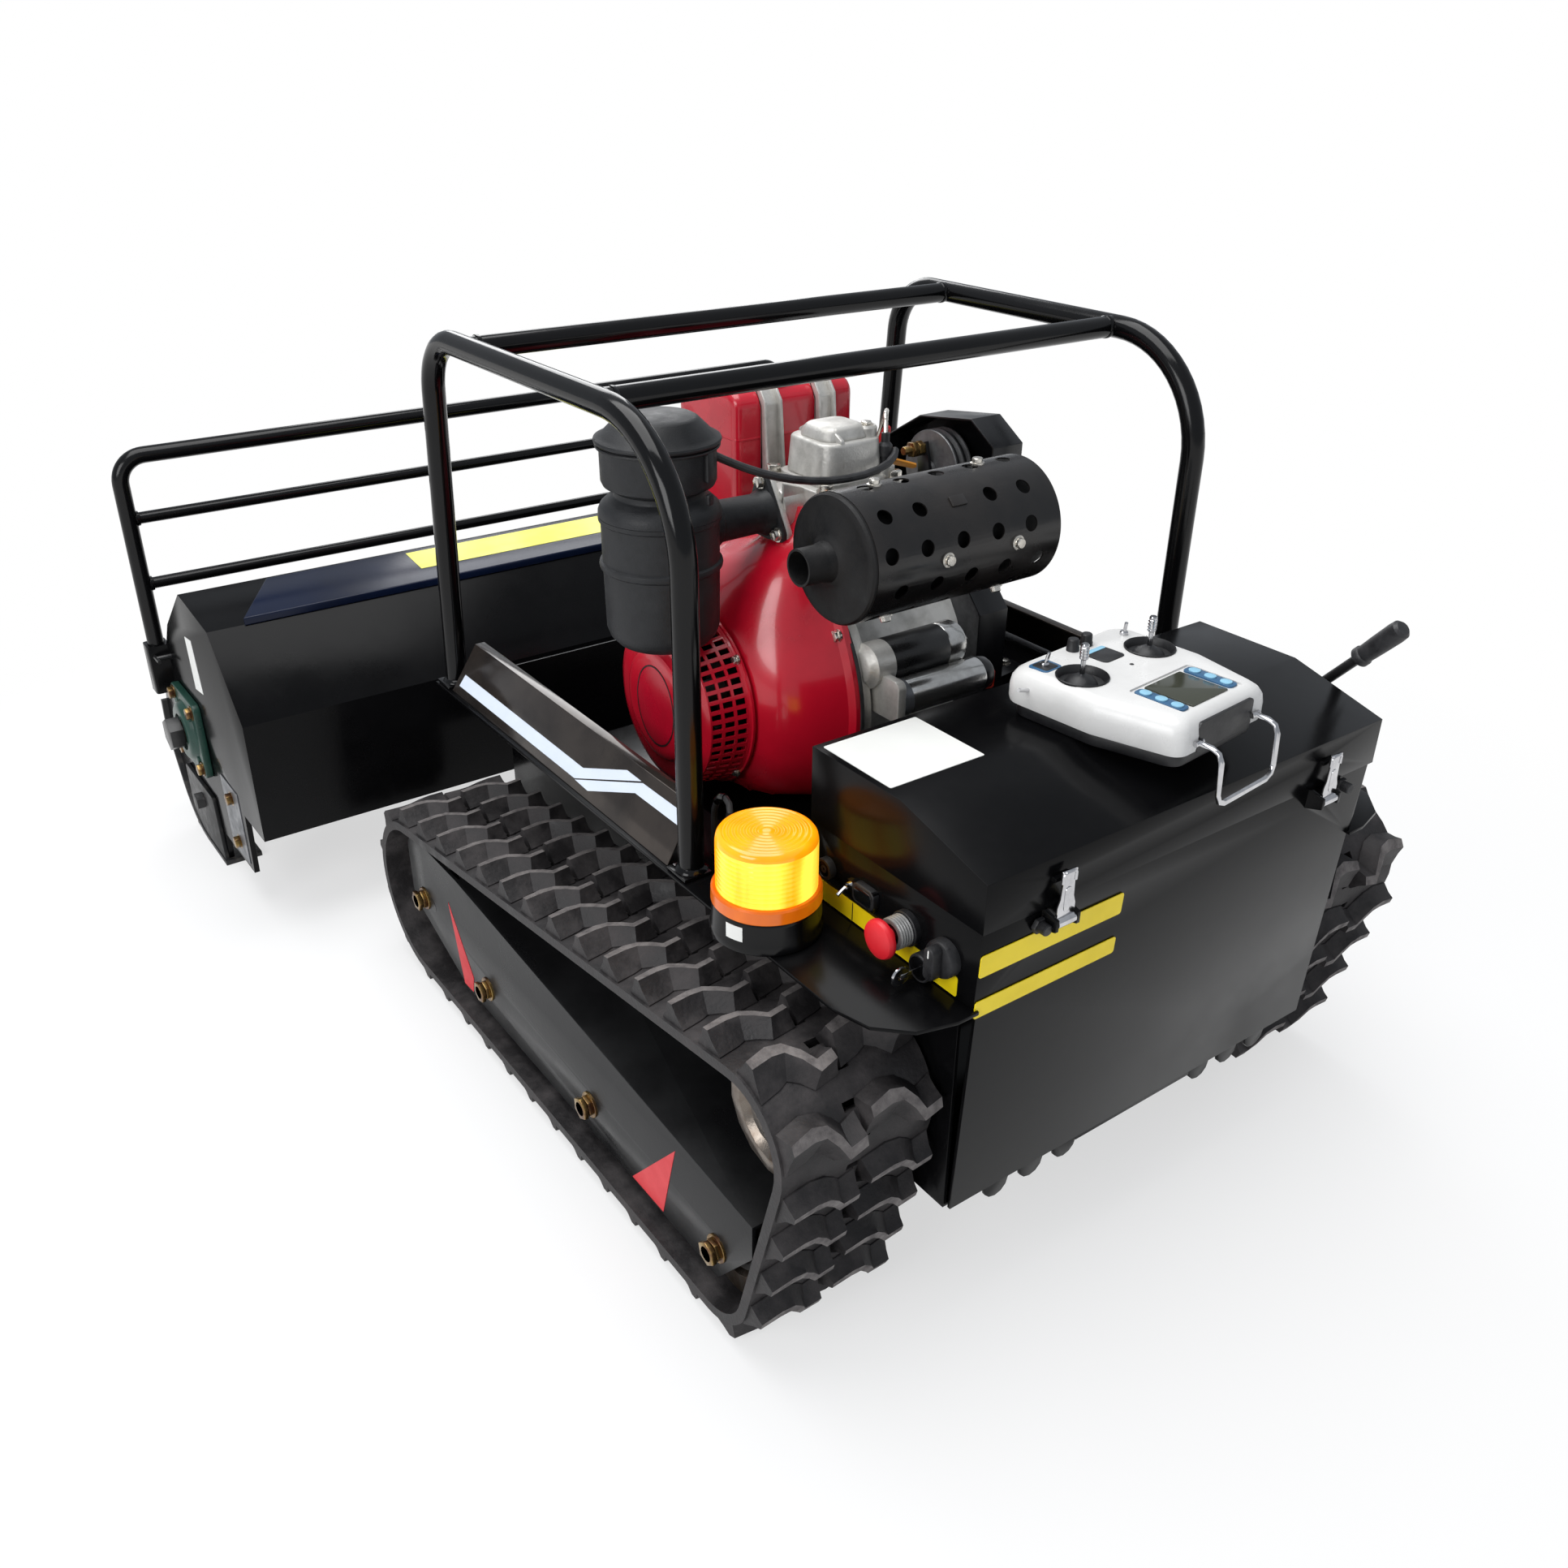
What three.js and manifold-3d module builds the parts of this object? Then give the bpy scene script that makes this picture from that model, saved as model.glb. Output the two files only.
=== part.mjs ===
// Remote control slope mower: two rubber tracks, a flail deck, an air-cooled
// engine in a roll cage and a control box with its transmitter on the lid.
// Millimetres. +X is the machine's right, +Y is forward, +Z is up.
// The origin is the middle of the footprint, on the ground.

import * as THREE from 'three';
import { mergeVertices } from 'three/addons/utils/BufferGeometryUtils.js';
import Module from 'manifold-3d';

const wasm = await Module();
wasm.setup();

// Fits shared by all pieces
const seat_gap = 0.3;
const running_gap = 0.6;
const cut_overrun = 1.5;
const weld_overlap = 1;

// Hull and track gauge
const hull_half_width = 283;
const track_gap = 5;

// Rubber tracks
const belt_width = 180;
const track_centre_x = hull_half_width + track_gap + belt_width / 2;
const belt_thickness = 12;
const lug_height = 20;
const link_count = 36;
const lug_row_offset = 46;
const lug_width = 70;
const lug_span = 46;
const lug_root = 3;
const lug_flare_share = 1.2;
const lug_outline_shares = [[-0.5, -0.46], [0.5, 0], [0.5, 0.46], [-0.5, 0]];

// Wheels inside the tracks
const sprocket_y = 67;
const sprocket_z = 298;
const sprocket_wrap_radius = 65;
const sprocket_teeth = 7;
const tooth_height = 14;
const tooth_width = 22;
const sprocket_hub_radius = 30;
const sprocket_rim_width = 30;
const sprocket_rim_inset = 20;
const roller_wrap_radius = 65;
const roller_rear_y = 122;
const roller_middle_y = 392;
const roller_front_y = 667;
const roller_width = 116;
const roller_groove_width = 44;
const roller_groove_depth = 18;
const roller_bore_radius = 11.5;
const idler_y = 861;
const idler_wrap_radius = 104;
const idler_width = 92;
const idler_web_depth = 26;
const axle_radius = 10;

// Track frames
const beam_half_width = 75;
const beam_plate = 5;
const beam_rear_y = 58;
const beam_front_y = 905;
const beam_bottom_z = 54;
const beam_rear_top_z = 178;
const beam_front_top_z = 226;
const beam_web_end_y = 742;
const beam_nose_radius = 24;
const bolt_washer_radius = 17;
const bolt_washer_thickness = 3;
const bolt_nut_radius = 15;
const bolt_nut_thickness = 12;
const beam_arm_height = 38;
const beam_arm_length = 70;
const beam_arm_z = 183;

// Welded tub that carries everything
const hull_rear_y = -30;
const hull_front_y = 905;
const hull_bottom_z = 179;
const hull_plate = 4;
const flange_z = 430;
const flange_reach = 101;
const flange_half_width = hull_half_width + flange_reach;
const flange_rear_y = -51;
const flange_corner_radius = 80;
const flange_plate = 4;
const engine_deck_z = 374;
const engine_deck_rear_y = 330;
const front_well_length = 165;
const engine_deck_front_y = hull_front_y - front_well_length;
const lift_ear_thickness = 8;
const lift_ear_reach = 34;
const lift_ear_height = 70;
const ram_ear_height = 44;
const skid_tab_radius = 17;
const skid_tab_pitch = 50;
const skid_tab_drop = 26;
const skid_bar_half_width = 92;
const bay_window_half_width = 95;
const bay_window_sill = 38;
const bay_window_height = 130;

// Side fairings
const fairing_offset = 61;
const fairing_x = hull_half_width + fairing_offset;
const fairing_plate = 3;
const fairing_rear_y = 322;
const fairing_front_gap = 41;
const fairing_front_y = hull_front_y - fairing_front_gap;
const fairing_top_z = 498;
const fairing_lip = 12;
const fairing_nose_run = 14;
const fairing_lean = 33;

// Roll cage
const cage_edge = 22;
const cage_x = flange_half_width - cage_edge;
const cage_tube_radius = 14;
const cage_rear_y = 300;
const cage_front_gap = 22;
const cage_front_y = fairing_front_y + cage_front_gap;
const cage_front_lean = 33;
const cage_rear_bend = 135;
const cage_front_bend = 72;
const cage_bar_rear_inset = 147;
const cage_bar_rear_y = cage_rear_y + cage_bar_rear_inset;
const cage_bar_front_inset = 101;
const cage_bar_front_y = cage_front_y - cage_front_lean - cage_bar_front_inset;
const cage_bar_radius = 13;
const cage_foot_half = 18;

// Rear body and its lid
const body_front_y = 192;
const body_rear_y = -51;
const body_rear_foot_y = -36;
const body_top_z = 520;
const body_plate = 4;
const lid_skirt_height = 52;
const lid_skirt_top_z = body_top_z + lid_skirt_height;
const lid_ridge_y = 62;
const lid_rise = 30;
const lid_top_z = lid_skirt_top_z + lid_rise;
const lid_plate = 3;
const lid_side_overhang = 3;
const lid_hinge_radius = 6;
const lid_hinge_inset = 123;
const lid_hinge_x = hull_half_width - lid_hinge_inset;
const lid_hinge_half_length = 40;
const lid_hinge_height = 10;
const lid_hinge_z = body_top_z + lid_hinge_height;
const lid_pin_radius = 3;

// Latches on the rear of the lid
const latch_inset = 88;
const latch_x = hull_half_width - latch_inset;
const latch_width = 22;
const latch_pivot_drop = 12;
const latch_pivot_z = body_top_z - latch_pivot_drop;
const latch_reach = 54;
const latch_top_z = latch_pivot_z + latch_reach;
const latch_thickness = 4;
const latch_standoff = 5;
const latch_ear_size = 12;
const latch_pin_radius = 3;
const latch_catch_height = 28;
const latch_catch_z = body_top_z + latch_catch_height;

// Controls on the left of the rear body
const estop_y = 46;
const estop_z = 474;
const estop_radius = 20;
const estop_travel = 5;
const estop_cap_length = 14;
const estop_stem_radius = 7;
const collar_radius = 15;
const collar_length = 22;
const knob_y = -8;
const knob_z = 472;
const knob_radius = 19;
const knob_length = 24;
const key_y = 16;
const key_z = 449;
const key_switch_radius = 13;
const key_barrel_length = 12;
const key_bow_size = 22;
const key_bow_thickness = 3;
const socket_y = 168;
const display_y = 106;
const socket_z = 478;
const socket_radius = 11;
const socket_length = 7;
const display_size = 32;

// Beacon on the left fender
const beacon_edge = 28;
const beacon_x = flange_half_width - beacon_edge;
const beacon_y = 172;
const beacon_base_radius = 56;
const beacon_base_height = 34;
const beacon_ring_height = 16;
const beacon_lens_radius = 53;
const beacon_lens_height = 88;
const beacon_cable_radius = 4.5;
const beacon_lens_step = 3;
const beacon_lens_round = 22;
const beacon_loop_height = 60;

// Engine: crankshaft line and main masses
const crank_y = 533;
const crank_z = 508;
const crank_radius = 14;
const crank_left_reach = 200;
const recoil_face_x = 262;
const recoil_radius = 96;
const recoil_depth = 67.7;
const recoil_wall = 3;
const recoil_step = 14;
const grille_slot_count = 12;
const grille_slot_width = 12;
const grille_slot_length = 15;
const fan_x = 118;
const fan_depth = 52;
const fan_plate = 5;
const fan_hub_radius = 32;
const fan_radius = 98;
const fan_blade_count = 9;
const shroud_left_x = 194;
const shroud_right_x = 92;
const shroud_radius = 178;
const shroud_foot_z = 400;
const shroud_neck_top_z = 742;
const shroud_neck_rear_y = 398;
const shroud_neck_front_y = 455;
const shroud_eye_radius = 90;
const shroud_wall = 5;
const crankcase_left_x = shroud_right_x - seat_gap;
const crankcase_right_x = 112;
const crankcase_half_length = 112;
const crankcase_top_z = 628;
const engine_base_z = engine_deck_z + hull_plate + seat_gap;
const foot_height = 18;
const cylinder_radius = 56;
const fin_radius = 84;
const fin_count = 4;
const fin_thickness = 5;
const head_bottom_z = 716;
const head_x = -30;
const head_y = 500;
const head_height = 40;
const head_half_width = 60;
const rocker_height = 62;
const rocker_half_width = 48;
const rocker_step = 8;

// Fuel tank
const tank_rear_y = 606;
const tank_front_y = 736;
const tank_left_x = -94;
const tank_right_x = 82;
const tank_bottom_z = 690;
const tank_height = 146;
const tank_top_z = tank_bottom_z + tank_height;
const tank_corner_radius = 26;
const tank_cap_x = -20;
const tank_cap_y = 642;
const tank_cap_radius = 26;
const tank_cap_height = 13;
const tank_neck_height = 4;
const tank_neck_radius = 21;
const tank_wall = 3;
const tank_post_x = -7;
const tank_post_spread = 40;

// Air filter
const filter_x = 266;
const filter_y = 500;
const filter_bottom_z = 606;
const filter_radius = 68;
const filter_bowl_height = 146;
const filter_cap_height = 104;
const filter_step = 5;

// Height of the cage over the tallest piece of the engine
const cage_headroom = 37;
const cage_top_z = filter_bottom_z + filter_bowl_height + seat_gap + filter_cap_height + cage_headroom;

// Intake
const intake_z = 729;
const intake_radius = 25;
const intake_flange_radius = 40;
const intake_flange_thickness = 9;
const intake_flange_x = head_half_width + seat_gap - head_x;

// Exhaust
const muffler_y = 296;
const muffler_z = 742;
const muffler_left_x = -192;
const muffler_right_x = 74;
const muffler_radius = 56;
const muffler_stub_radius = 19;
const muffler_stub_length = 40;
const shield_radius = 66;
const shield_thickness = 2.4;
const shield_hole_radius = 9;
const shield_open_angle = 1.1;
const exhaust_pipe_radius = 20;
const exhaust_z = 736;
const shield_inset = 8;
const shield_boss = 6;
const shield_hole_count = 5;

// Starter motor
const starter_y = 372;
const starter_z = 571;
const starter_radius = 27;
const starter_left_x = -86;
const starter_right_x = 60;
const solenoid_radius = 22;
const solenoid_drop = 33;
const solenoid_setback = 34;
const solenoid_overhang = 24;

// Belt guard and the pulley it covers
const guard_width = 110;
const guard_side_gap = 38;
const guard_right_x = fairing_x - guard_side_gap;
const guard_left_x = guard_right_x - guard_width;
const guard_plate = 3;
const guard_rear_y = 468;
const guard_front_y = 676;
const guard_bottom_z = flange_z + flange_plate + seat_gap;
const guard_top_z = 788;
const guard_mid_z = 560;
const guard_brow_z = 735;
const guard_step = 14;
const guard_fall = 66;
const pulley_radius = 62;
const pulley_width = 30;

// Levers
const decomp_y = 522;
const decomp_z = 738;
const decomp_length = 74;
const decomp_angle = -1.05;
const lever_plate = 5;
const lever_boss_radius = 9;
const clutch_offset = 47;
const clutch_x = hull_half_width + clutch_offset;
const clutch_y = 148;
const clutch_z = 452;
const clutch_pin_radius = 5;
const clutch_boss_radius = 13;
const clutch_boss_half_width = 8;
const clutch_ear_size = 14;
const clutch_ear_thickness = 4;
const clutch_rod_radius = 6;
const clutch_rod_length = 206;
const clutch_grip_radius = 12;
const clutch_grip_length = 66;
const clutch_lean_angle = 0.71;

// Flail deck
const deck_half_width = 600;
const lift_pivot_gap = 23;
const lift_pivot_y = hull_front_y + lift_pivot_gap;
const lift_arm_length = 162;
const deck_rear_y = lift_pivot_y + lift_arm_length;
const deck_depth = 470;
const deck_front_y = deck_rear_y + deck_depth;
const deck_bottom_z = 60;
const deck_rear_bottom_z = 165;
const deck_rear_top_z = 350;
const deck_top_z = 472;
const deck_sheet = 5;
const deck_end_plate = 8;
const deck_slope_run = 102;
const deck_slope_y = deck_rear_y + deck_slope_run;
const deck_crown_run = 138;
const deck_nose_y = deck_slope_y + deck_crown_run;
const deck_slope_z = 458;
const deck_brow_run = 110;
const deck_brow_y = deck_front_y - deck_brow_run;
const deck_brow_z = 385;
const deck_lip_z = 255;
const flap_pin_radius = 6;
const flap_end_gap = 95;
const flap_half_width = deck_half_width - flap_end_gap;
const flap_length = 120;
const flap_thickness = 4;
const rotor_setback = 160;
const rotor_y = deck_front_y - rotor_setback;
const rotor_z = 225;
const rotor_tube_radius = 60;
const rotor_shaft_radius = 19;
const flail_count = 12;
const flail_reach = 62;
const flail_thickness = 10;
const flail_width = 46;
const flail_turn_share = 0.2917;
const rotor_end_gap = 10;
const bearing_size = 64;
const bearing_depth = 22;
const bearing_flange = 12;
const bearing_bolt_radius = 9;
const bearing_nut_radius = 27;
const bearing_nut_depth = 20;
const shoe_width = 58;
const shoe_thickness = 8;
const shoe_length = 258;
const shoe_overhang = 40;
const shoe_front_y = deck_front_y + shoe_overhang;
const shoe_rear_y = shoe_front_y - shoe_length;
const shoe_top_z = 205;
const shoe_bend_radius = 120;
const shoe_toe_run = 80;
const shoe_toe_y = shoe_front_y - shoe_toe_run;
const shoe_toe_z = 150;
const shoe_plate = 6;
const shoe_lip = 2;
const shoe_plate_top_z = 118;

// Deck lift
const lift_pivot_z = 262;
const lift_pin_radius = 12;
const lift_arm_x = 150;
const lift_arm_width = 40;
const lift_arm_height = 42;

const ram_x = 0;
const ram_foot_z = 360;
const ram_radius = 21;
const ram_body_length = 82;
const ram_neck_length = 28;
const rod_radius = 9;
const rod_length = 72;
const ram_foot_half_width = 12;
const ram_pin_radius = 7;
const ram_eye_radius = 14;
const ram_eye_slack = 1.4;
const ram_reach = 112;
const ram_eye_y = lift_pivot_y + ram_reach;
const lift_cross_gap = 22;
const lift_cross_y = ram_eye_y + lift_cross_gap;
const ram_eye_z = 300;
const lift_cross_radius = 16;

// Guard rack above the deck
const rack_offset = 13;
const rack_half_width = deck_half_width + rack_offset;
const rack_setback = 60;
const rack_foot_y = deck_front_y - rack_setback;
const rack_foot_z = 300;
const rack_top_z = 638;
const rack_tube_radius = 12.5;
const rack_bar_radius = 9;
const rack_bend = 40;
const rack_bar_shares = [0.41, 0.72];
const rack_socket_size = 34;
const rack_socket_height = 80;

// Transmitter on the lid
const remote_x = 20;
const remote_y = 60;
const remote_turn_angle = 0.1;
const remote_width = 186;
const remote_depth = 200;
const remote_height = 52;
const remote_gimbal_x = 56;
const remote_gimbal_y = 30;
const remote_gimbal_radius = 25;
const remote_gimbal_depth = 18;
const stick_radius = 4;
const stick_height = 34;
const bail_rod_radius = 3;
const bail_half_width = 48;
const bail_drop = 56;
const bail_reach = 26;
const remote_step = 5;
const remote_screen_depth = 2;
const remote_aerial_radius = 8;
const remote_aerial_length = 16;

// Colours seen on the machine
const paint = (color, roughness, metalness) =>
  new THREE.MeshStandardMaterial({ color, roughness, metalness });
const black_gloss = paint(0x0b0b0d, 0.2, 0.3);
const black_satin = paint(0x1c1d1f, 0.5, 0.2);
const polished_black = paint(0x4a4643, 0.15, 0.6);
const rubber = paint(0x4a4648, 0.85, 0);
const engine_red = paint(0xb3122b, 0.35, 0.1);
const cast_aluminium = paint(0xb4b3af, 0.5, 0.7);
const bare_steel = paint(0xb8b8b4, 0.25, 0.9);
const zinc_yellow = paint(0xa88b4e, 0.35, 0.8);
const filter_plastic = paint(0x2b2d30, 0.6, 0);
const control_red = paint(0xd4202c, 0.4, 0);
const amber_lens = paint(0xffa61a, 0.1, 0);
const shell_white = paint(0xe4e5e8, 0.45, 0);
const chrome = paint(0xd9d9d9, 0.08, 1);

// Solids: closed triangle meshes that can be joined and cut
function toSolid(geometry) {
  const bare = geometry.clone();
  bare.deleteAttribute('normal');
  bare.deleteAttribute('uv');
  const merged = mergeVertices(bare, 1e-4);
  const position = merged.attributes.position;
  const vertProperties = new Float32Array(position.array);
  const corner = (i) => new THREE.Vector3().fromBufferAttribute(position, i);
  const faces = [];
  let volume = 0;
  for (let i = 0; i < merged.index.count; i += 3) {
    const [a, b, c] = [0, 1, 2].map((k) => merged.index.getX(i + k));
    if (a === b || b === c || c === a) continue;
    faces.push([a, b, c]);
    volume += corner(a).dot(corner(b).cross(corner(c)));
  }
  const turned = volume < 0 ? faces.map(([a, b, c]) => [a, c, b]) : faces;
  const triVerts = new Uint32Array(turned.flat());
  return new wasm.Manifold(new wasm.Mesh({ numProp: 3, vertProperties, triVerts }));
}

function toGeometry(solid) {
  const mesh = solid.getMesh();
  const geometry = new THREE.BufferGeometry();
  const positions = new THREE.BufferAttribute(new Float32Array(mesh.vertProperties), 3);
  geometry.setAttribute('position', positions);
  geometry.setIndex(new THREE.BufferAttribute(new Uint32Array(mesh.triVerts), 1));
  return geometry;
}

const fuse = (...solids) => solids.flat().reduce((whole, next) => whole.add(next));
const cut = (solid, ...tools) => tools.flat().reduce((left, tool) => left.subtract(tool), solid);

function place(geometry, axis, offset = [0, 0, 0]) {
  const turn = new THREE.Matrix4();
  if (axis === 'x') turn.makeBasis(vec(0, 1, 0), vec(0, 0, 1), vec(1, 0, 0));
  if (axis === 'y') turn.makeBasis(vec(1, 0, 0), vec(0, 0, 1), vec(0, -1, 0));
  geometry.applyMatrix4(turn);
  geometry.translate(...offset);
  return toSolid(geometry);
}

function vec(x, y, z) {
  return new THREE.Vector3(x, y, z);
}

// An outline whose corners may be rounded: each point is [u, v] or [u, v, radius]
function outline(points, steps = 3) {
  const result = [];
  points.forEach(([u, v, radius = 0], i) => {
    const here = new THREE.Vector2(u, v);
    if (!radius) {
      result.push(here);
      return;
    }
    const before = points[(i + points.length - 1) % points.length];
    const after = points[(i + 1) % points.length];
    const back = new THREE.Vector2(before[0] - u, before[1] - v).normalize();
    const ahead = new THREE.Vector2(after[0] - u, after[1] - v).normalize();
    const half = Math.acos(THREE.MathUtils.clamp(back.dot(ahead), -1, 1)) / 2;
    const reach = radius / Math.tan(half);
    const start = here.clone().addScaledVector(back, reach);
    const end = here.clone().addScaledVector(ahead, reach);
    const middle = back.clone().add(ahead).normalize();
    const centre = here.clone().addScaledVector(middle, radius / Math.sin(half));
    const from = Math.atan2(start.y - centre.y, start.x - centre.x);
    let sweep = Math.atan2(end.y - centre.y, end.x - centre.x) - from;
    if (sweep > Math.PI) sweep -= 2 * Math.PI;
    if (sweep < -Math.PI) sweep += 2 * Math.PI;
    for (let k = 0; k <= steps; k += 1) {
      const angle = from + (sweep * k) / steps;
      const point = new THREE.Vector2(Math.cos(angle), Math.sin(angle));
      result.push(point.multiplyScalar(radius).add(centre));
    }
  });
  return result;
}

// A flat outline pushed along an axis, from start to end.
// The outline is (y, z) for axis x, (x, z) for axis y and (x, y) for axis z.
function prism(axis, points, start, end, steps = 3) {
  const shape = new THREE.Shape(outline(points, steps));
  const options = { depth: Math.abs(end - start), bevelEnabled: false };
  const geometry = new THREE.ExtrudeGeometry(shape, options);
  const low = Math.min(start, end);
  const high = Math.max(start, end);
  const offsets = { x: [low, 0, 0], y: [0, high, 0], z: [0, 0, low] };
  return place(geometry, axis, offsets[axis]);
}

function block(x0, x1, y0, y1, z0, z1) {
  return prism('z', [[x0, y0], [x1, y0], [x1, y1], [x0, y1]], z0, z1);
}

function disc(axis, u, v, radius, start, end, sides = 14) {
  const points = [];
  for (let i = 0; i < sides; i += 1) {
    const angle = (2 * Math.PI * (i + 0.5)) / sides;
    points.push([u + radius * Math.cos(angle), v + radius * Math.sin(angle)]);
  }
  return prism(axis, points, start, end);
}

// A turned solid: the profile is [radius, distance along the axis]
function turned(axis, profile, sides = 16) {
  const points = profile.map(([radius, along]) => new THREE.Vector2(radius, along));
  const geometry = new THREE.LatheGeometry(points, sides);
  if (axis === 'x') geometry.rotateZ(-Math.PI / 2);
  if (axis === 'z') geometry.rotateX(Math.PI / 2);
  return toSolid(geometry);
}

// A tube's centre line: straight runs with an arc of the bend radius at each corner
class BentLine extends THREE.Curve {
  constructor(corners, bend, bendSteps) {
    super();
    this.stations = [];
    corners.forEach((corner, i) => {
      if (i === 0 || i === corners.length - 1) {
        this.stations.push(corner.clone());
        return;
      }
      const radius = Array.isArray(bend) ? bend[i - 1] : bend;
      const back = corners[i - 1].clone().sub(corner).normalize();
      const ahead = corners[i + 1].clone().sub(corner).normalize();
      const half = back.angleTo(ahead) / 2;
      const middle = back.clone().add(ahead).normalize();
      const centre = corner.clone().addScaledVector(middle, radius / Math.sin(half));
      const start = corner.clone().addScaledVector(back, radius / Math.tan(half)).sub(centre);
      const normal = back.clone().cross(ahead).normalize();
      const sweep = -(Math.PI - 2 * half);
      for (let k = 0; k <= bendSteps; k += 1) {
        const spoke = start.clone().applyAxisAngle(normal, (sweep * k) / bendSteps);
        this.stations.push(spoke.add(centre));
      }
    });
  }

  getUtoTmapping(u) {
    return u;
  }

  getPoint(t) {
    const last = this.stations.length - 1;
    const index = Math.min(Math.floor(t * last + 1e-9), last - 1);
    return this.stations[index].clone().lerp(this.stations[index + 1], t * last - index);
  }

  getTangent(t) {
    const last = this.stations.length - 1;
    const index = Math.round(t * last);
    const before = this.stations[Math.max(index - 1, 0)];
    const after = this.stations[Math.min(index + 1, last)];
    const here = this.stations[index];
    const arriving = here.clone().sub(before).normalize();
    const leaving = after.clone().sub(here).normalize();
    return arriving.add(leaving).normalize();
  }
}

function tube(corners, bend, radius, sides = 8, bendSteps = 4) {
  const line = new BentLine(corners, bend, bendSteps);
  const circle = [];
  for (let i = 0; i < sides; i += 1) {
    const angle = (2 * Math.PI * i) / sides;
    circle.push(new THREE.Vector2(radius * Math.cos(angle), radius * Math.sin(angle)));
  }
  const options = { steps: line.stations.length - 1, extrudePath: line, bevelEnabled: false };
  return toSolid(new THREE.ExtrudeGeometry(new THREE.Shape(circle), options));
}

// A solid between two outlines of the same number of points, at two heights
function taper(lower, upper, lowZ, highZ) {
  const count = lower.length;
  const positions = [];
  lower.forEach(([u, v]) => positions.push(u, v, lowZ));
  upper.forEach(([u, v]) => positions.push(u, v, highZ));
  const flat = lower.map(([u, v]) => new THREE.Vector2(u, v));
  const index = [];
  THREE.ShapeUtils.triangulateShape(flat, []).forEach(([a, b, c]) => {
    index.push(a, c, b, a + count, b + count, c + count);
  });
  for (let i = 0; i < count; i += 1) {
    const next = (i + 1) % count;
    index.push(i, next, next + count, i, next + count, i + count);
  }
  const geometry = new THREE.BufferGeometry();
  geometry.setAttribute('position', new THREE.Float32BufferAttribute(positions, 3));
  geometry.setIndex(index);
  return geometry;
}

const mirrored = (solid) => solid.mirror([1, 0, 0]);
const moved = (solid, x, y, z) => solid.translate([x, y, z]);

function piece(name, solid, material, position = [0, 0, 0]) {
  const mesh = new THREE.Mesh(toGeometry(solid), material);
  mesh.name = name;
  mesh.position.set(...position);
  return mesh;
}

const mower = new THREE.Group();

// Track geometry: three circles that the belt wraps, in the (y, z) plane
const roller_z = lug_height + belt_thickness + roller_wrap_radius;
const idler_z = lug_height + belt_thickness + idler_wrap_radius;
const wraps = [
  { y: sprocket_y, z: sprocket_z, radius: sprocket_wrap_radius, steps: 6 },
  { y: roller_rear_y, z: roller_z, radius: roller_wrap_radius, steps: 4 },
  { y: idler_y, z: idler_z, radius: idler_wrap_radius, steps: 9 },
];

function heading(from, to) {
  const run = Math.hypot(to.y - from.y, to.z - from.z);
  const bearing = Math.atan2(to.z - from.z, to.y - from.y);
  return bearing + Math.asin((from.radius - to.radius) / run);
}

const headings = wraps.map((wrap, i) => heading(wrap, wraps[(i + 1) % wraps.length]));
wraps.forEach((wrap, i) => {
  wrap.arrive = headings[(i + wraps.length - 1) % wraps.length];
  wrap.leave = headings[i];
  while (wrap.leave < wrap.arrive) wrap.leave += 2 * Math.PI;
});

// The belt's loop at a height above its inner face, one corner in the middle of each step
function loopOutline(height) {
  return wraps.flatMap((wrap) => {
    const step = (wrap.leave - wrap.arrive) / wrap.steps;
    const radius = (wrap.radius + height) / Math.cos(step / 2);
    return Array.from({ length: wrap.steps }, (unused, k) => {
      const angle = wrap.arrive + step * (k + 0.5) - Math.PI / 2;
      return [wrap.y + radius * Math.cos(angle), wrap.z + radius * Math.sin(angle)];
    });
  });
}

// Places along the belt: straight stretches and arcs, measured at its middle
const belt_middle = belt_thickness / 2;
const stretches = wraps.flatMap((wrap, i) => {
  const next = wraps[(i + 1) % wraps.length];
  const run = Math.hypot(next.y - wrap.y, next.z - wrap.z);
  const drop = wrap.radius - next.radius;
  const arc = (wrap.leave - wrap.arrive) * (wrap.radius + belt_middle);
  return [
    { wrap, length: arc, arc: true },
    { wrap, length: Math.sqrt(run * run - drop * drop), arc: false },
  ];
});
const belt_length = stretches.reduce((sum, stretch) => sum + stretch.length, 0);

function beltFrame(distance) {
  let left = distance;
  let stretch = stretches[0];
  for (stretch of stretches) {
    if (left <= stretch.length) break;
    left -= stretch.length;
  }
  const { wrap } = stretch;
  const radius = wrap.radius + belt_middle;
  const travel = stretch.arc ? wrap.arrive + left / radius : wrap.leave;
  const out = travel - Math.PI / 2;
  const along = stretch.arc ? 0 : left;
  const y = wrap.y + radius * Math.cos(out) + along * Math.cos(travel);
  const z = wrap.z + radius * Math.sin(out) + along * Math.sin(travel);
  return { y, z, travel, out };
}

// Turns a solid drawn flat (x across, y along, z out of the belt) to its place on the loop
function onBelt(geometry, distance) {
  const { y, z, travel, out } = beltFrame(distance);
  const across = vec(1, 0, 0);
  const along = vec(0, Math.cos(travel), Math.sin(travel));
  const outward = vec(0, Math.cos(out), Math.sin(out));
  const turn = new THREE.Matrix4().makeBasis(across, along.negate(), outward);
  turn.setPosition(0, y, z);
  return toSolid(geometry.clone().applyMatrix4(turn));
}

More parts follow.
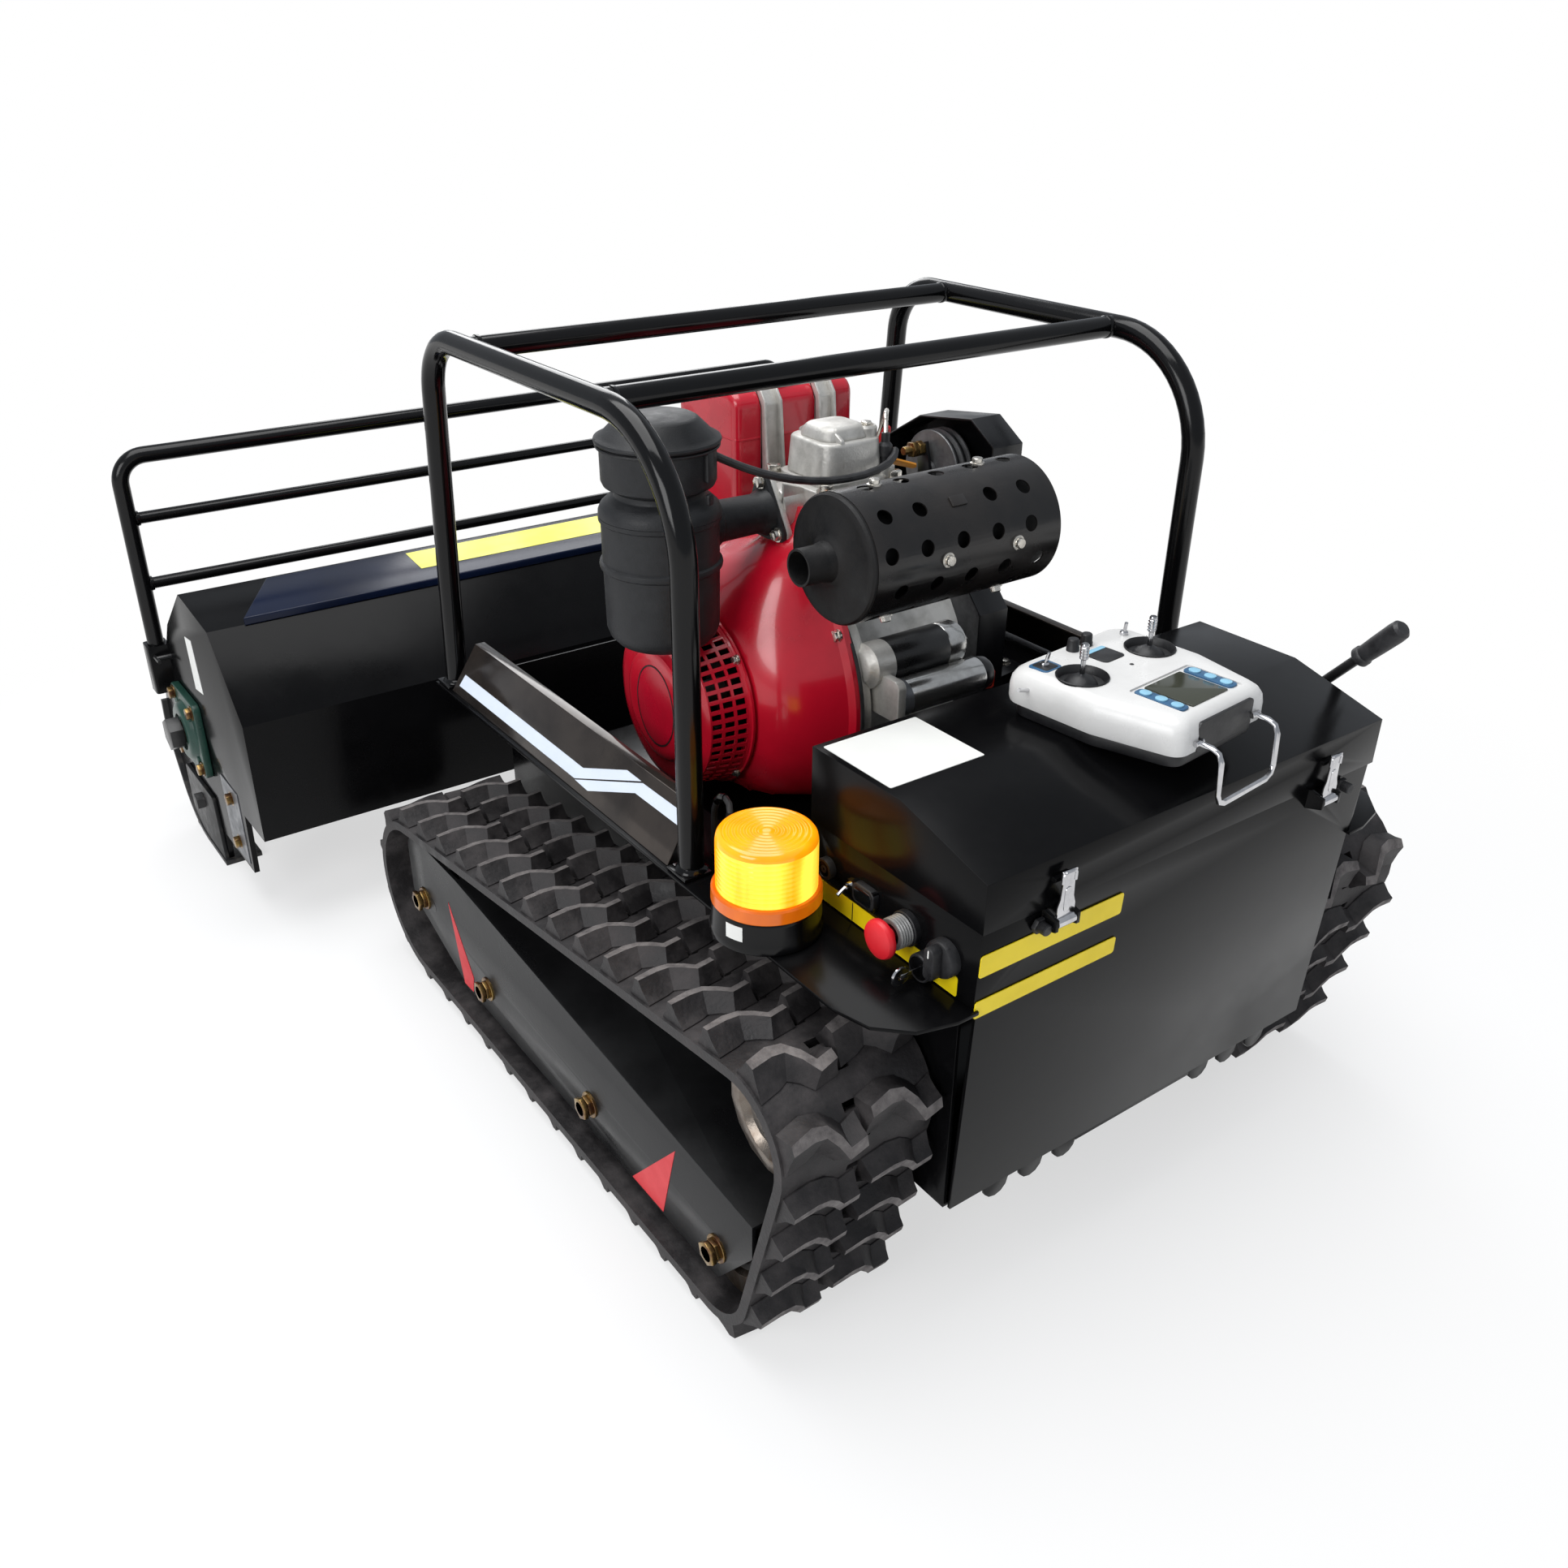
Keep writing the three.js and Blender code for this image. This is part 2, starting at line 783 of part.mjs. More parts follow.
function trackBelt() {
  const half = belt_width / 2;
  const band = prism('x', loopOutline(belt_thickness), -half, half);
  const inside = prism('x', loopOutline(0), -half - cut_overrun, half + cut_overrun);
  const crest = lug_outline_shares.map(([u, v]) => [u * lug_width, v * lug_span]);
  const root = crest.map(([u, v]) => [u * lug_flare_share, v * lug_flare_share]);
  const lug = taper(root, crest, belt_middle - lug_root, belt_middle + lug_height);
  const pitch = belt_length / link_count;
  const lugs = [];
  for (let link = 0; link < link_count; link += 1) {
    const here = (link + 0.5) * pitch;
    for (const side of [-1, 1]) {
      const shifted = lug.clone().translate(side * lug_row_offset, 0, 0);
      lugs.push(onBelt(shifted, here));
    }
  }
  const ground = block(-belt_width, belt_width, -idler_y, 2 * idler_y, -lug_height, 0);
  return cut(fuse(cut(band, inside), wasm.Manifold.union(lugs)), ground);
}

function driveSprocket() {
  const tip = sprocket_wrap_radius - running_gap;
  const root = tip - tooth_height;
  const points = [];
  for (let tooth = 0; tooth < sprocket_teeth; tooth += 1) {
    const pitchAngle = (2 * Math.PI) / sprocket_teeth;
    for (const [share, radius] of [[0, root], [0.3, root], [0.45, tip], [0.75, tip]]) {
      const angle = pitchAngle * (tooth + share);
      points.push([radius * Math.cos(angle), radius * Math.sin(angle)]);
    }
  }
  const teeth = prism('x', points, -tooth_width / 2, tooth_width / 2);
  const inner = -(track_centre_x - hull_half_width) + seat_gap;
  const rimEnd = sprocket_rim_inset + sprocket_rim_width;
  const hub = turned('x', [
    [0, inner], [sprocket_hub_radius, inner], [sprocket_hub_radius, -rimEnd],
    [tip, -rimEnd], [tip, -sprocket_rim_inset], [sprocket_hub_radius, -sprocket_rim_inset],
    [sprocket_hub_radius, sprocket_rim_inset], [tip, sprocket_rim_inset], [tip, rimEnd],
    [tip - tooth_height, rimEnd], [sprocket_hub_radius, sprocket_rim_inset + cut_overrun],
    [sprocket_hub_radius, rimEnd], [0, rimEnd],
  ], 14);
  return fuse(hub, teeth);
}

function grooved(radius, width, grooveWidth, grooveDepth) {
  const half = width / 2;
  const groove = grooveWidth / 2;
  const bore = roller_bore_radius;
  return turned('x', [
    [bore, -half], [radius, -half], [radius, -groove], [radius - grooveDepth, -groove],
    [radius - grooveDepth, groove], [radius, groove], [radius, half], [bore, half], [bore, -half],
  ], 14);
}

function roadRoller() {
  const radius = roller_wrap_radius - running_gap;
  return grooved(radius, roller_width, roller_groove_width, roller_groove_depth);
}

function frontIdler() {
  const radius = idler_wrap_radius - running_gap;
  const half = idler_width / 2;
  const wheel = grooved(radius, idler_width, roller_groove_width, roller_groove_depth);
  const dish = (side) => {
    const face = side * half;
    const floor = side * (half - idler_web_depth);
    const rim = radius - roller_groove_depth - belt_thickness;
    const hub = roller_bore_radius + belt_thickness;
    return turned('x', [
      [hub, floor], [rim, floor], [rim, face + side * cut_overrun],
      [hub, face + side * cut_overrun], [hub, floor],
    ], 14);
  };
  return cut(wheel, dish(1));
}

// The outline of a track frame's side plate, in (y, z)
const beam_side = [
  [roller_rear_y - 1, beam_bottom_z], [roller_front_y + beam_arm_length, beam_bottom_z],
  [beam_front_y, idler_z - beam_arm_height / 2, beam_nose_radius],
  [beam_front_y, beam_front_top_z - beam_plate, beam_nose_radius],
  [beam_front_y - 2 * beam_nose_radius, beam_front_top_z],
  [beam_web_end_y, beam_front_top_z], [beam_rear_y, beam_rear_top_z],
  [beam_rear_y, roller_z + beam_arm_height],
];

function trackFrame() {
  const outer = beam_half_width;
  const plates = [1, -1].map((side) =>
    prism('x', beam_side, side * outer, side * (outer - beam_plate)));
  const web = prism('x', [
    [beam_rear_y, beam_rear_top_z], [beam_web_end_y, beam_front_top_z],
    [beam_web_end_y, beam_front_top_z - beam_plate], [beam_rear_y, beam_rear_top_z - beam_plate],
  ], -outer + beam_plate / 2, outer - beam_plate / 2);
  const axles = [
    [roller_rear_y, roller_z], [roller_middle_y, roller_z],
    [roller_front_y, roller_z], [idler_y, idler_z],
  ];
  const bolts = axles.flatMap(([y, z]) => {
    const washer = outer + bolt_washer_thickness;
    const nut = washer + bolt_nut_thickness;
    return [
      disc('x', y, z, axle_radius, -outer + weld_overlap, outer - weld_overlap, 8),
      disc('x', y, z, bolt_washer_radius, outer - weld_overlap, washer, 8),
      disc('x', y, z, bolt_nut_radius, washer - weld_overlap, nut, 6),
    ];
  });
  const reach = track_centre_x - hull_half_width - seat_gap;
  const arms = [roller_rear_y, roller_middle_y].map((y) => {
    const start = y + beam_arm_length;
    return prism('y', [
      [-reach, beam_arm_z], [-reach, beam_arm_z + beam_arm_height],
      [-outer + weld_overlap, beam_arm_z], [-outer + weld_overlap, beam_arm_z - beam_arm_height],
    ], start, start + beam_arm_length);
  });
  return fuse(plates, web, bolts, arms);
}

const left_belt = mirrored(trackBelt());
const sprocket = driveSprocket();
const roller = roadRoller();
const idler = frontIdler();
const frame = trackFrame();
for (const [side, sign] of [['left', -1], ['right', 1]]) {
  const hand = (solid) => (sign > 0 ? solid : mirrored(solid));
  const track = new THREE.Group();
  track.position.x = sign * track_centre_x;
  track.add(piece(`track_belt_${side}`, hand(mirrored(left_belt)), rubber));
  track.add(piece(`drive_sprocket_${side}`, hand(sprocket), bare_steel, [0, sprocket_y, sprocket_z]));
  const rollers = [roller_rear_y, roller_middle_y, roller_front_y];
  rollers.forEach((y, i) => {
    track.add(piece(`road_roller_${side}_${i + 1}`, roller, bare_steel, [0, y, roller_z]));
  });
  track.add(piece(`front_idler_${side}`, idler, bare_steel, [0, idler_y, idler_z]));
  track.add(piece(`track_frame_${side}`, hand(frame), black_satin));
  mower.add(track);
}

// The same outline pulled in by a wall thickness, or grown when the distance is negative
function inset(points, distance) {
  const flat = points.map(([u, v]) => new THREE.Vector2(u, v));
  const turn = Math.sign(THREE.ShapeUtils.area(flat));
  return flat.map((here, i) => {
    const before = flat[(i + flat.length - 1) % flat.length];
    const after = flat[(i + 1) % flat.length];
    const arriving = here.clone().sub(before).normalize();
    const leaving = after.clone().sub(here).normalize();
    const normal = (way) => new THREE.Vector2(-way.y, way.x).multiplyScalar(turn);
    const middle = normal(arriving).add(normal(leaving)).normalize();
    const reach = distance / middle.dot(normal(leaving));
    return [here.x + middle.x * reach, here.y + middle.y * reach, points[i][2] || 0];
  });
}

// Welded tub, with the flange that the cage, the fairings and the beacon stand on
const flange_top_z = flange_z + flange_plate;

function chassisTub() {
  const half = hull_half_width;
  const inner = half - hull_plate;
  const bottom = hull_bottom_z;
  const floor = block(-half, half, hull_rear_y, hull_front_y, bottom, bottom + hull_plate);
  const front = block(-half, half, hull_front_y - hull_plate, hull_front_y, bottom, flange_z);
  const bayWindow = block(-bay_window_half_width, bay_window_half_width, body_front_y - cut_overrun,
    body_front_y + hull_plate + cut_overrun, bottom + bay_window_sill, bottom + bay_window_sill + bay_window_height);
  const bulkhead = cut(
    block(-half, half, body_front_y, body_front_y + hull_plate, bottom, flange_z), bayWindow);
  const deck = block(-half, half, engine_deck_rear_y, engine_deck_front_y,
    engine_deck_z, engine_deck_z + hull_plate);
  const sides = [-1, 1].flatMap((side) => [
    block(side * inner, side * half, hull_rear_y, hull_front_y, bottom, flange_top_z),
    prism('z', [
      [side * inner, flange_rear_y], [side * flange_half_width, flange_rear_y, flange_corner_radius],
      [side * flange_half_width, hull_front_y], [side * inner, hull_front_y],
    ], flange_z, flange_top_z),
  ]);
  const combTop = bottom + hull_plate;
  const comb = [block(-skid_bar_half_width, skid_bar_half_width, hull_rear_y, hull_rear_y + hull_plate,
    bottom - skid_tab_drop / 2, combTop)];
  for (const side of [-1, 1]) {
    for (let tab = 0; tab < 3; tab += 1) {
      const x = side * (skid_bar_half_width + skid_tab_radius + tab * skid_tab_pitch);
      comb.push(prism('y', [
        [x - skid_tab_radius, combTop], [x - skid_tab_radius, bottom - skid_tab_drop, skid_tab_radius],
        [x + skid_tab_radius, bottom - skid_tab_drop, skid_tab_radius], [x + skid_tab_radius, combTop],
      ], hull_rear_y, hull_rear_y + hull_plate));
    }
  }
  const ear = (x, z, height) => prism('x', [
    [hull_front_y - weld_overlap, z - height / 2],
    [hull_front_y + lift_ear_reach + lift_pin_radius, z - height / 2, lift_pin_radius],
    [hull_front_y + lift_ear_reach + lift_pin_radius, z + height / 2, lift_pin_radius],
    [hull_front_y - weld_overlap, z + height / 2],
  ], x, x + lift_ear_thickness);
  const ears = [-1, 1].flatMap((side) => {
    const inside = side * lift_arm_x - lift_arm_width / 2 - running_gap - lift_ear_thickness;
    const outside = side * lift_arm_x + lift_arm_width / 2 + running_gap;
    return [
      ear(inside, lift_pivot_z, lift_ear_height),
      ear(outside, lift_pivot_z, lift_ear_height),
      disc('x', lift_pivot_y, lift_pivot_z, lift_pin_radius, inside, outside + lift_ear_thickness, 12),
    ];
  });
  const ramInner = ram_foot_half_width + running_gap;
  const ramEars = [
    ear(-ramInner - lift_ear_thickness, ram_foot_z, ram_ear_height),
    ear(ramInner, ram_foot_z, ram_ear_height),
    disc('x', lift_pivot_y, ram_foot_z, ram_pin_radius, -ramInner - lift_ear_thickness,
      ramInner + lift_ear_thickness, 8),
  ];
  const leverEars = [-1, 1].map((side) => {
    const start = clutch_x + side * (clutch_boss_half_width + running_gap);
    return prism('x', [
      [clutch_y - clutch_ear_size, flange_top_z - weld_overlap],
      [clutch_y - clutch_ear_size, clutch_z + clutch_ear_size, clutch_ear_size / 2],
      [clutch_y + clutch_ear_size, clutch_z + clutch_ear_size, clutch_ear_size / 2],
      [clutch_y + clutch_ear_size, flange_top_z - weld_overlap],
    ], start, start + side * clutch_ear_thickness);
  });
  const leverPin = disc('x', clutch_y, clutch_z, clutch_pin_radius,
    clutch_x - clutch_boss_half_width - clutch_ear_thickness,
    clutch_x + clutch_boss_half_width + clutch_ear_thickness, 8);
  const bores = [-1, 1].map((side) => disc('x', sprocket_y, sprocket_z,
    sprocket_hub_radius + running_gap, side * (inner - cut_overrun), side * (half + cut_overrun), 14));
  return cut(fuse(floor, front, bulkhead, deck, sides, comb, ears, ramEars, leverEars, leverPin), bores);
}

function sideFairing() {
  const bottom = flange_top_z + seat_gap;
  const half = fairing_plate / 2;
  const foot = fairing_x + fairing_lean;
  const wall = prism('y', [
    [foot - half, bottom], [foot + half, bottom], [fairing_x + half, fairing_top_z], [fairing_x - half, fairing_top_z],
  ], fairing_rear_y, fairing_front_y);
  const lip = block(fairing_x - fairing_lip, fairing_x + half, fairing_rear_y, fairing_front_y,
    fairing_top_z - fairing_plate, fairing_top_z);
  const nose = prism('x', [
    [fairing_front_y, bottom], [fairing_front_y + cut_overrun, bottom],
    [fairing_front_y + cut_overrun, fairing_top_z + cut_overrun],
    [fairing_front_y - fairing_nose_run, fairing_top_z + cut_overrun],
  ], fairing_x - fairing_lip - cut_overrun, foot + half + cut_overrun);
  return cut(fuse(wall, lip), nose);
}

function cageHoop() {
  const foot = flange_top_z + seat_gap;
  const corners = [
    vec(cage_x, cage_rear_y, foot), vec(cage_x, cage_rear_y, cage_top_z),
    vec(cage_x, cage_front_y - cage_front_lean, cage_top_z), vec(cage_x, cage_front_y, foot),
  ];
  const hoop = tube(corners, [cage_rear_bend, cage_front_bend], cage_tube_radius, 8, 4);
  const plates = [cage_rear_y, cage_front_y].map((y) => block(
    cage_x - cage_tube_radius, cage_x + cage_tube_radius + fairing_lip / 2,
    y - cage_foot_half, y + cage_foot_half, foot, foot + flange_plate));
  const under = block(0, flange_half_width, 0, hull_front_y, foot - cage_tube_radius, foot);
  return cut(fuse(hoop, plates), under);
}

function rollCage() {
  const hoop = cageHoop();
  const bars = [cage_bar_rear_y, cage_bar_front_y].map((y) =>
    disc('x', y, cage_top_z, cage_bar_radius, -cage_x, cage_x, 8));
  return fuse(hoop, mirrored(hoop), bars);
}

// Rear body and lid
const body_lean_share = (body_rear_foot_y - body_rear_y) / (body_top_z - hull_bottom_z);
const bodyRear = (z) => body_rear_y + (body_top_z - z) * body_lean_share;

function rearBody() {
  const bottom = flange_top_z + seat_gap;
  const half = hull_half_width;
  const wall = body_plate;
  const outer = prism('x', [
    [bodyRear(bottom), bottom], [body_front_y, bottom], [body_front_y, body_top_z], [body_rear_y, body_top_z],
  ], -half, half);
  const room = prism('x', [
    [bodyRear(bottom) + wall, bottom + wall], [body_front_y - wall, bottom + wall],
    [body_front_y - wall, body_top_z + cut_overrun], [body_rear_y + wall, body_top_z + cut_overrun],
  ], -half + wall, half - wall);
  const rear = prism('x', [
    [bodyRear(hull_bottom_z), hull_bottom_z], [bodyRear(hull_bottom_z) + wall, hull_bottom_z],
    [body_rear_y + wall, body_top_z], [body_rear_y, body_top_z],
  ], -half + hull_plate + seat_gap, half - hull_plate - seat_gap);
  const face = -half + weld_overlap;
  const collar = disc('x', estop_y, estop_z, collar_radius, face, -half - collar_length, 12);
  const well = disc('x', estop_y, estop_z, estop_stem_radius + running_gap,
    -half + wall + cut_overrun, -half - collar_length - cut_overrun, 8);
  const keyBarrel = disc('x', key_y, key_z, key_switch_radius, face, -half - key_barrel_length, 10);
  const socket = disc('x', socket_y, socket_z, socket_radius, face, -half - socket_length, 10);
  const display = block(face, -half - socket_length, display_y - display_size / 2,
    display_y + display_size / 2, socket_z - display_size / 3, socket_z + display_size / 3);
  const pins = [-1, 1].flatMap((side) => {
    const x = side * lid_hinge_x;
    const y = body_front_y + lid_hinge_radius + lid_side_overhang;
    const ends = lid_hinge_half_length + running_gap;
    const knuckle = (start, end) => fuse(
      disc('x', y, lid_hinge_z, lid_hinge_radius, start, end, 8),
      block(start, end, body_front_y - weld_overlap, y, body_top_z - 2 * lid_hinge_radius, lid_hinge_z - weld_overlap),
    );
    return [
      disc('x', y, lid_hinge_z, lid_pin_radius, x - ends - wall, x + ends + wall, 8),
      knuckle(x - ends - lid_hinge_radius, x - ends), knuckle(x + ends, x + ends + lid_hinge_radius),
    ];
  });
  const latchPegs = [-1, 1].flatMap((side) => {
    const x = side * latch_x;
    const ends = latch_width / 2 + running_gap;
    const ear = (start) => prism('x', [
      [bodyRear(latch_pivot_z) + weld_overlap, latch_pivot_z - latch_ear_size],
      [latch_y - latch_ear_size / 2, latch_pivot_z - latch_ear_size / 2],
      [latch_y - latch_ear_size / 2, latch_pivot_z + latch_ear_size / 2],
      [bodyRear(latch_pivot_z) + weld_overlap, latch_pivot_z + latch_ear_size],
    ], start, start + latch_thickness);
    return [ear(x - ends - latch_thickness), ear(x + ends),
      disc('x', latch_y, latch_pivot_z, latch_pin_radius, x - ends - weld_overlap, x + ends + weld_overlap, 8)];
  });
  const hollow = cut(fuse(outer, rear), room);
  return cut(fuse(hollow, collar, keyBarrel, socket, display, pins, latchPegs), well);
}

const latch_y = body_rear_y - lid_side_overhang - latch_standoff - latch_thickness;

function bodyLid() {
  const half = hull_half_width + lid_side_overhang;
  const rear = body_rear_y - lid_side_overhang;
  const front = body_front_y + lid_side_overhang;
  const bottom = body_top_z + seat_gap;
  const side = [
    [rear, bottom], [rear, lid_skirt_top_z], [lid_ridge_y, lid_top_z], [front, lid_top_z], [front, bottom],
  ];
  const outer = prism('x', side, -half, half);
  const room = prism('x', inset(side, lid_plate), -half + lid_plate, half - lid_plate);
  const mouth = block(-half + lid_plate, half - lid_plate, rear + lid_plate, front - lid_plate,
    bottom - cut_overrun, bottom + lid_plate + cut_overrun);
  const hingeY = body_front_y + lid_hinge_radius + lid_side_overhang;
  const barrels = [-1, 1].map((way) => {
    const x = way * lid_hinge_x;
    return fuse(
      disc('x', hingeY, lid_hinge_z, lid_hinge_radius, x - lid_hinge_half_length, x + lid_hinge_half_length, 8),
      block(x - lid_hinge_half_length, x + lid_hinge_half_length, front - weld_overlap, hingeY,
        lid_hinge_z, lid_hinge_z + lid_hinge_radius),
    );
  });
  const bore = disc('x', hingeY, lid_hinge_z, lid_pin_radius + running_gap, -half, half, 8);
  const relief = [-1, 1].flatMap((way) => [-1, 1].map((end) => {
    const x = way * lid_hinge_x + end * (lid_hinge_half_length + lid_hinge_radius / 2 + running_gap);
    const reach = lid_hinge_radius / 2 + running_gap;
    return block(x - reach, x + reach, front - lid_plate - cut_overrun, front + cut_overrun,
      bottom - cut_overrun, lid_hinge_z + 2 * lid_hinge_radius);
  }));
  const lip = (way) => block(way * latch_x - latch_width / 2, way * latch_x + latch_width / 2,
    rear - latch_standoff + seat_gap * 2, rear + weld_overlap, latch_catch_z, latch_catch_z + latch_thickness);
  return cut(fuse(cut(outer, room, mouth), barrels, lip(-1), lip(1)), bore, relief);
}

function latch() {
  const half = latch_width / 2;
  const plate = prism('x', [
    [-latch_thickness / 2, -latch_ear_size / 2], [latch_thickness / 2, -latch_ear_size / 2],
    [latch_thickness / 2, latch_top_z - latch_pivot_z], [-latch_thickness / 2, latch_top_z - latch_pivot_z],
  ], -half, half);
  const barrel = disc('x', 0, 0, latch_ear_size / 2, -half, half, 8);
  const bore = disc('x', 0, 0, latch_pin_radius + running_gap, -half - cut_overrun, half + cut_overrun, 8);
  return cut(fuse(plate, barrel), bore);
}

function estopButton() {
  const lip = collar_length + estop_travel + running_gap;
  return turned('x', [
    [0, -lip - estop_cap_length], [estop_radius * 0.8, -lip - estop_cap_length],
    [estop_radius, -lip - estop_cap_length / 2], [estop_radius, -lip],
    [estop_stem_radius, -lip], [estop_stem_radius, -seat_gap], [0, -seat_gap],
  ], 12);
}

function startKnob() {
  const dial = disc('x', 0, 0, knob_radius, -seat_gap, -knob_length / 2, 12);
  const grip = block(-knob_length, -knob_length / 2 + weld_overlap,
    -knob_radius / 3, knob_radius / 3, -knob_radius * 0.9, knob_radius * 0.9);
  return fuse(dial, grip);
}

function ignitionKey() {
  const bow = disc('y', -key_bow_size, 0, key_bow_size / 2, -key_bow_thickness / 2, key_bow_thickness / 2, 8);
  const shank = block(-key_bow_size, -seat_gap, -key_bow_thickness / 2, key_bow_thickness / 2,
    -key_bow_thickness, key_bow_thickness);
  return fuse(bow, shank);
}

// Beacon
function beaconBase() {
  const bottom = flange_top_z + seat_gap;
  const base = turned('z', [
    [0, bottom], [beacon_base_radius, bottom], [beacon_base_radius, bottom + beacon_base_height],
    [beacon_lens_radius, bottom + beacon_base_height],
    [beacon_lens_radius, bottom + beacon_base_height + beacon_ring_height],
    [0, bottom + beacon_base_height + beacon_ring_height],
  ], 14);
  return fuse(base.translate([-beacon_x, beacon_y, 0]), beaconCable());
}

function beaconLens() {
  const bottom = flange_top_z + 2 * seat_gap + beacon_base_height + beacon_ring_height;
  const top = bottom + beacon_lens_height;
  const radius = beacon_lens_radius - beacon_lens_step;
  return turned('z', [
    [0, bottom], [radius, bottom], [radius, top - beacon_lens_round],
    [radius - beacon_lens_round * 0.3, top - beacon_lens_round * 0.3],
    [radius - beacon_lens_round, top], [0, top],
  ], 14);
}

function beaconCable() {
  const z = flange_top_z + beacon_base_height / 2;
  const inside = -fairing_x + fairing_lip + 2 * beacon_cable_radius;
  const before = cage_rear_y - cage_foot_half - 2 * beacon_cable_radius;
  const corners = [
    vec(-beacon_x, beacon_y + beacon_base_radius - beacon_cable_radius, z),
    vec(-beacon_x, before, z), vec(inside, before, z + beacon_loop_height),
    vec(inside, cage_rear_y, z + beacon_loop_height),
    vec(inside, cage_rear_y + cage_tube_radius, flange_top_z + beacon_cable_radius),
  ];
  return tube(corners, 2 * beacon_cable_radius, beacon_cable_radius, 6, 2);
}

// Engine
function crankcase() {
  const half = crankcase_half_length;
  const left = -crankcase_left_x;
  const right = crankcase_right_x;
  const top = crankcase_top_z;
  const core = prism('x', [
    [crank_y - half, engine_base_z], [crank_y - half, crank_z + half / 2, half / 4],
    [crank_y - half * 0.62, top, half / 5], [crank_y + half * 0.62, top, half / 5],
    [crank_y + half, crank_z + half / 2, half / 4], [crank_y + half, engine_base_z],
  ], left, right);
  const foot = block(left, right, crank_y - half - foot_height, crank_y + half + foot_height,
    engine_base_z, engine_base_z + foot_height);
  const cover = turned('x', [
    [0, right - weld_overlap], [half * 0.82, right - weld_overlap], [half * 0.82, right + foot_height / 2],
    [half * 0.7, right + foot_height], [0, right + foot_height],
  ], 14).translate([0, crank_y, crank_z]);
  const barrelTop = head_bottom_z - seat_gap;
  const barrel = disc('z', head_x, head_y, cylinder_radius, top - weld_overlap, barrelTop, 14);
  const fins = Array.from({ length: fin_count }, (unused, i) => {
    const z = top + ((i + 0.5) * (barrelTop - top)) / fin_count;
    return prism('z', [
      [head_x - fin_radius * 0.69, head_y - fin_radius, fin_radius / 4],
      [head_x + fin_radius, head_y - fin_radius, fin_radius / 4],
      [head_x + fin_radius, head_y + fin_radius, fin_radius / 4],
      [head_x - fin_radius * 0.69, head_y + fin_radius, fin_radius / 4],
    ], z - fin_thickness / 2, z + fin_thickness / 2, 2);
  });
  const posts = [-1, 1].map((side) => {
    const x = tank_post_x + side * tank_post_spread;
    return block(x - foot_height / 2, x + foot_height / 2, tank_rear_y + foot_height / 2,
      tank_rear_y + 2 * foot_height, top - 2 * foot_height, tank_bottom_z - seat_gap);
  });
  const shelf = block(tank_post_x - tank_post_spread, tank_post_x + tank_post_spread,
    crank_y + half * 0.5, tank_rear_y + 2 * foot_height, top - 2 * foot_height, top - foot_height);
  const bore = disc('x', crank_y, crank_z, crank_radius + running_gap,
    left - cut_overrun, right + foot_height + cut_overrun, 12);
  return cut(fuse(core, foot, cover, barrel, fins, shelf, posts), bore);
}

function cylinderHead() {
  const low = head_bottom_z;
  const top = low + head_height;
  const half = head_half_width;
  const body = prism('z', [
    [head_x - half, head_y - half, half / 5], [head_x + half, head_y - half, half / 5],
    [head_x + half, head_y + half, half / 5], [head_x - half, head_y + half, half / 5],
  ], low, top, 2);
  const rocker = (inner, from, to) => prism('z', [
    [head_x - inner, head_y - inner, inner / 3], [head_x + inner, head_y - inner, inner / 3],
    [head_x + inner, head_y + inner, inner / 3], [head_x - inner, head_y + inner, inner / 3],
  ], from, to, 3);
  const crown = top + rocker_height;
  const grooves = [0.3, 0.6].flatMap((share) => {
    const z = low + head_height * share;
    const thickness = fin_thickness / 2;
    return [-1, 1].map((side) => block(head_x - half - cut_overrun, head_x + half + cut_overrun,
      head_y + side * half * 0.85, head_y + side * (half + cut_overrun), z - thickness, z + thickness));
  });
  return cut(fuse(
    body, rocker(rocker_half_width, top - weld_overlap, crown - rocker_step),
    rocker(rocker_half_width - rocker_step, crown - rocker_step - weld_overlap, crown),
  ), grooves);
}

function crankshaft() {
  const inner = guard_left_x + guard_plate + running_gap;
  const shaft = disc('x', 0, 0, crank_radius, -crank_left_reach, inner + pulley_width, 12);
  const pulley = turned('x', [
    [0, inner], [pulley_radius, inner], [pulley_radius * 0.84, inner + pulley_width / 2],
    [pulley_radius, inner + pulley_width], [crank_radius * 1.6, inner + pulley_width],
    [crank_radius * 1.6, inner + pulley_width * 0.7], [0, inner + pulley_width * 0.7],
  ], 14);
  return fuse(shaft, pulley);
}

function coolingFan() {
  const back = turned('x', [
    [0, -fan_depth], [fan_hub_radius, -fan_depth], [fan_hub_radius, -fan_plate],
    [fan_radius, -fan_plate], [fan_radius, 0], [0, 0],
  ], 14);
  const blade = block(-fan_depth, -fan_plate / 2, fan_radius * 0.62, fan_radius * 0.98, 0, fan_plate);
  const blades = Array.from({ length: fan_blade_count }, (unused, i) =>
    blade.rotate([(360 * i) / fan_blade_count, 0, 0]));
  const bore = disc('x', 0, 0, crank_radius + seat_gap, -fan_depth - cut_overrun, cut_overrun, 12);
  return cut(fuse(back, wasm.Manifold.union(blades)), bore);
}

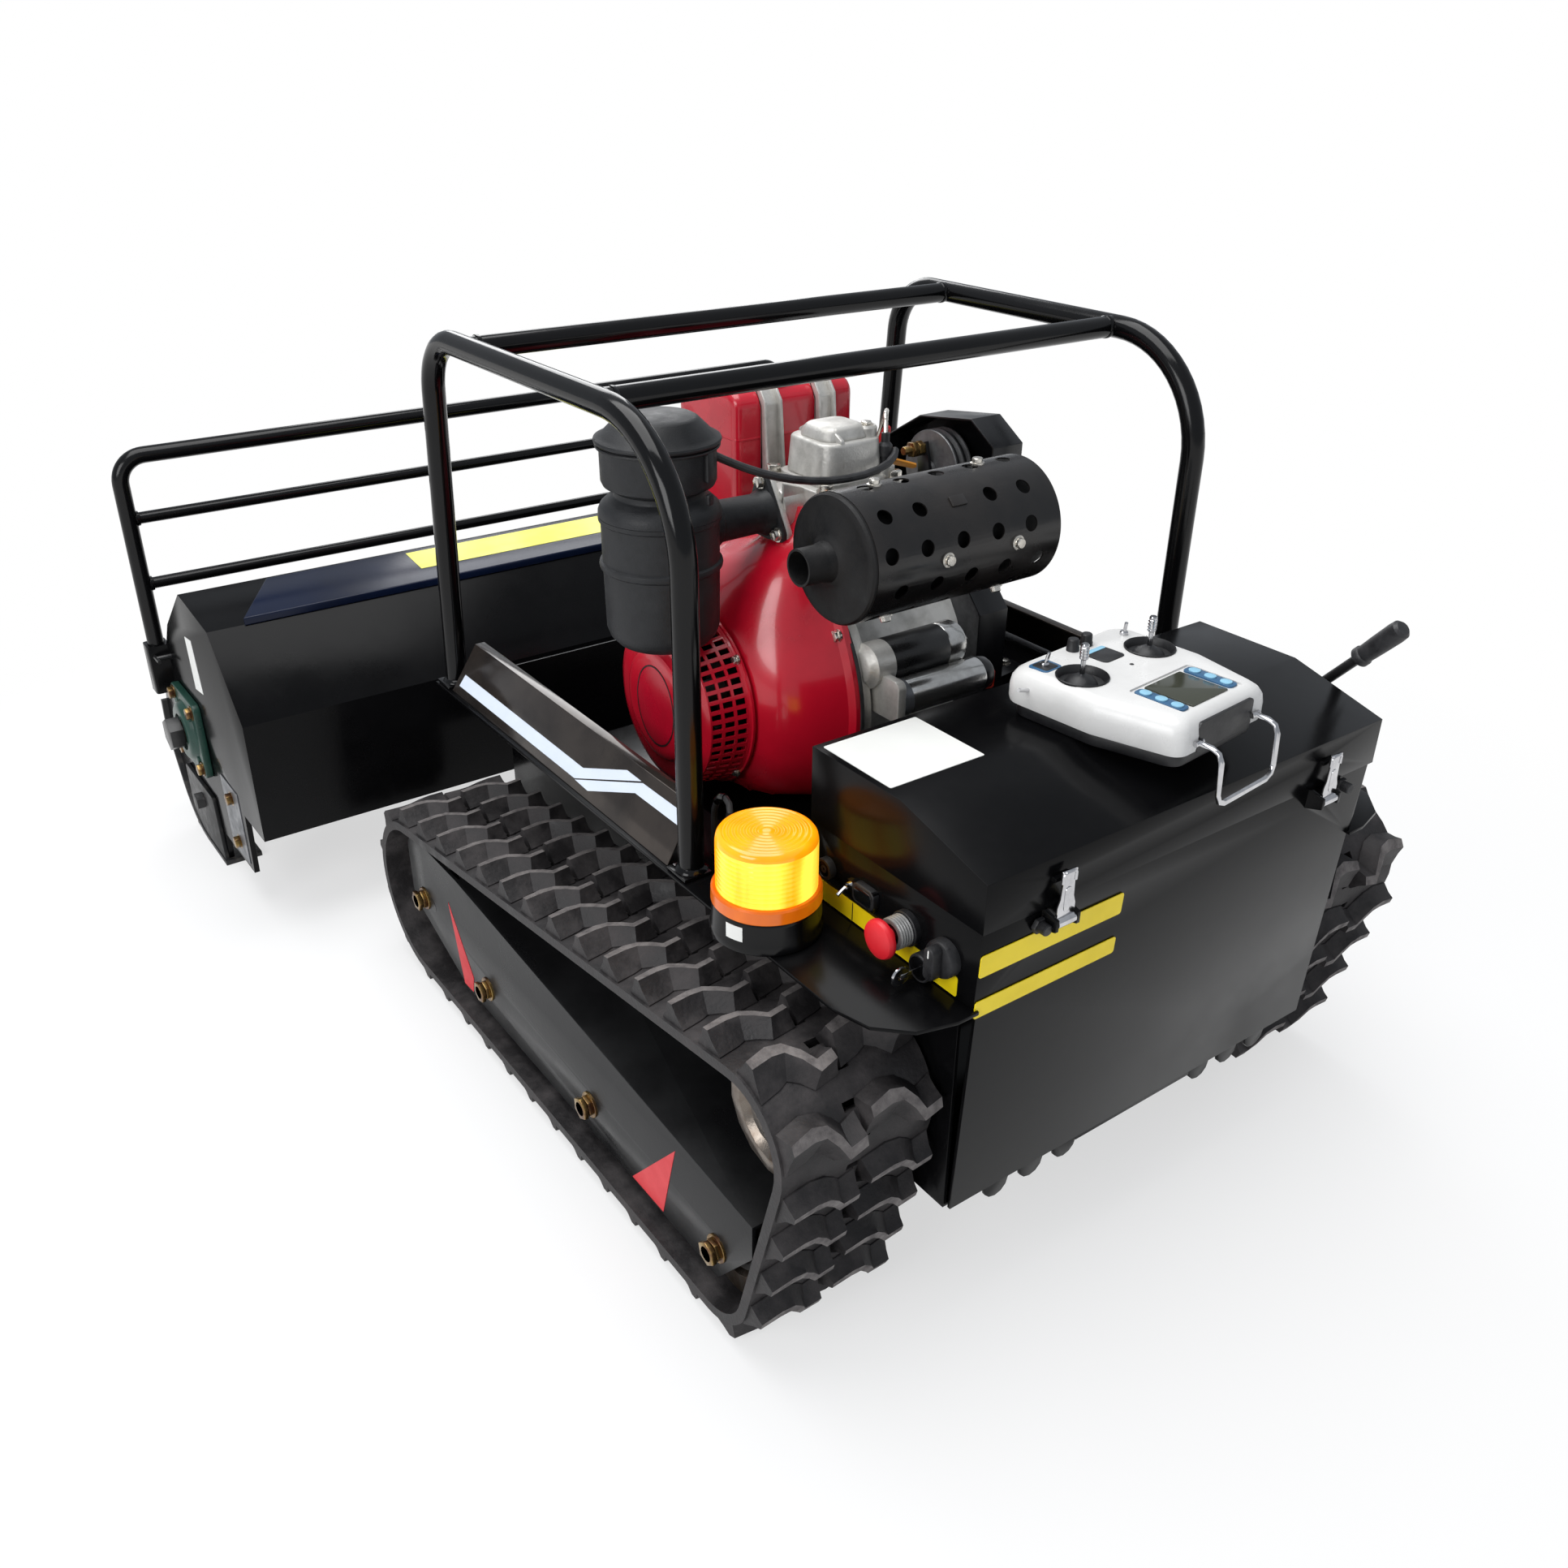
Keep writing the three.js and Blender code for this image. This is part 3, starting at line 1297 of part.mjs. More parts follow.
function fanShroud() {
  const shell = (shrink, left, right) => {
    const bowl = disc('x', crank_y, crank_z, shroud_radius - shrink, left, right, 14);
    const neck = prism('x', [
      [shroud_neck_rear_y + shrink, crank_z], [shroud_neck_rear_y + shrink, shroud_neck_top_z - shrink],
      [shroud_neck_front_y - shrink, shroud_neck_top_z - shrink], [shroud_neck_front_y - shrink, crank_z],
    ], left, right);
    const floor = shroud_foot_z + shrink;
    const away = block(left - cut_overrun, right + cut_overrun, crank_y - shroud_radius,
      crank_y + shroud_radius, floor - shroud_radius, floor);
    return cut(fuse(bowl, neck), away);
  };
  const room = shell(shroud_wall, -shroud_left_x + shroud_wall, -shroud_right_x + cut_overrun);
  const eye = disc('x', crank_y, crank_z, shroud_eye_radius, -shroud_left_x - cut_overrun, -shroud_right_x, 14);
  return cut(shell(0, -shroud_left_x, -shroud_right_x), room, eye);
}

function recoilCover() {
  const back = -shroud_left_x - seat_gap;
  const face = back - recoil_depth;
  const wall = recoil_wall;
  const radius = recoil_radius;
  const step = recoil_step;
  const cover = turned('x', [
    [0, face], [radius - 2 * step, face], [radius - step, face + step], [radius, face + step],
    [radius, back - wall], [radius + step, back - wall], [radius + step, back],
    [radius - wall, back], [radius - wall, face + step + wall], [radius - 2 * step, face + wall],
    [0, face + wall],
  ], 14).translate([0, crank_y, crank_z]);
  const slots = Array.from({ length: grille_slot_count }, (unused, i) => {
    const middle = (face + step + wall + back - wall) / 2;
    return block(middle - grille_slot_length, middle + grille_slot_length,
      radius - 2 * wall, radius + cut_overrun, -grille_slot_width / 2, grille_slot_width / 2)
      .rotate([(360 * (i + 0.5)) / grille_slot_count, 0, 0]).translate([0, crank_y, crank_z]);
  });
  return cut(cover, wasm.Manifold.union(slots));
}

function fuelTank() {
  const round = tank_corner_radius;
  const side = [
    [tank_rear_y, tank_bottom_z, round / 2], [tank_front_y, tank_bottom_z, round / 2],
    [tank_front_y, tank_top_z, round], [tank_rear_y, tank_top_z, round],
  ];
  const tank = prism('x', side, tank_left_x, tank_right_x);
  const room = prism('x', inset(side, tank_wall), tank_left_x + tank_wall, tank_right_x - tank_wall);
  const neck = disc('z', tank_cap_x, tank_cap_y, tank_neck_radius,
    tank_top_z - weld_overlap, tank_top_z + tank_neck_height, 12);
  const mouth = disc('z', tank_cap_x, tank_cap_y, tank_neck_radius - tank_wall,
    tank_top_z - 2 * tank_wall, tank_top_z + tank_neck_height + cut_overrun, 12);
  return cut(fuse(tank, neck), room, mouth);
}

function fuelCap() {
  const height = tank_cap_height;
  return turned('z', [
    [0, 0], [tank_cap_radius, 0], [tank_cap_radius, height * 0.7],
    [tank_cap_radius * 0.85, height], [0, height],
  ], 14);
}

function airFilterBowl() {
  const low = filter_bottom_z;
  const top = low + filter_bowl_height;
  const radius = filter_radius;
  const step = filter_step;
  return turned('z', [
    [0, low], [radius * 0.75, low], [radius - step, low + 3 * step], [radius - step, low + 9 * step],
    [radius, low + 9 * step], [radius, low + 11 * step], [radius - step, low + 11 * step],
    [radius - step, top - 2 * step], [radius, top - 2 * step], [radius, top], [0, top],
  ], 14).translate([-filter_x, filter_y, 0]);
}

function airFilterCap() {
  const low = filter_bottom_z + filter_bowl_height + seat_gap;
  const top = low + filter_cap_height;
  const radius = filter_radius;
  const step = filter_step;
  return turned('z', [
    [0, low], [radius, low], [radius, low + 2 * step], [radius - step, low + 2 * step],
    [radius - step, top - 6 * step], [radius, top - 6 * step], [radius, top - 4 * step],
    [radius * 0.9, top - 2 * step], [radius * 0.6, top], [0, top],
  ], 14).translate([-filter_x, filter_y, 0]);
}

function intakePipe() {
  const start = -filter_x + filter_radius / 2;
  const flange = -intake_flange_x;
  const pipe = disc('x', filter_y, intake_z, intake_radius, start, flange, 12);
  const plate = prism('x', [
    [filter_y - intake_flange_radius, intake_z - intake_radius, intake_radius / 2],
    [filter_y + intake_flange_radius, intake_z - intake_radius, intake_radius / 2],
    [filter_y, intake_z + intake_flange_radius, intake_radius / 2],
  ], flange - intake_flange_thickness, flange);
  const clear = disc('z', -filter_x, filter_y, filter_radius + seat_gap,
    intake_z - 2 * intake_radius, intake_z + 2 * intake_radius, 14);
  return cut(fuse(pipe, plate), clear);
}

function muffler() {
  const left = muffler_left_x;
  const right = muffler_right_x;
  const dish = muffler_radius / 5;
  const can = turned('x', [
    [0, left], [muffler_radius - dish, left], [muffler_radius, left + dish],
    [muffler_radius, right - dish], [muffler_radius - dish, right], [0, right],
  ], 14).translate([0, muffler_y, muffler_z]);
  const stub = disc('x', muffler_y, muffler_z, muffler_stub_radius,
    left - muffler_stub_length, left + weld_overlap, 10);
  const bore = disc('x', muffler_y, muffler_z, muffler_stub_radius - shield_thickness,
    left - muffler_stub_length - cut_overrun, left - weld_overlap, 10);
  const port = head_y - head_half_width - seat_gap;
  const pipe = disc('y', head_x, exhaust_z, exhaust_pipe_radius, muffler_y, port, 10);
  const flange = block(head_x - 2 * exhaust_pipe_radius, head_x + 2 * exhaust_pipe_radius,
    port - intake_flange_thickness, port, exhaust_z - exhaust_pipe_radius, exhaust_z + exhaust_pipe_radius * 0.9);
  return cut(fuse(can, stub, pipe, flange), bore);
}

function heatShield() {
  const left = muffler_left_x + shield_inset;
  const right = muffler_right_x - shield_inset;
  const points = [];
  const steps = 10;
  const start = shield_open_angle;
  const sweep = 2 * Math.PI - 2 * shield_open_angle;
  const at = (radius, k) => {
    const angle = start + (sweep * k) / steps;
    return [muffler_y + radius * Math.cos(angle), muffler_z + radius * Math.sin(angle)];
  };
  for (let k = 0; k <= steps; k += 1) points.push(at(shield_radius, k));
  for (let k = steps; k >= 0; k -= 1) points.push(at(shield_radius - shield_thickness, k));
  const shell = prism('x', points, left, right);
  const inner = muffler_radius - 2 * shield_boss;
  const posts = [-1, 1].flatMap((end) => [0.3, 0.7].map((share) => {
    const x = (left + right) / 2 + end * (right - left) * 0.42;
    const degrees = THREE.MathUtils.radToDeg(start + sweep * share);
    return block(x - shield_boss, x + shield_boss, inner, shield_radius - shield_thickness / 2,
      -shield_boss, shield_boss).rotate([degrees, 0, 0]).translate([0, muffler_y, muffler_z]);
  }));
  const can = turned('x', [
    [0, left], [muffler_radius + seat_gap, left], [muffler_radius + seat_gap, right], [0, right],
  ]).translate([0, muffler_y, muffler_z]);
  const standoffs = posts.map((post) => cut(post, can));
  const holes = [0.36, 0.62].flatMap((share) => Array.from({ length: shield_hole_count }, (unused, i) => {
    const x = left + ((right - left) * (i + 1)) / (shield_hole_count + 1);
    const degrees = THREE.MathUtils.radToDeg(start + sweep * share);
    return disc('y', x, 0, shield_hole_radius, shield_radius - 2 * shield_boss, shield_radius + cut_overrun, 6)
      .rotate([degrees, 0, 0]).translate([0, muffler_y, muffler_z]);
  }));
  return cut(fuse(shell, standoffs), holes);
}

function starterMotor() {
  const mid = (starter_left_x + starter_right_x) / 2;
  const motor = turned('x', [
    [0, starter_left_x], [starter_radius * 0.85, starter_left_x], [starter_radius, starter_left_x + starter_radius / 4],
    [starter_radius, starter_right_x], [0, starter_right_x],
  ], 14).translate([0, starter_y, starter_z]);
  const solenoid = disc('x', starter_y - solenoid_setback, starter_z - solenoid_drop,
    solenoid_radius, starter_left_x + starter_radius / 2, starter_right_x + solenoid_overhang, 12);
  const bracket = block(mid, starter_right_x - starter_radius / 2, starter_y,
    crank_y - crankcase_half_length - seat_gap, starter_z - starter_radius, starter_z - starter_radius * 0.2);
  return fuse(motor, solenoid, bracket);
}

const guard_side = [
  [guard_rear_y, guard_bottom_z], [guard_front_y - guard_step, guard_bottom_z], [guard_front_y, guard_mid_z],
  [guard_front_y, guard_brow_z], [guard_front_y - guard_fall, guard_top_z - guard_step],
  [guard_rear_y + guard_fall * 0.7, guard_top_z], [guard_rear_y, guard_top_z - 2 * guard_step],
];

function beltGuard() {
  const outer = prism('x', guard_side, guard_left_x, guard_right_x);
  const wall = guard_plate;
  const room = prism('x', inset(guard_side, wall), guard_left_x - cut_overrun, guard_right_x - wall);
  const web = prism('x', inset(guard_side, wall / 2), guard_left_x, guard_left_x + wall);
  const eye = disc('x', crank_y, crank_z, pulley_radius + guard_step, guard_left_x - cut_overrun,
    guard_left_x + wall + cut_overrun, 14);
  const upperEye = prism('x', [
    [guard_rear_y + guard_step, guard_mid_z + guard_step], [guard_front_y - guard_step, guard_mid_z + guard_step],
    [guard_front_y - guard_step, guard_brow_z], [guard_rear_y + guard_step, guard_brow_z],
  ], guard_left_x - cut_overrun, guard_left_x + wall + cut_overrun);
  return fuse(cut(outer, room), cut(web, eye, upperEye));
}

function decompressionLever() {
  const arm = block(-lever_plate / 2, lever_plate / 2, -decomp_length, lever_boss_radius,
    -lever_plate, lever_plate);
  const boss = disc('x', 0, 0, lever_boss_radius, -lever_plate, lever_plate, 8);
  const knob = disc('x', -decomp_length, 0, lever_boss_radius * 0.9, -lever_plate, lever_plate, 8);
  return fuse(arm, boss, knob).rotate([THREE.MathUtils.radToDeg(decomp_angle), 0, 0]);
}

function clutchLever() {
  const rod = disc('z', 0, 0, clutch_rod_radius, 0, clutch_rod_length + weld_overlap, 8);
  const grip = disc('z', 0, 0, clutch_grip_radius, clutch_rod_length,
    clutch_rod_length + clutch_grip_length, 10);
  const boss = disc('x', 0, 0, clutch_boss_radius, -clutch_boss_half_width, clutch_boss_half_width, 10);
  const bore = disc('x', 0, 0, clutch_pin_radius + running_gap, -2 * clutch_boss_half_width,
    2 * clutch_boss_half_width, 8);
  const degrees = THREE.MathUtils.radToDeg(clutch_lean_angle);
  return cut(fuse(fuse(rod, grip).rotate([degrees, 0, 0]), boss), bore);
}

// Flail deck
const deck_side = [
  [deck_rear_y, deck_rear_bottom_z], [deck_rear_y, deck_rear_top_z], [deck_slope_y, deck_slope_z],
  [deck_nose_y, deck_top_z], [deck_brow_y, deck_brow_z], [deck_front_y, deck_lip_z],
];
const shoe_path = [
  [shoe_rear_y, 0], [shoe_toe_y, 0, shoe_bend_radius], [shoe_front_y, shoe_toe_z, shoe_bend_radius / 2],
  [shoe_front_y - shoe_thickness, shoe_top_z],
];
const shoe_inner = [
  [shoe_front_y - 2 * shoe_thickness, shoe_top_z],
  [shoe_front_y - shoe_thickness, shoe_toe_z, shoe_bend_radius / 2],
  [shoe_toe_y - shoe_thickness / 3, shoe_thickness, shoe_bend_radius], [shoe_rear_y, shoe_thickness],
];

function deckShell() {
  const half = deck_half_width;
  const inner = half - deck_end_plate;
  const skin = [...deck_side, [deck_front_y, deck_rear_bottom_z]];
  const outer = prism('x', skin, -half, half);
  const room = prism('x', inset(skin, deck_sheet), -inner, inner);
  const mouth = block(-inner, inner, deck_rear_y + deck_sheet, deck_front_y - deck_sheet,
    deck_rear_bottom_z - cut_overrun, deck_rear_bottom_z + deck_sheet + cut_overrun);
  const front = block(-inner, inner, deck_front_y - 2 * deck_sheet, deck_front_y + cut_overrun,
    deck_rear_bottom_z - cut_overrun, deck_lip_z - deck_sheet);
  const end = [
    ...deck_side, [shoe_front_y - 2 * shoe_thickness, shoe_top_z + shoe_thickness],
    [shoe_front_y, shoe_toe_z], [shoe_toe_y, shoe_thickness], [shoe_rear_y + shoe_thickness, shoe_thickness],
    [shoe_rear_y, deck_bottom_z], [deck_slope_y, deck_bottom_z], [deck_slope_y - shoe_thickness, deck_rear_bottom_z],
  ];
  const grown = prism('x', [
    [shoe_rear_y - seat_gap, -cut_overrun], [shoe_front_y + seat_gap, -cut_overrun],
    [shoe_front_y + cut_overrun, shoe_top_z + seat_gap],
    [shoe_front_y - 2 * shoe_thickness - seat_gap, shoe_top_z + seat_gap],
    [shoe_front_y - shoe_thickness - seat_gap, shoe_toe_z, shoe_bend_radius / 2],
    [shoe_toe_y - shoe_thickness / 3 - seat_gap, shoe_thickness + seat_gap, shoe_bend_radius],
    [shoe_rear_y - seat_gap, shoe_thickness + seat_gap],
  ], -half - cut_overrun, half + cut_overrun);
  const plates = [-1, 1].map((side) => prism('x', end, side * inner, side * half));
  const bores = [-1, 1].map((side) => disc('x', rotor_y, rotor_z, rotor_shaft_radius + deck_sheet,
    side * (inner - cut_overrun), side * (half + cut_overrun), 14));
  const socketHalf = rack_socket_size / 2;
  const sockets = [-1, 1].map((side) => prism('z', [
    [side * (rack_half_width - socketHalf), rack_foot_y - socketHalf],
    [side * (rack_half_width + socketHalf), rack_foot_y - socketHalf, deck_sheet],
    [side * (rack_half_width + socketHalf), rack_foot_y + socketHalf, deck_sheet],
    [side * (rack_half_width - socketHalf), rack_foot_y + socketHalf],
  ], rack_foot_z - rack_socket_height / 2, rack_foot_z + rack_socket_height / 2, 2));
  const wells = [-1, 1].map((side) => disc('z', side * rack_half_width, rack_foot_y,
    rack_tube_radius + running_gap, rack_foot_z, rack_foot_z + rack_socket_height, 16));
  const flapHinge = [-1, 1].map((side) => disc('x', deck_front_y + flap_pin_radius, deck_lip_z,
    flap_pin_radius, side * flap_half_width, side * half, 8));
  const hollow = cut(outer, room, mouth, front);
  return cut(fuse(hollow, plates, sockets, flapHinge), grown, bores, wells);
}

function frontFlap() {
  const half = flap_half_width - running_gap;
  const plate = block(-half, half, -flap_thickness / 2, flap_thickness / 2, -flap_length, 0);
  const roll = disc('x', 0, 0, flap_pin_radius, -half, half, 8);
  return fuse(plate, roll);
}

function skidShoe() {
  const outside = -(deck_half_width + seat_gap + shoe_plate);
  const strip = prism('x', [...shoe_path, ...shoe_inner], outside - shoe_lip, outside - shoe_lip + shoe_width, 6);
  const plate = prism('x', [
    [shoe_rear_y + shoe_thickness, weld_overlap], [shoe_toe_y - shoe_thickness, weld_overlap],
    [shoe_toe_y - shoe_thickness, shoe_plate_top_z, shoe_thickness],
    [shoe_rear_y + 2 * shoe_thickness, shoe_plate_top_z, shoe_thickness],
  ], outside, outside + shoe_plate);
  const bolt = disc('x', (shoe_rear_y + shoe_toe_y) / 2, shoe_plate_top_z * 0.7, bolt_nut_radius,
    outside - bolt_nut_thickness, outside + weld_overlap, 6);
  return fuse(strip, plate, bolt);
}

function rotorBearing() {
  const face = deck_half_width + seat_gap;
  const half = bearing_size;
  const flange = prism('x', [
    [rotor_y - half, rotor_z - half, half / 4], [rotor_y + half, rotor_z - half, half / 4],
    [rotor_y + half, rotor_z + half, half / 4], [rotor_y - half, rotor_z + half, half / 4],
  ], face, face + bearing_flange, 2);
  const housing = turned('x', [
    [0, face + weld_overlap], [half * 0.8, face + weld_overlap], [half * 0.68, face + bearing_depth],
    [0, face + bearing_depth],
  ], 14).translate([0, rotor_y, rotor_z]);
  const bolts = [-1, 1].flatMap((u) => [-1, 1].map((v) => disc('x', rotor_y + u * half * 0.76,
    rotor_z + v * half * 0.76, bearing_bolt_radius, face + bearing_flange - weld_overlap,
    face + bearing_flange + bearing_bolt_radius, 6)));
  const bore = disc('x', rotor_y, rotor_z, rotor_shaft_radius + running_gap,
    face - cut_overrun, face + bearing_depth + cut_overrun, 12);
  return cut(fuse(flange, housing, bolts), bore);
}

function flailRotor() {
  const half = deck_half_width - deck_end_plate - rotor_end_gap;
  const tubeBody = disc('x', 0, 0, rotor_tube_radius, -half, half, 14);
  const outside = deck_half_width + seat_gap + bearing_depth + running_gap;
  const shaft = disc('x', 0, 0, rotor_shaft_radius, -outside - weld_overlap, outside + weld_overlap, 12);
  const nuts = [-1, 1].map((side) =>
    disc('x', 0, 0, bearing_nut_radius, side * outside, side * (outside + bearing_nut_depth), 6));
  const flails = Array.from({ length: flail_count }, (unused, i) => {
    const x = -half + ((i + 0.5) * 2 * half) / flail_count;
    const blade = prism('x', [
      [-flail_thickness / 2, rotor_tube_radius - 2 * flail_thickness],
      [flail_thickness / 2, rotor_tube_radius - 2 * flail_thickness],
      [flail_thickness / 2, rotor_tube_radius + flail_reach - flail_thickness],
      [-flail_thickness, rotor_tube_radius + flail_reach],
    ], x - flail_width / 2, x + flail_width / 2);
    return blade.rotate([(flail_turn_share * 360 * i) % 360, 0, 0]);
  });
  return fuse(tubeBody, shaft, nuts, wasm.Manifold.union(flails));
}

// Deck lift
function liftFrame() {
  const halfArm = lift_arm_width / 2;
  const round = lift_arm_height / 2;
  const mountY = deck_rear_y - seat_gap;
  const arms = [-1, 1].map((side) => prism('x', [
    [lift_pivot_y - round, lift_pivot_z - round, round * 0.99],
    [mountY - weld_overlap, lift_pivot_z - round], [mountY - weld_overlap, lift_pivot_z + round],
    [lift_pivot_y - round, lift_pivot_z + round, round * 0.99],
  ], side * lift_arm_x - halfArm, side * lift_arm_x + halfArm, 4));
  const plate = block(-lift_arm_x - lift_arm_width, lift_arm_x + lift_arm_width,
    mountY - deck_end_plate, mountY, lift_pivot_z - lift_arm_height, lift_pivot_z + lift_arm_height);
  const cross = disc('x', lift_cross_y, lift_pivot_z, lift_cross_radius, -lift_arm_x, lift_arm_x, 10);
  const inside = ram_foot_half_width + running_gap;
  const ears = [-1, 1].map((side) => prism('x', [
    [lift_cross_y - lift_cross_radius / 2, lift_pivot_z],
    [lift_cross_y + lift_cross_radius / 2, lift_pivot_z],
    [lift_cross_y + lift_cross_radius / 2, ram_eye_z + ram_eye_radius],
    [ram_eye_y - ram_eye_radius, ram_eye_z + ram_eye_radius, ram_eye_radius * 0.8],
    [ram_eye_y - ram_eye_radius, ram_eye_z - ram_eye_radius / 2, ram_eye_radius / 2],
  ], side * inside, side * (inside + deck_end_plate)));
  const pin = disc('x', ram_eye_y, ram_eye_z, ram_pin_radius, -inside - deck_end_plate, inside + deck_end_plate, 8);
  const bores = [-1, 1].map((side) => disc('x', lift_pivot_y, lift_pivot_z, lift_pin_radius + running_gap,
    side * lift_arm_x - lift_arm_width, side * lift_arm_x + lift_arm_width, 12));
  return cut(fuse(arms, plate, cross, ears, pin), bores);
}

const ram_run = Math.hypot(ram_eye_y - lift_pivot_y, ram_eye_z - ram_foot_z);
const ram_angle = Math.atan2(ram_eye_z - ram_foot_z, ram_eye_y - lift_pivot_y);

function liftRam() {
  const body = fuse(
    disc('y', 0, 0, ram_radius, ram_neck_length, ram_body_length, 12),
    disc('y', 0, 0, ram_foot_half_width, ram_eye_radius / 2, ram_neck_length + weld_overlap, 12),
  );
  const boss = disc('x', 0, 0, ram_eye_radius, -ram_foot_half_width, ram_foot_half_width, 10);
  const bore = disc('y', 0, 0, rod_radius + running_gap, ram_eye_radius + deck_sheet, ram_body_length + cut_overrun, 10);
  const eye = disc('x', 0, 0, ram_pin_radius + running_gap, -2 * ram_foot_half_width, 2 * ram_foot_half_width, 8);
  return cut(fuse(body, boss), bore, eye).rotate([THREE.MathUtils.radToDeg(ram_angle), 0, 0]);
}

function liftRod() {
  const rod = disc('y', 0, 0, rod_radius, ram_run - rod_length, ram_run, 8);
  const boss = disc('x', ram_run, 0, ram_eye_radius, -ram_foot_half_width, ram_foot_half_width, 10);
  const eye = disc('x', ram_run, 0, ram_pin_radius + ram_eye_slack, -2 * ram_foot_half_width,
    2 * ram_foot_half_width, 8);
  return cut(fuse(rod, boss), eye).rotate([THREE.MathUtils.radToDeg(ram_angle), 0, 0]);
}

function guardRack() {
  const foot = rack_foot_z + seat_gap;
  const half = rack_half_width;
  const hoop = tube([
    vec(-half, rack_foot_y, foot), vec(-half, rack_foot_y, rack_top_z),
    vec(half, rack_foot_y, rack_top_z), vec(half, rack_foot_y, foot),
  ], rack_bend, rack_tube_radius, 8, 3);
  const bars = rack_bar_shares.map((share) => disc('x', rack_foot_y,
    rack_foot_z + (rack_top_z - rack_foot_z) * share, rack_bar_radius, -half, half, 8));
  return fuse(hoop, bars);
}

// Transmitter
function remoteCase() {
  const half = remote_width / 2;
  const long = remote_depth / 2;
  const neck = half * 0.78;
  const round = half / 5;
  const low = 0;
  const top = remote_height;
  const shape = (shrink) => [
    [-neck + shrink, -long + shrink, round], [neck - shrink, -long + shrink, round],
    [half - shrink, -long * 0.1, round], [half - shrink, long - shrink, round],
    [-half + shrink, long - shrink, round], [-half + shrink, -long * 0.1, round],
  ];
  const body = fuse(
    prism('z', shape(0), low + remote_step, top - remote_step),
    prism('z', shape(remote_step), low, top),
  );
  const pockets = [-1, 1].map((side) => disc('z', side * remote_gimbal_x, remote_gimbal_y,
    remote_gimbal_radius, top - remote_gimbal_depth, top + cut_overrun, 14));
  const screen = block(-half * 0.55, half * 0.55, -long * 0.86, -long * 0.18,
    top - remote_screen_depth, top + cut_overrun);
  const aerial = disc('y', 0, top / 2, remote_aerial_radius, long - round, long + remote_aerial_length, 8);
  return fuse(cut(body, pockets, screen), aerial);
}

function remoteStick() {
  const ball = remote_gimbal_depth - seat_gap;
  const dome = [-90, -65, -40, -18].map((degrees) => {
    const angle = THREE.MathUtils.degToRad(degrees);
    return [ball * Math.cos(angle), ball * Math.sin(angle)];
  });
  return turned('z', [
    ...dome, [stick_radius * 1.5, stick_radius / 2], [stick_radius, stick_radius],
    [stick_radius, stick_height - stick_radius * 3],
    [stick_radius * 1.7, stick_height - stick_radius * 2], [stick_radius * 1.7, stick_height], [0, stick_height],
  ], 12);
}

function remoteBail() {
  const half = bail_half_width;
  const loop = tube([
    vec(-half, 0, 0), vec(-half, -bail_reach, 0),
    vec(-half, -bail_reach - bail_rod_radius, -bail_drop), vec(half, -bail_reach - bail_rod_radius, -bail_drop),
    vec(half, -bail_reach, 0), vec(half, 0, 0),
  ], 4 * bail_rod_radius, bail_rod_radius, 6, 2);
  const eyes = [-1, 1].map((side) => disc('x', 0, 0, bail_rod_radius,
    side * half - 2 * bail_rod_radius, side * half + 2 * bail_rod_radius, 12));
  return fuse(loop, eyes);
}

// Assembly
mower.add(piece('chassis_tub', chassisTub(), black_satin));
const fairing = sideFairing();
mower.add(piece('side_fairing_left', mirrored(fairing), polished_black));
mower.add(piece('side_fairing_right', fairing, polished_black));
mower.add(piece('roll_cage', rollCage(), black_gloss));
mower.add(piece('control_box', rearBody(), black_gloss));
mower.add(piece('control_box_lid', bodyLid(), black_gloss));
mower.add(piece('latch_left', latch(), black_satin, [-latch_x, latch_y, latch_pivot_z]));
mower.add(piece('latch_right', latch(), black_satin, [latch_x, latch_y, latch_pivot_z]));
mower.add(piece('estop_button', estopButton(), control_red, [-hull_half_width, estop_y, estop_z]));
mower.add(piece('start_knob', startKnob(), black_satin, [-hull_half_width, knob_y, knob_z]));
mower.add(piece('ignition_key', ignitionKey(), bare_steel, [-hull_half_width - key_barrel_length, key_y, key_z]));
mower.add(piece('beacon_base', beaconBase(), filter_plastic));
mower.add(piece('beacon_lens', beaconLens(), amber_lens, [-beacon_x, beacon_y, 0]));

mower.add(piece('crankcase', crankcase(), cast_aluminium));
mower.add(piece('cylinder_head', cylinderHead(), cast_aluminium));
mower.add(piece('crankshaft', crankshaft(), bare_steel, [0, crank_y, crank_z]));
mower.add(piece('cooling_fan', coolingFan(), black_satin, [-fan_x, crank_y, crank_z]));
mower.add(piece('fan_shroud', fanShroud(), engine_red));
mower.add(piece('recoil_cover', recoilCover(), black_satin));
mower.add(piece('fuel_tank', fuelTank(), engine_red));
mower.add(piece('fuel_cap', fuelCap(), black_satin,
  [tank_cap_x, tank_cap_y, tank_top_z + tank_neck_height + seat_gap]));
mower.add(piece('air_filter_bowl', airFilterBowl(), filter_plastic));
mower.add(piece('air_filter_cap', airFilterCap(), filter_plastic));
mower.add(piece('intake_pipe', intakePipe(), black_satin));
mower.add(piece('muffler', muffler(), black_satin));
mower.add(piece('heat_shield', heatShield(), black_satin));
mower.add(piece('starter_motor', starterMotor(), black_satin));
mower.add(piece('belt_guard', beltGuard(), black_satin));
mower.add(piece('decompression_lever', decompressionLever(), control_red,
  [head_x + head_half_width + lever_plate + seat_gap, decomp_y, decomp_z]));
mower.add(piece('clutch_lever', clutchLever(), black_satin, [clutch_x, clutch_y, clutch_z]));

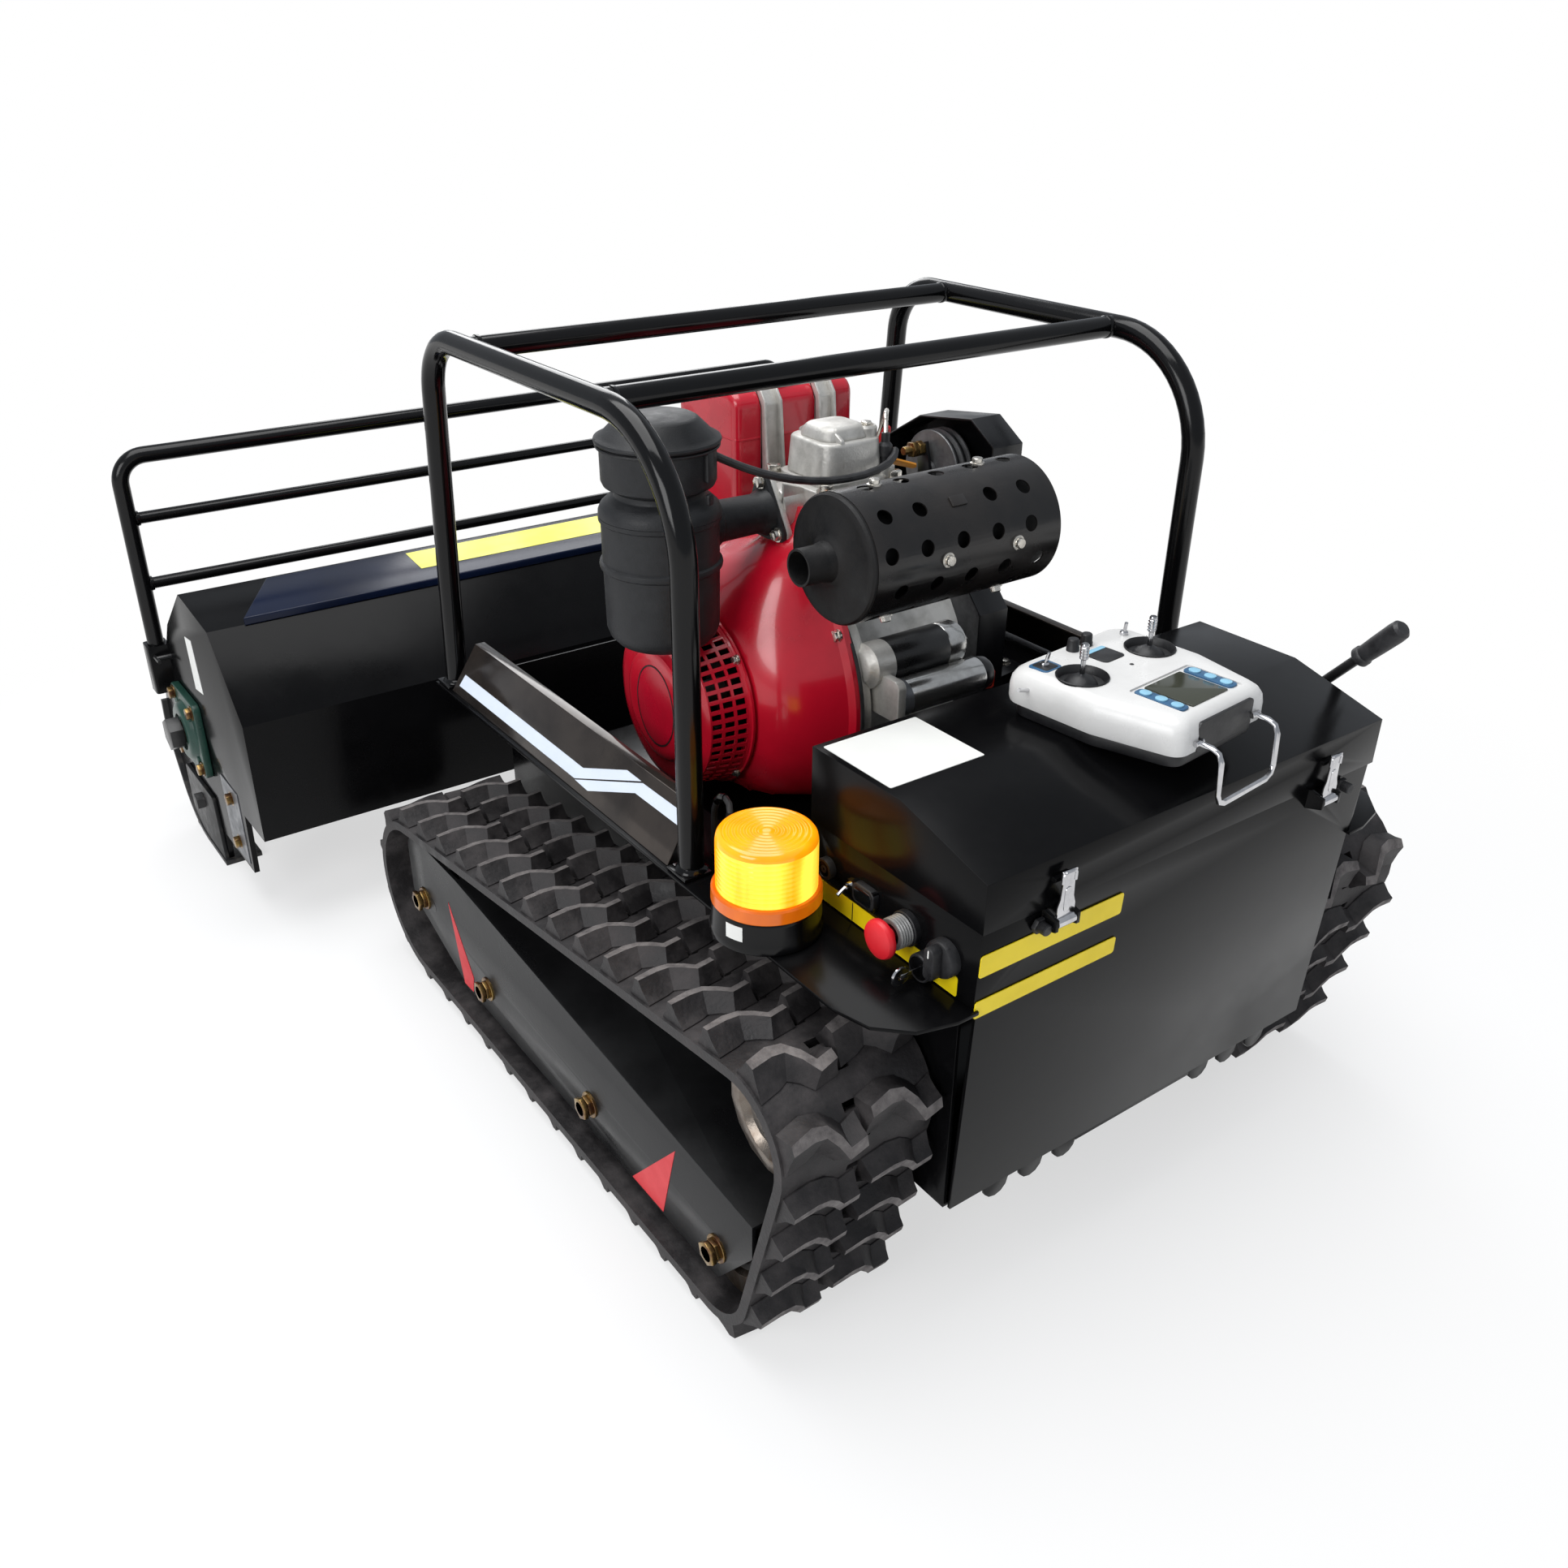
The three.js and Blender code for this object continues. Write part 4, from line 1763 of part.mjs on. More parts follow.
mower.add(piece('lift_frame', liftFrame(), black_satin));
mower.add(piece('lift_ram', liftRam(), black_satin, [ram_x, lift_pivot_y, ram_foot_z]));
mower.add(piece('lift_rod', liftRod(), chrome, [ram_x, lift_pivot_y, ram_foot_z]));
mower.add(piece('deck_shell', deckShell(), black_gloss));
mower.add(piece('front_flap', frontFlap(), black_satin,
  [0, deck_front_y + flap_pin_radius, deck_lip_z]));
const shoe = skidShoe();
mower.add(piece('skid_shoe_left', shoe, black_satin));
mower.add(piece('skid_shoe_right', mirrored(shoe), black_satin));
const bearing = rotorBearing();
mower.add(piece('rotor_bearing_left', mirrored(bearing), zinc_yellow));
mower.add(piece('rotor_bearing_right', bearing, zinc_yellow));
mower.add(piece('flail_rotor', flailRotor(), bare_steel, [0, rotor_y, rotor_z]));
mower.add(piece('guard_rack', guardRack(), black_gloss));

const remote_floor_z = lid_top_z + seat_gap;
const turn_degrees = THREE.MathUtils.radToDeg(remote_turn_angle);
const onRemote = (x, y) => [
  remote_x + x * Math.cos(remote_turn_angle) - y * Math.sin(remote_turn_angle),
  remote_y + x * Math.sin(remote_turn_angle) + y * Math.cos(remote_turn_angle),
];
mower.add(piece('remote_case', remoteCase().rotate([0, 0, turn_degrees]), shell_white,
  [remote_x, remote_y, remote_floor_z]));
for (const [side, sign] of [['left', -1], ['right', 1]]) {
  mower.add(piece(`remote_stick_${side}`, remoteStick(), black_satin,
    [...onRemote(sign * remote_gimbal_x, remote_gimbal_y), remote_floor_z + remote_height]));
}
mower.add(piece('remote_bail', remoteBail().rotate([0, 0, turn_degrees]), chrome,
  [...onRemote(0, -remote_depth / 2 - seat_gap - bail_rod_radius), remote_floor_z + remote_height / 2]));

// The footprint's middle becomes the origin
mower.updateMatrixWorld(true);
const bounds = new THREE.Box3().setFromObject(mower);
const centre = bounds.getCenter(vec(0, 0, 0));
mower.position.set(-centre.x, -centre.y, -bounds.min.z);

export default mower;
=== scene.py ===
# Remote control slope mower: two rubber tracks, a flail deck, an air-cooled engine in a
# roll cage, and a control box with its transmitter lying on the lid. Metres, +Y forward.

import math

import bpy
from mathutils import Matrix, Vector


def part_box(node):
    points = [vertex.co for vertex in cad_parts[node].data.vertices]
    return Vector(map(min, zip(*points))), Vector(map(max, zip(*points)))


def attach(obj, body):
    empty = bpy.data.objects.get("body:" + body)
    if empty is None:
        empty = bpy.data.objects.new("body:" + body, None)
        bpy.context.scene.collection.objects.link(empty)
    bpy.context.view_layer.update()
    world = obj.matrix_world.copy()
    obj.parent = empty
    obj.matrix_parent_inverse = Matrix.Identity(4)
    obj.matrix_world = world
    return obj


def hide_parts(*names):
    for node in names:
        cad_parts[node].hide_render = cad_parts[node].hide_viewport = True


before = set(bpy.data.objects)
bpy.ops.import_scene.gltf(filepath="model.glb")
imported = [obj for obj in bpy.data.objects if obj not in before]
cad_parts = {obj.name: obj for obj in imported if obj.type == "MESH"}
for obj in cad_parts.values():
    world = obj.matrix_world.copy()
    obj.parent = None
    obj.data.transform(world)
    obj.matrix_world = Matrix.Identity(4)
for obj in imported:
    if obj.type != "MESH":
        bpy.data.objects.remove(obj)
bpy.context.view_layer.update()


# Camera: behind the machine's left rear corner at chest height, looking down at it. Its place
# and turn come from the vanishing points of the photograph's tracks, deck and posts.
def middle_of(node):
    """The middle of a CAD node's box."""
    low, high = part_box(node)
    return (low + high) / 2


# Pieces are drawn with y counted from a zero line 67 mm behind the sprocket axles.
drawing_zero = middle_of("drive_sprocket_left").y - 0.067

camera_data = bpy.data.cameras.new("photo_camera")
camera_data.lens = 31.957
camera_data.sensor_width = 36.0
camera = bpy.data.objects.new("photo_camera", camera_data)
bpy.context.scene.collection.objects.link(camera)
camera_turn = Matrix(((0.80993, -0.58636, 0.00903), (0.2723, 0.38966, 0.87979),
    (-0.51946, -0.71017, 0.47527))).transposed()
camera_place = Vector((-1.01706, -0.75776 + drawing_zero, 1.209))
camera.matrix_world = Matrix.Translation(camera_place) @ camera_turn.to_4x4()
bpy.context.scene.camera = camera


# Floor and light: a white studio floor that runs out of sight, a wide soft lamp overhead, one
# from the camera's left and a lower one from the front, in an even white room.
def colour(red, green, blue):
    """A colour as seen on screen, 0 to 255, in the linear values that a shader takes."""
    shares = [value / 255 for value in (red, green, blue)]
    return tuple(s / 12.92 if s <= 0.04045 else ((s + 0.055) / 1.055) ** 2.4
        for s in shares) + (1.0,)


def wired(tree, node, inputs, **settings):
    """Fills the inputs of a shader node, a new one where only its kind is given: each input
    takes a value or the output of another node."""
    if isinstance(node, str):
        node = tree.nodes.new("ShaderNode" + node)
    for key, value in inputs.items():
        if isinstance(value, bpy.types.NodeSocket):
            tree.links.new(value, node.inputs[key])
        else:
            node.inputs[key].default_value = value
    for key, value in settings.items():
        setattr(node, key, value)
    return node


def new_paint(name):
    """A new material with its node tree and its main shader."""
    made = bpy.data.materials.new(name)
    made.use_nodes = True
    return (made, made.node_tree, made.node_tree.nodes["Principled BSDF"])


bpy.ops.object.select_all(action="DESELECT")
bpy.ops.mesh.primitive_plane_add(size=60, location=(0, 0, -0.0005))
floor = bpy.context.object
floor.name = "studio_floor"
paint, tree, shader = new_paint("studio_floor")
wired(tree, shader, {"Base Color": (0.88, 0.88, 0.88, 1), "Roughness": 0.9,
    "Specular IOR Level": 0.1})
white = wired(tree, "Emission", {"Color": (1, 1, 1, 1)})
ray = wired(tree, "LightPath", {}).outputs
reach = wired(tree, "VectorMath", {0: wired(tree, "TexCoord", {}).outputs["Object"]},
    operation="LENGTH")
fade = wired(tree, "MapRange", {"From Min": 0.75, "From Max": 1.7, "To Min": 0.62,
    "Value": reach.outputs["Value"]})
seen = wired(tree, "Math", {0: ray["Is Camera Ray"], 1: ray["Is Glossy Ray"]}, operation="MAXIMUM")
seen = wired(tree, "Math", {0: seen.outputs[0], 1: ray["Is Transmission Ray"]}, operation="MAXIMUM")
share = wired(tree, "Math", {0: fade.outputs["Result"], 1: seen.outputs[0]}, operation="MULTIPLY")
mix = wired(tree, "MixShader", {"Fac": share.outputs[0], 1: shader.outputs[0], 2: white.outputs[0]})
wired(tree, tree.nodes["Material Output"], {"Surface": mix.outputs[0]})
floor.data.materials.append(paint)

world = bpy.data.worlds.new("studio")
bpy.context.scene.world = world
world.use_nodes = True
tree = world.node_tree
light = wired(tree, tree.nodes["Background"], {"Color": (0.88, 0.93, 1.0, 1), "Strength": 0.5})
white = wired(tree, "Background", {"Color": (1, 1, 1, 1)})
ray = wired(tree, "LightPath", {}).outputs
mix = wired(tree, "MixShader", {"Fac": ray["Is Camera Ray"], 1: light.outputs[0],
    2: white.outputs[0]})
wired(tree, tree.nodes["World Output"], {"Surface": mix.outputs[0]})

for lamp_name, lamp_place, lamp_size, lamp_power in (("lamp_over", (-0.5, 0.2, 3.3), 2.6, 95),
        ("lamp_left", (-3.4, -1.2, 2.0), 1.8, 60), ("lamp_front", (1.6, 3.4, 2.4), 2.0, 45)):
    lamp_data = bpy.data.lights.new(lamp_name, "AREA")
    lamp_data.size = lamp_size
    lamp_data.energy = lamp_power
    lamp = bpy.data.objects.new(lamp_name, lamp_data)
    bpy.context.scene.collection.objects.link(lamp)
    lamp.location = lamp_place
    lamp.rotation_euler = (-Vector(lamp_place)).to_track_quat("-Z", "Y").to_euler()
bpy.context.scene.view_settings.view_transform = "Standard"


# Rubber tracks: moulded rubber belts 180 mm wide, with a row of drive windows and two columns
# of tall stepped lugs. One flat link is modelled, and its copies are bent round the loop.
usual_slots = {}


def coat(name, slot, base, rough, worn, metal=0.0, grain=30.0, spread=0.3, bump=0.0, fine=300.0,
        shine=0.5, clear=0.0, patch=(0.4, 0.7)):
    """A finish whose colour drifts to a worn or dusty one in patches, with uneven gloss and
    a fine relief. shine is the strength of plain reflections, clear that of a lacquer. The
    slot is noted as the usual one for this finish, under its name."""
    made, tree, shader = new_paint(name)
    usual_slots[made.name] = slot
    place = wired(tree, "TexCoord", {}).outputs["Object"]
    cloud = wired(tree, "TexNoise", {"Scale": grain, "Detail": 7.0, "Roughness": 0.62,
        "Vector": place})
    ramp = wired(tree, "ValToRGB", {"Fac": cloud.outputs["Fac"]})
    for stop, position, shade in zip(ramp.color_ramp.elements, patch, (base, worn)):
        stop.position, stop.color = position, colour(*shade)
    sheen = wired(tree, "MapRange", {"From Min": 0.3, "From Max": 0.7,
        "To Min": max(rough * (1 - spread), 0.02), "To Max": min(rough * (1 + spread), 1.0),
        "Value": cloud.outputs["Fac"]})
    wired(tree, shader, {"Base Color": ramp.outputs["Color"], "Roughness": sheen.outputs["Result"],
        "Metallic": metal, "Specular IOR Level": shine, "Coat Weight": clear,
        "Coat Roughness": 0.05})
    if bump:
        pores = wired(tree, "TexNoise", {"Scale": fine, "Detail": 3.0, "Vector": place})
        relief = wired(tree, "Bump", {"Strength": bump, "Distance": 0.001,
            "Height": pores.outputs["Fac"]})
        wired(tree, shader, {"Normal": relief.outputs["Normal"]})
    return made


def only(piece):
    """Selects one piece, and makes it the active one."""
    bpy.ops.object.select_all(action="DESELECT")
    piece.select_set(True)
    bpy.context.view_layer.objects.active = piece
    return piece


def in_edit(piece, faces=None):
    """Opens a piece in edit mode, with the faces that pass a test selected, or all of it."""
    only(piece)
    bpy.context.tool_settings.mesh_select_mode = (faces is None, False, faces is not None)
    for part in [*piece.data.vertices, *piece.data.edges, *piece.data.polygons]:
        part.select = faces is None
    if faces is not None:
        for face in piece.data.polygons:
            face.select = bool(faces(face))
    bpy.ops.object.mode_set(mode="EDIT")


def out_of_edit():
    """Turns all faces outwards and closes edit mode."""
    bpy.ops.mesh.select_mode(type="VERT")
    bpy.ops.mesh.select_all(action="SELECT")
    bpy.ops.mesh.normals_make_consistent(inside=False)
    bpy.ops.object.mode_set(mode="OBJECT")


def polar(u, v, radius, angle):
    """The point at a distance and an angle from (u, v)."""
    return (u + radius * math.cos(angle), v + radius * math.sin(angle))


def cut_away(piece, faces):
    """Deletes the faces that pass a test."""
    in_edit(piece, faces)
    bpy.ops.mesh.delete(type="FACE")
    bpy.ops.object.mode_set(mode="OBJECT")


def modified(piece, kind, **settings):
    """Applies one modifier to a piece."""
    only(piece)
    change = piece.modifiers.new("change", kind)
    for key, value in settings.items():
        setattr(change, key, value)
    bpy.ops.object.modifier_apply(modifier="change")
    return piece


def moved(piece, place):
    """Sets a drawn piece to a place and turn, and applies them."""
    only(piece)
    piece.matrix_world = place
    bpy.ops.object.transform_apply(location=True, rotation=True, scale=True)
    return piece


def soften(piece, width, segments=2, angle=30):
    """Rounds each edge that is sharper than the angle."""
    return modified(piece, "BEVEL", width=width, segments=segments, limit_method="ANGLE",
        angle_limit=math.radians(angle))


def slab(name, outline, axis, start, end, rounding=0.0, segments=2, top=1.0):
    """An outline drawn square to an axis, in (y, z), (x, z) or (x, y), and extruded along it."""
    turn = {"X": lambda u, v, w: (w, u, v), "Y": lambda u, v, w: (u, w, v),
        "Z": lambda u, v, w: (u, v, w)}[axis]
    bpy.ops.object.select_all(action="DESELECT")
    bpy.ops.mesh.primitive_circle_add(vertices=len(outline), fill_type="NGON")
    piece = bpy.context.object
    piece.name = name
    for vertex, (u, v) in zip(piece.data.vertices, outline):
        vertex.co = turn(u, v, start)
    in_edit(piece)
    step = Vector(turn(0, 0, end - start))
    bpy.ops.mesh.extrude_region_move(TRANSFORM_OT_translate={"value": step})
    if top != 1.0:
        middle = turn(sum(u for u, v in outline) / len(outline), sum(v for u, v in outline)
            / len(outline), end)
        bpy.ops.transform.resize(value=(top, top, top), center_override=middle)
    out_of_edit()
    return soften(piece, rounding, segments) if rounding else piece


def joined(name, pieces):
    """Several pieces made one mesh."""
    bpy.ops.object.select_all(action="DESELECT")
    for piece in pieces:
        piece.select_set(True)
    bpy.context.view_layer.objects.active = pieces[0]
    if len(pieces) > 1:
        bpy.ops.object.join()
    pieces[0].name = name
    return pieces[0]


def settled(piece, finish, *replaced, slot=None, body="chassis", angle=35):
    """Puts a drawn piece on the machine: its place goes into its mesh, it is smoothed, painted
    with one finish or its own, and given to the body that carries it. A slot, the named one
    or else the usual one of its finish, is looked up but not kept."""
    only(piece)
    bpy.ops.object.transform_apply(location=True, rotation=True, scale=True)
    piece.data.transform(Matrix.Translation((0, drawing_zero, 0)))
    bpy.ops.object.shade_smooth_by_angle(angle=math.radians(angle))
    if finish is not None:
        piece.data.materials.clear()
        piece.data.materials.append(finish)
        for face in piece.data.polygons:
            face.material_index = 0
    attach(piece, body)
    slot = slot or usual_slots[finish.name]
    if replaced:
        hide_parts(*replaced)
    return piece


track_rubber = coat("track_rubber", "rubber", (34, 32, 33), 0.6, (74, 70, 70), grain=22, bump=0.5,
    fine=220, shine=0.35, patch=(0.42, 0.78))
crest_rubber = coat("crest_rubber", "rubber", (118, 113, 111), 0.8, (78, 74, 74), grain=70,
    bump=0.5, fine=260, shine=0.3, patch=(0.35, 0.7))
belt_width = 0.18
belt_thickness = 0.012
lug_height = 0.02
link_count = 36
belt_wheels = (("drive_sprocket", 0.065), ("road_roller", 0.065), ("front_idler", 0.104))
lug_crest = ((-0.04, -0.014), (-0.018, -0.018), (-0.008, -0.005), (0.003, 0.005), (0.016, 0.006),
    (0.04, 0.003), (0.04, 0.012), (0.015, 0.017), (-0.001, 0.014), (-0.013, 0.003),
    (-0.021, -0.008), (-0.04, -0.005))
lug_foot = ((-0.042, -0.022), (-0.013, -0.026), (-0.002, -0.015), (0.008, -0.009), (0.018, -0.013),
    (0.042, -0.018), (0.042, 0.02), (0.014, 0.026), (-0.005, 0.022), (-0.018, 0.012),
    (-0.025, 0.004), (-0.042, 0.01))


def belt_loop(side):
    """The belt's three wraps in (y, z), each with the headings where the belt joins and leaves."""
    wraps = []
    for node, radius in belt_wheels:
        centre = middle_of(f"{node}_{side}_1" if node == "road_roller" else f"{node}_{side}")
        wraps.append({"y": centre.y - drawing_zero, "z": centre.z, "radius": radius})
    for wrap, following in zip(wraps, wraps[1:] + wraps[:1]):
        run = math.hypot(following["y"] - wrap["y"], following["z"] - wrap["z"])
        bearing = math.atan2(following["z"] - wrap["z"], following["y"] - wrap["y"])
        wrap["leave"] = bearing + math.asin((wrap["radius"] - following["radius"]) / run)
        wrap["run"] = math.sqrt(run * run - (wrap["radius"] - following["radius"]) ** 2)
    for i, wrap in enumerate(wraps):
        wrap["join"] = wraps[i - 1]["leave"]
        while wrap["leave"] < wrap["join"]:
            wrap["leave"] += 2 * math.pi
        wrap["arc"] = (wrap["leave"] - wrap["join"]) * (wrap["radius"] + belt_thickness / 2)
    return wraps


def on_belt(wraps, distance, height):
    """The place in (y, z) at a distance along the belt's middle line, and a height out of it."""
    while True:
        for wrap in wraps:
            middle = wrap["radius"] + belt_thickness / 2
            if distance <= wrap["arc"]:
                out = wrap["join"] + distance / middle - math.pi / 2
                reach = middle + height
                return polar(wrap["y"], wrap["z"], reach, out)
            distance -= wrap["arc"]
            if distance <= wrap["run"]:
                out = wrap["leave"] - math.pi / 2
                reach = middle + height
                return polar(*polar(wrap["y"], wrap["z"], reach, out), distance, wrap["leave"])
            distance -= wrap["run"]


def flat_link(pitch):
    """One link lying flat: the band with its drive window, a lug near each edge and the guide
    blocks on the inside."""
    half = belt_width / 2
    bpy.ops.object.select_all(action="DESELECT")
    bpy.ops.mesh.primitive_grid_add(x_subdivisions=7, y_subdivisions=6, size=1)
    band = bpy.context.object
    columns = (-half, -0.05, -0.021, -0.012, 0.012, 0.021, 0.05, half)
    rows = (-0.5, -0.3, -0.16, 0.0, 0.16, 0.3, 0.5)
    for vertex in band.data.vertices:
        column = min(7, round((vertex.co.x + 0.5) * 7))
        row = min(6, round((vertex.co.y + 0.5) * 6))
        vertex.co = (columns[column], rows[row] * pitch, belt_thickness / 2)
    in_edit(band, lambda face: abs(face.center.x) < 0.01 and 0.16 * pitch < abs(face.center.y) < 0.3
        * pitch)
    bpy.ops.mesh.delete(type="FACE")
    bpy.ops.mesh.select_all(action="SELECT")
    bpy.ops.mesh.extrude_region_move(TRANSFORM_OT_translate={"value": (0, 0, -belt_thickness)})
    out_of_edit()
    cut_away(band, lambda face: abs(abs(face.center.y) - pitch / 2) < 1e-06)
    band.data.materials.append(track_rubber)
    band.data.materials.append(crest_rubber)
    parts = [band]
    base = belt_thickness / 2
    levels = ((-0.002, 0.0), (0.0015, 0.0), (0.58 * lug_height, 0.72), (lug_height - 0.001, 1.0),
        (lug_height, 1.04))
    for offset in (-0.045, 0.045):
        lug = slab("lug", lug_foot, "Z", base - 0.002, base)
        in_edit(lug, lambda face: face.normal.z > 0.9)
        for level in levels[1:]:
            bpy.ops.mesh.extrude_region_move(TRANSFORM_OT_translate={"value": (0, 0, 0.001)})
        bpy.ops.object.mode_set(mode="OBJECT")
        rings = {}
        for vertex in lug.data.vertices:
            rings.setdefault(round((vertex.co.z - base) * 1000), []).append(vertex)
        for (height, share), ring in zip(levels, [rings[key] for key in sorted(rings)][1:]):
            for vertex in ring:
                corner = min(range(12), key=lambda i: (lug_foot[i][0] - vertex.co.x) ** 2
                    + (lug_foot[i][1] - vertex.co.y) ** 2)
                foot, crest = Vector(lug_foot[corner]), Vector(lug_crest[corner])
                vertex.co.xy = foot.lerp(crest, share)
                vertex.co.z = base + height
        lug.data.transform(Matrix.Translation((offset, 0, 0)))
        lug.data.materials.append(track_rubber)
        lug.data.materials.append(crest_rubber)
        for face in lug.data.polygons:
            face.material_index = 1 if face.normal.z > 0.9 else 0
        parts.append(lug)
    guide = ((-0.5, -0.1), (-0.5, 0.1), (0.5, 0.1), (0.5, -0.1))
    for offset in (-0.03, 0.03):
        block = slab("guide", [(offset + u * 0.012, v * pitch) for u, v in guide], "Z",
            -base + 0.002, -base - 0.01, top=0.7)
        block.data.materials.append(track_rubber)
        parts.append(block)
    return joined("flat_link", parts)


for side, sign in (("left", -1), ("right", 1)):
    wraps = belt_loop(side)
    belt_length = sum(wrap["arc"] + wrap["run"] for wrap in wraps)
    pitch = belt_length / link_count
    link = flat_link(pitch)
    centre_x = middle_of("track_belt_" + side).x
    copies = []
    for index in range(link_count):
        copy = link.copy()
        copy.data = link.data.copy()
        bpy.context.scene.collection.objects.link(copy)
        for vertex in copy.data.vertices:
            across, along, height = vertex.co
            y, z = on_belt(wraps, ((index + 0.5) * pitch - along) % belt_length, height)
            vertex.co = (centre_x + sign * across, y, max(z, 0.0))
        copies.append(copy)
    bpy.data.objects.remove(link)
    belt = joined("rubber_track_" + side, copies)
    in_edit(belt)
    bpy.ops.mesh.remove_doubles(threshold=5e-05)
    out_of_edit()
    settled(belt, None, "track_belt_" + side, slot="rubber", angle=28)


# Road rollers and front idlers: turned steel wheels with a groove for the belt's guide blocks,
# bright where the belt runs on them. The idler is dished. Sprockets are cast, with seven teeth.
def turned(name, axis, centre, profile, steps=48, closed=False, start=0.0, way=1):
    """A profile of (radius, place along the axis) points, spun about an axis through centre.
    The places count from start, in the direction of way."""
    u, v = centre
    put = {"X": lambda r, w: (w, u + r, v), "Y": lambda r, w: (u + r, w, v),
        "Z": lambda r, w: (u + r, v, w)}[axis]
    middle, line = {"X": ((0, u, v), (1, 0, 0)), "Y": ((u, 0, v), (0, 1, 0)),
        "Z": ((u, v, 0), (0, 0, 1))}[axis]
    bpy.ops.object.select_all(action="DESELECT")
    bpy.ops.mesh.primitive_circle_add(vertices=len(profile), fill_type="NOTHING")
    piece = bpy.context.object
    piece.name = name
    for vertex, (r, w) in zip(piece.data.vertices, profile):
        vertex.co = put(r, start + way * w)
    if not closed:
        last = len(profile) - 1
        bpy.context.tool_settings.mesh_select_mode = (False, True, False)
        for part in [*piece.data.vertices, *piece.data.edges]:
            part.select = False
        for edge in piece.data.edges:
            edge.select = set(edge.vertices) == {0, last}
        bpy.ops.object.mode_set(mode="EDIT")
        bpy.ops.mesh.delete(type="EDGE")
        bpy.ops.object.mode_set(mode="OBJECT")
    in_edit(piece)
    bpy.ops.mesh.spin(steps=steps, angle=2 * math.pi, center=middle, axis=line)
    bpy.ops.mesh.select_all(action="SELECT")
    bpy.ops.mesh.remove_doubles(threshold=2e-05)
    out_of_edit()
    return piece


def copied(node, name, rounding=0.0012, segments=2, angle=28):
    """A CAD node's shape as a mesh of its own: merged, its flat faces made whole, and its sharp
    edges rounded."""
    piece = bpy.data.objects.new(name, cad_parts[node].data.copy())
    bpy.context.scene.collection.objects.link(piece)
    piece.data.materials.clear()
    in_edit(piece)
    bpy.ops.mesh.remove_doubles(threshold=1e-05)
    bpy.ops.mesh.dissolve_limited(angle_limit=math.radians(1.5))
    bpy.ops.object.mode_set(mode="OBJECT")
    piece.data.transform(Matrix.Translation((0, -drawing_zero, 0)))
    return soften(piece, rounding, segments, angle) if rounding else piece


worn_steel = coat("worn_steel", "bare_steel", (120, 112, 104), 0.3, (84, 66, 52), metal=0.9,
    grain=25, bump=0.15, patch=(0.45, 0.65))
wheel_paint = coat("wheel_paint", "bare_steel", (26, 26, 28), 0.45, (62, 56, 50), grain=30,
    bump=0.2)
roller_half, groove_half, groove_depth, axle_bore = 0.058, 0.022, 0.018, 0.0115
for side in ("left", "right"):
    for node, body, radius in [(f"road_roller_{side}_{i}",) * 2 + (0.0644,)
            for i in (1, 2, 3)] + [(f"front_idler_{side}",) * 2 + (0.1034,)]:
        centre = middle_of(node)
        half = roller_half if radius < 0.1 else 0.046
        x, lip = centre.x, 0.003
        rim = radius - groove_depth
        profile = [(axle_bore, x - half), (0.026, x - half), (0.026, x - half + 0.002)]
        if radius > 0.1:
            profile += [(0.028, x - half + 0.022), (rim - 0.014, x - half + 0.022),
                (rim - 0.01, x - half + 0.002)]
        else:
            profile += [(0.03, x - half + 0.007), (rim - 0.01, x - half + 0.007),
                (rim - 0.006, x - half + 0.001)]
        profile += [(radius - lip, x - half), (radius, x - half + lip),
            (radius, x - groove_half - lip), (radius - lip, x - groove_half),
            (rim, x - groove_half + 0.002)]
        profile += [(r, 2 * x - w) for r, w in reversed(profile)]
        wheel = turned("wheel_" + node, "X", (centre.y - drawing_zero, centre.z), profile, 64,
            closed=True)
        wheel.data.materials.append(worn_steel)
        wheel.data.materials.append(wheel_paint)
        for face in wheel.data.polygons:
            out = math.hypot(face.center.y - centre.y + drawing_zero, face.center.z - centre.z)
            face.material_index = 0 if out > rim - 0.012 else 1
        settled(wheel, None, node, slot="bare_steel", body=body)
    sprocket = copied("drive_sprocket_" + side, "sprocket_" + side, 0.0015)
    settled(sprocket, worn_steel, "drive_sprocket_" + side, body="drive_sprocket_" + side)


# Track frames: folded and welded plate, sprayed satin black, with through bolts in yellow zinc
# that hold the rollers, a tensioner slot at the front bolt and two red warning triangles.
frame_paint = coat("frame_paint", "black_satin", (22, 22, 23), 0.34, (32, 32, 33), grain=8,
    spread=0.35, bump=0.12, fine=180, shine=0.35)
bolt_zinc = coat("bolt_zinc", "zinc_yellow", (150, 124, 74), 0.3, (96, 66, 48), metal=0.9, grain=60,
    bump=0.1, patch=(0.4, 0.62))
signal_red = coat("signal_red", "control_red", (206, 28, 40), 0.4, (188, 24, 36), grain=12,
    bump=0.05, shine=0.4)
plate_out = 0.075
bolt_places = ((0.122, 0.097), (0.392, 0.097), (0.667, 0.097), (0.861, 0.136))


def hexagon(y, z, radius, turn=0.0):
    """The six corners of a nut across its corners, in (y, z)."""
    return [polar(y, z, radius, turn + i * math.pi / 3) for i in range(6)]


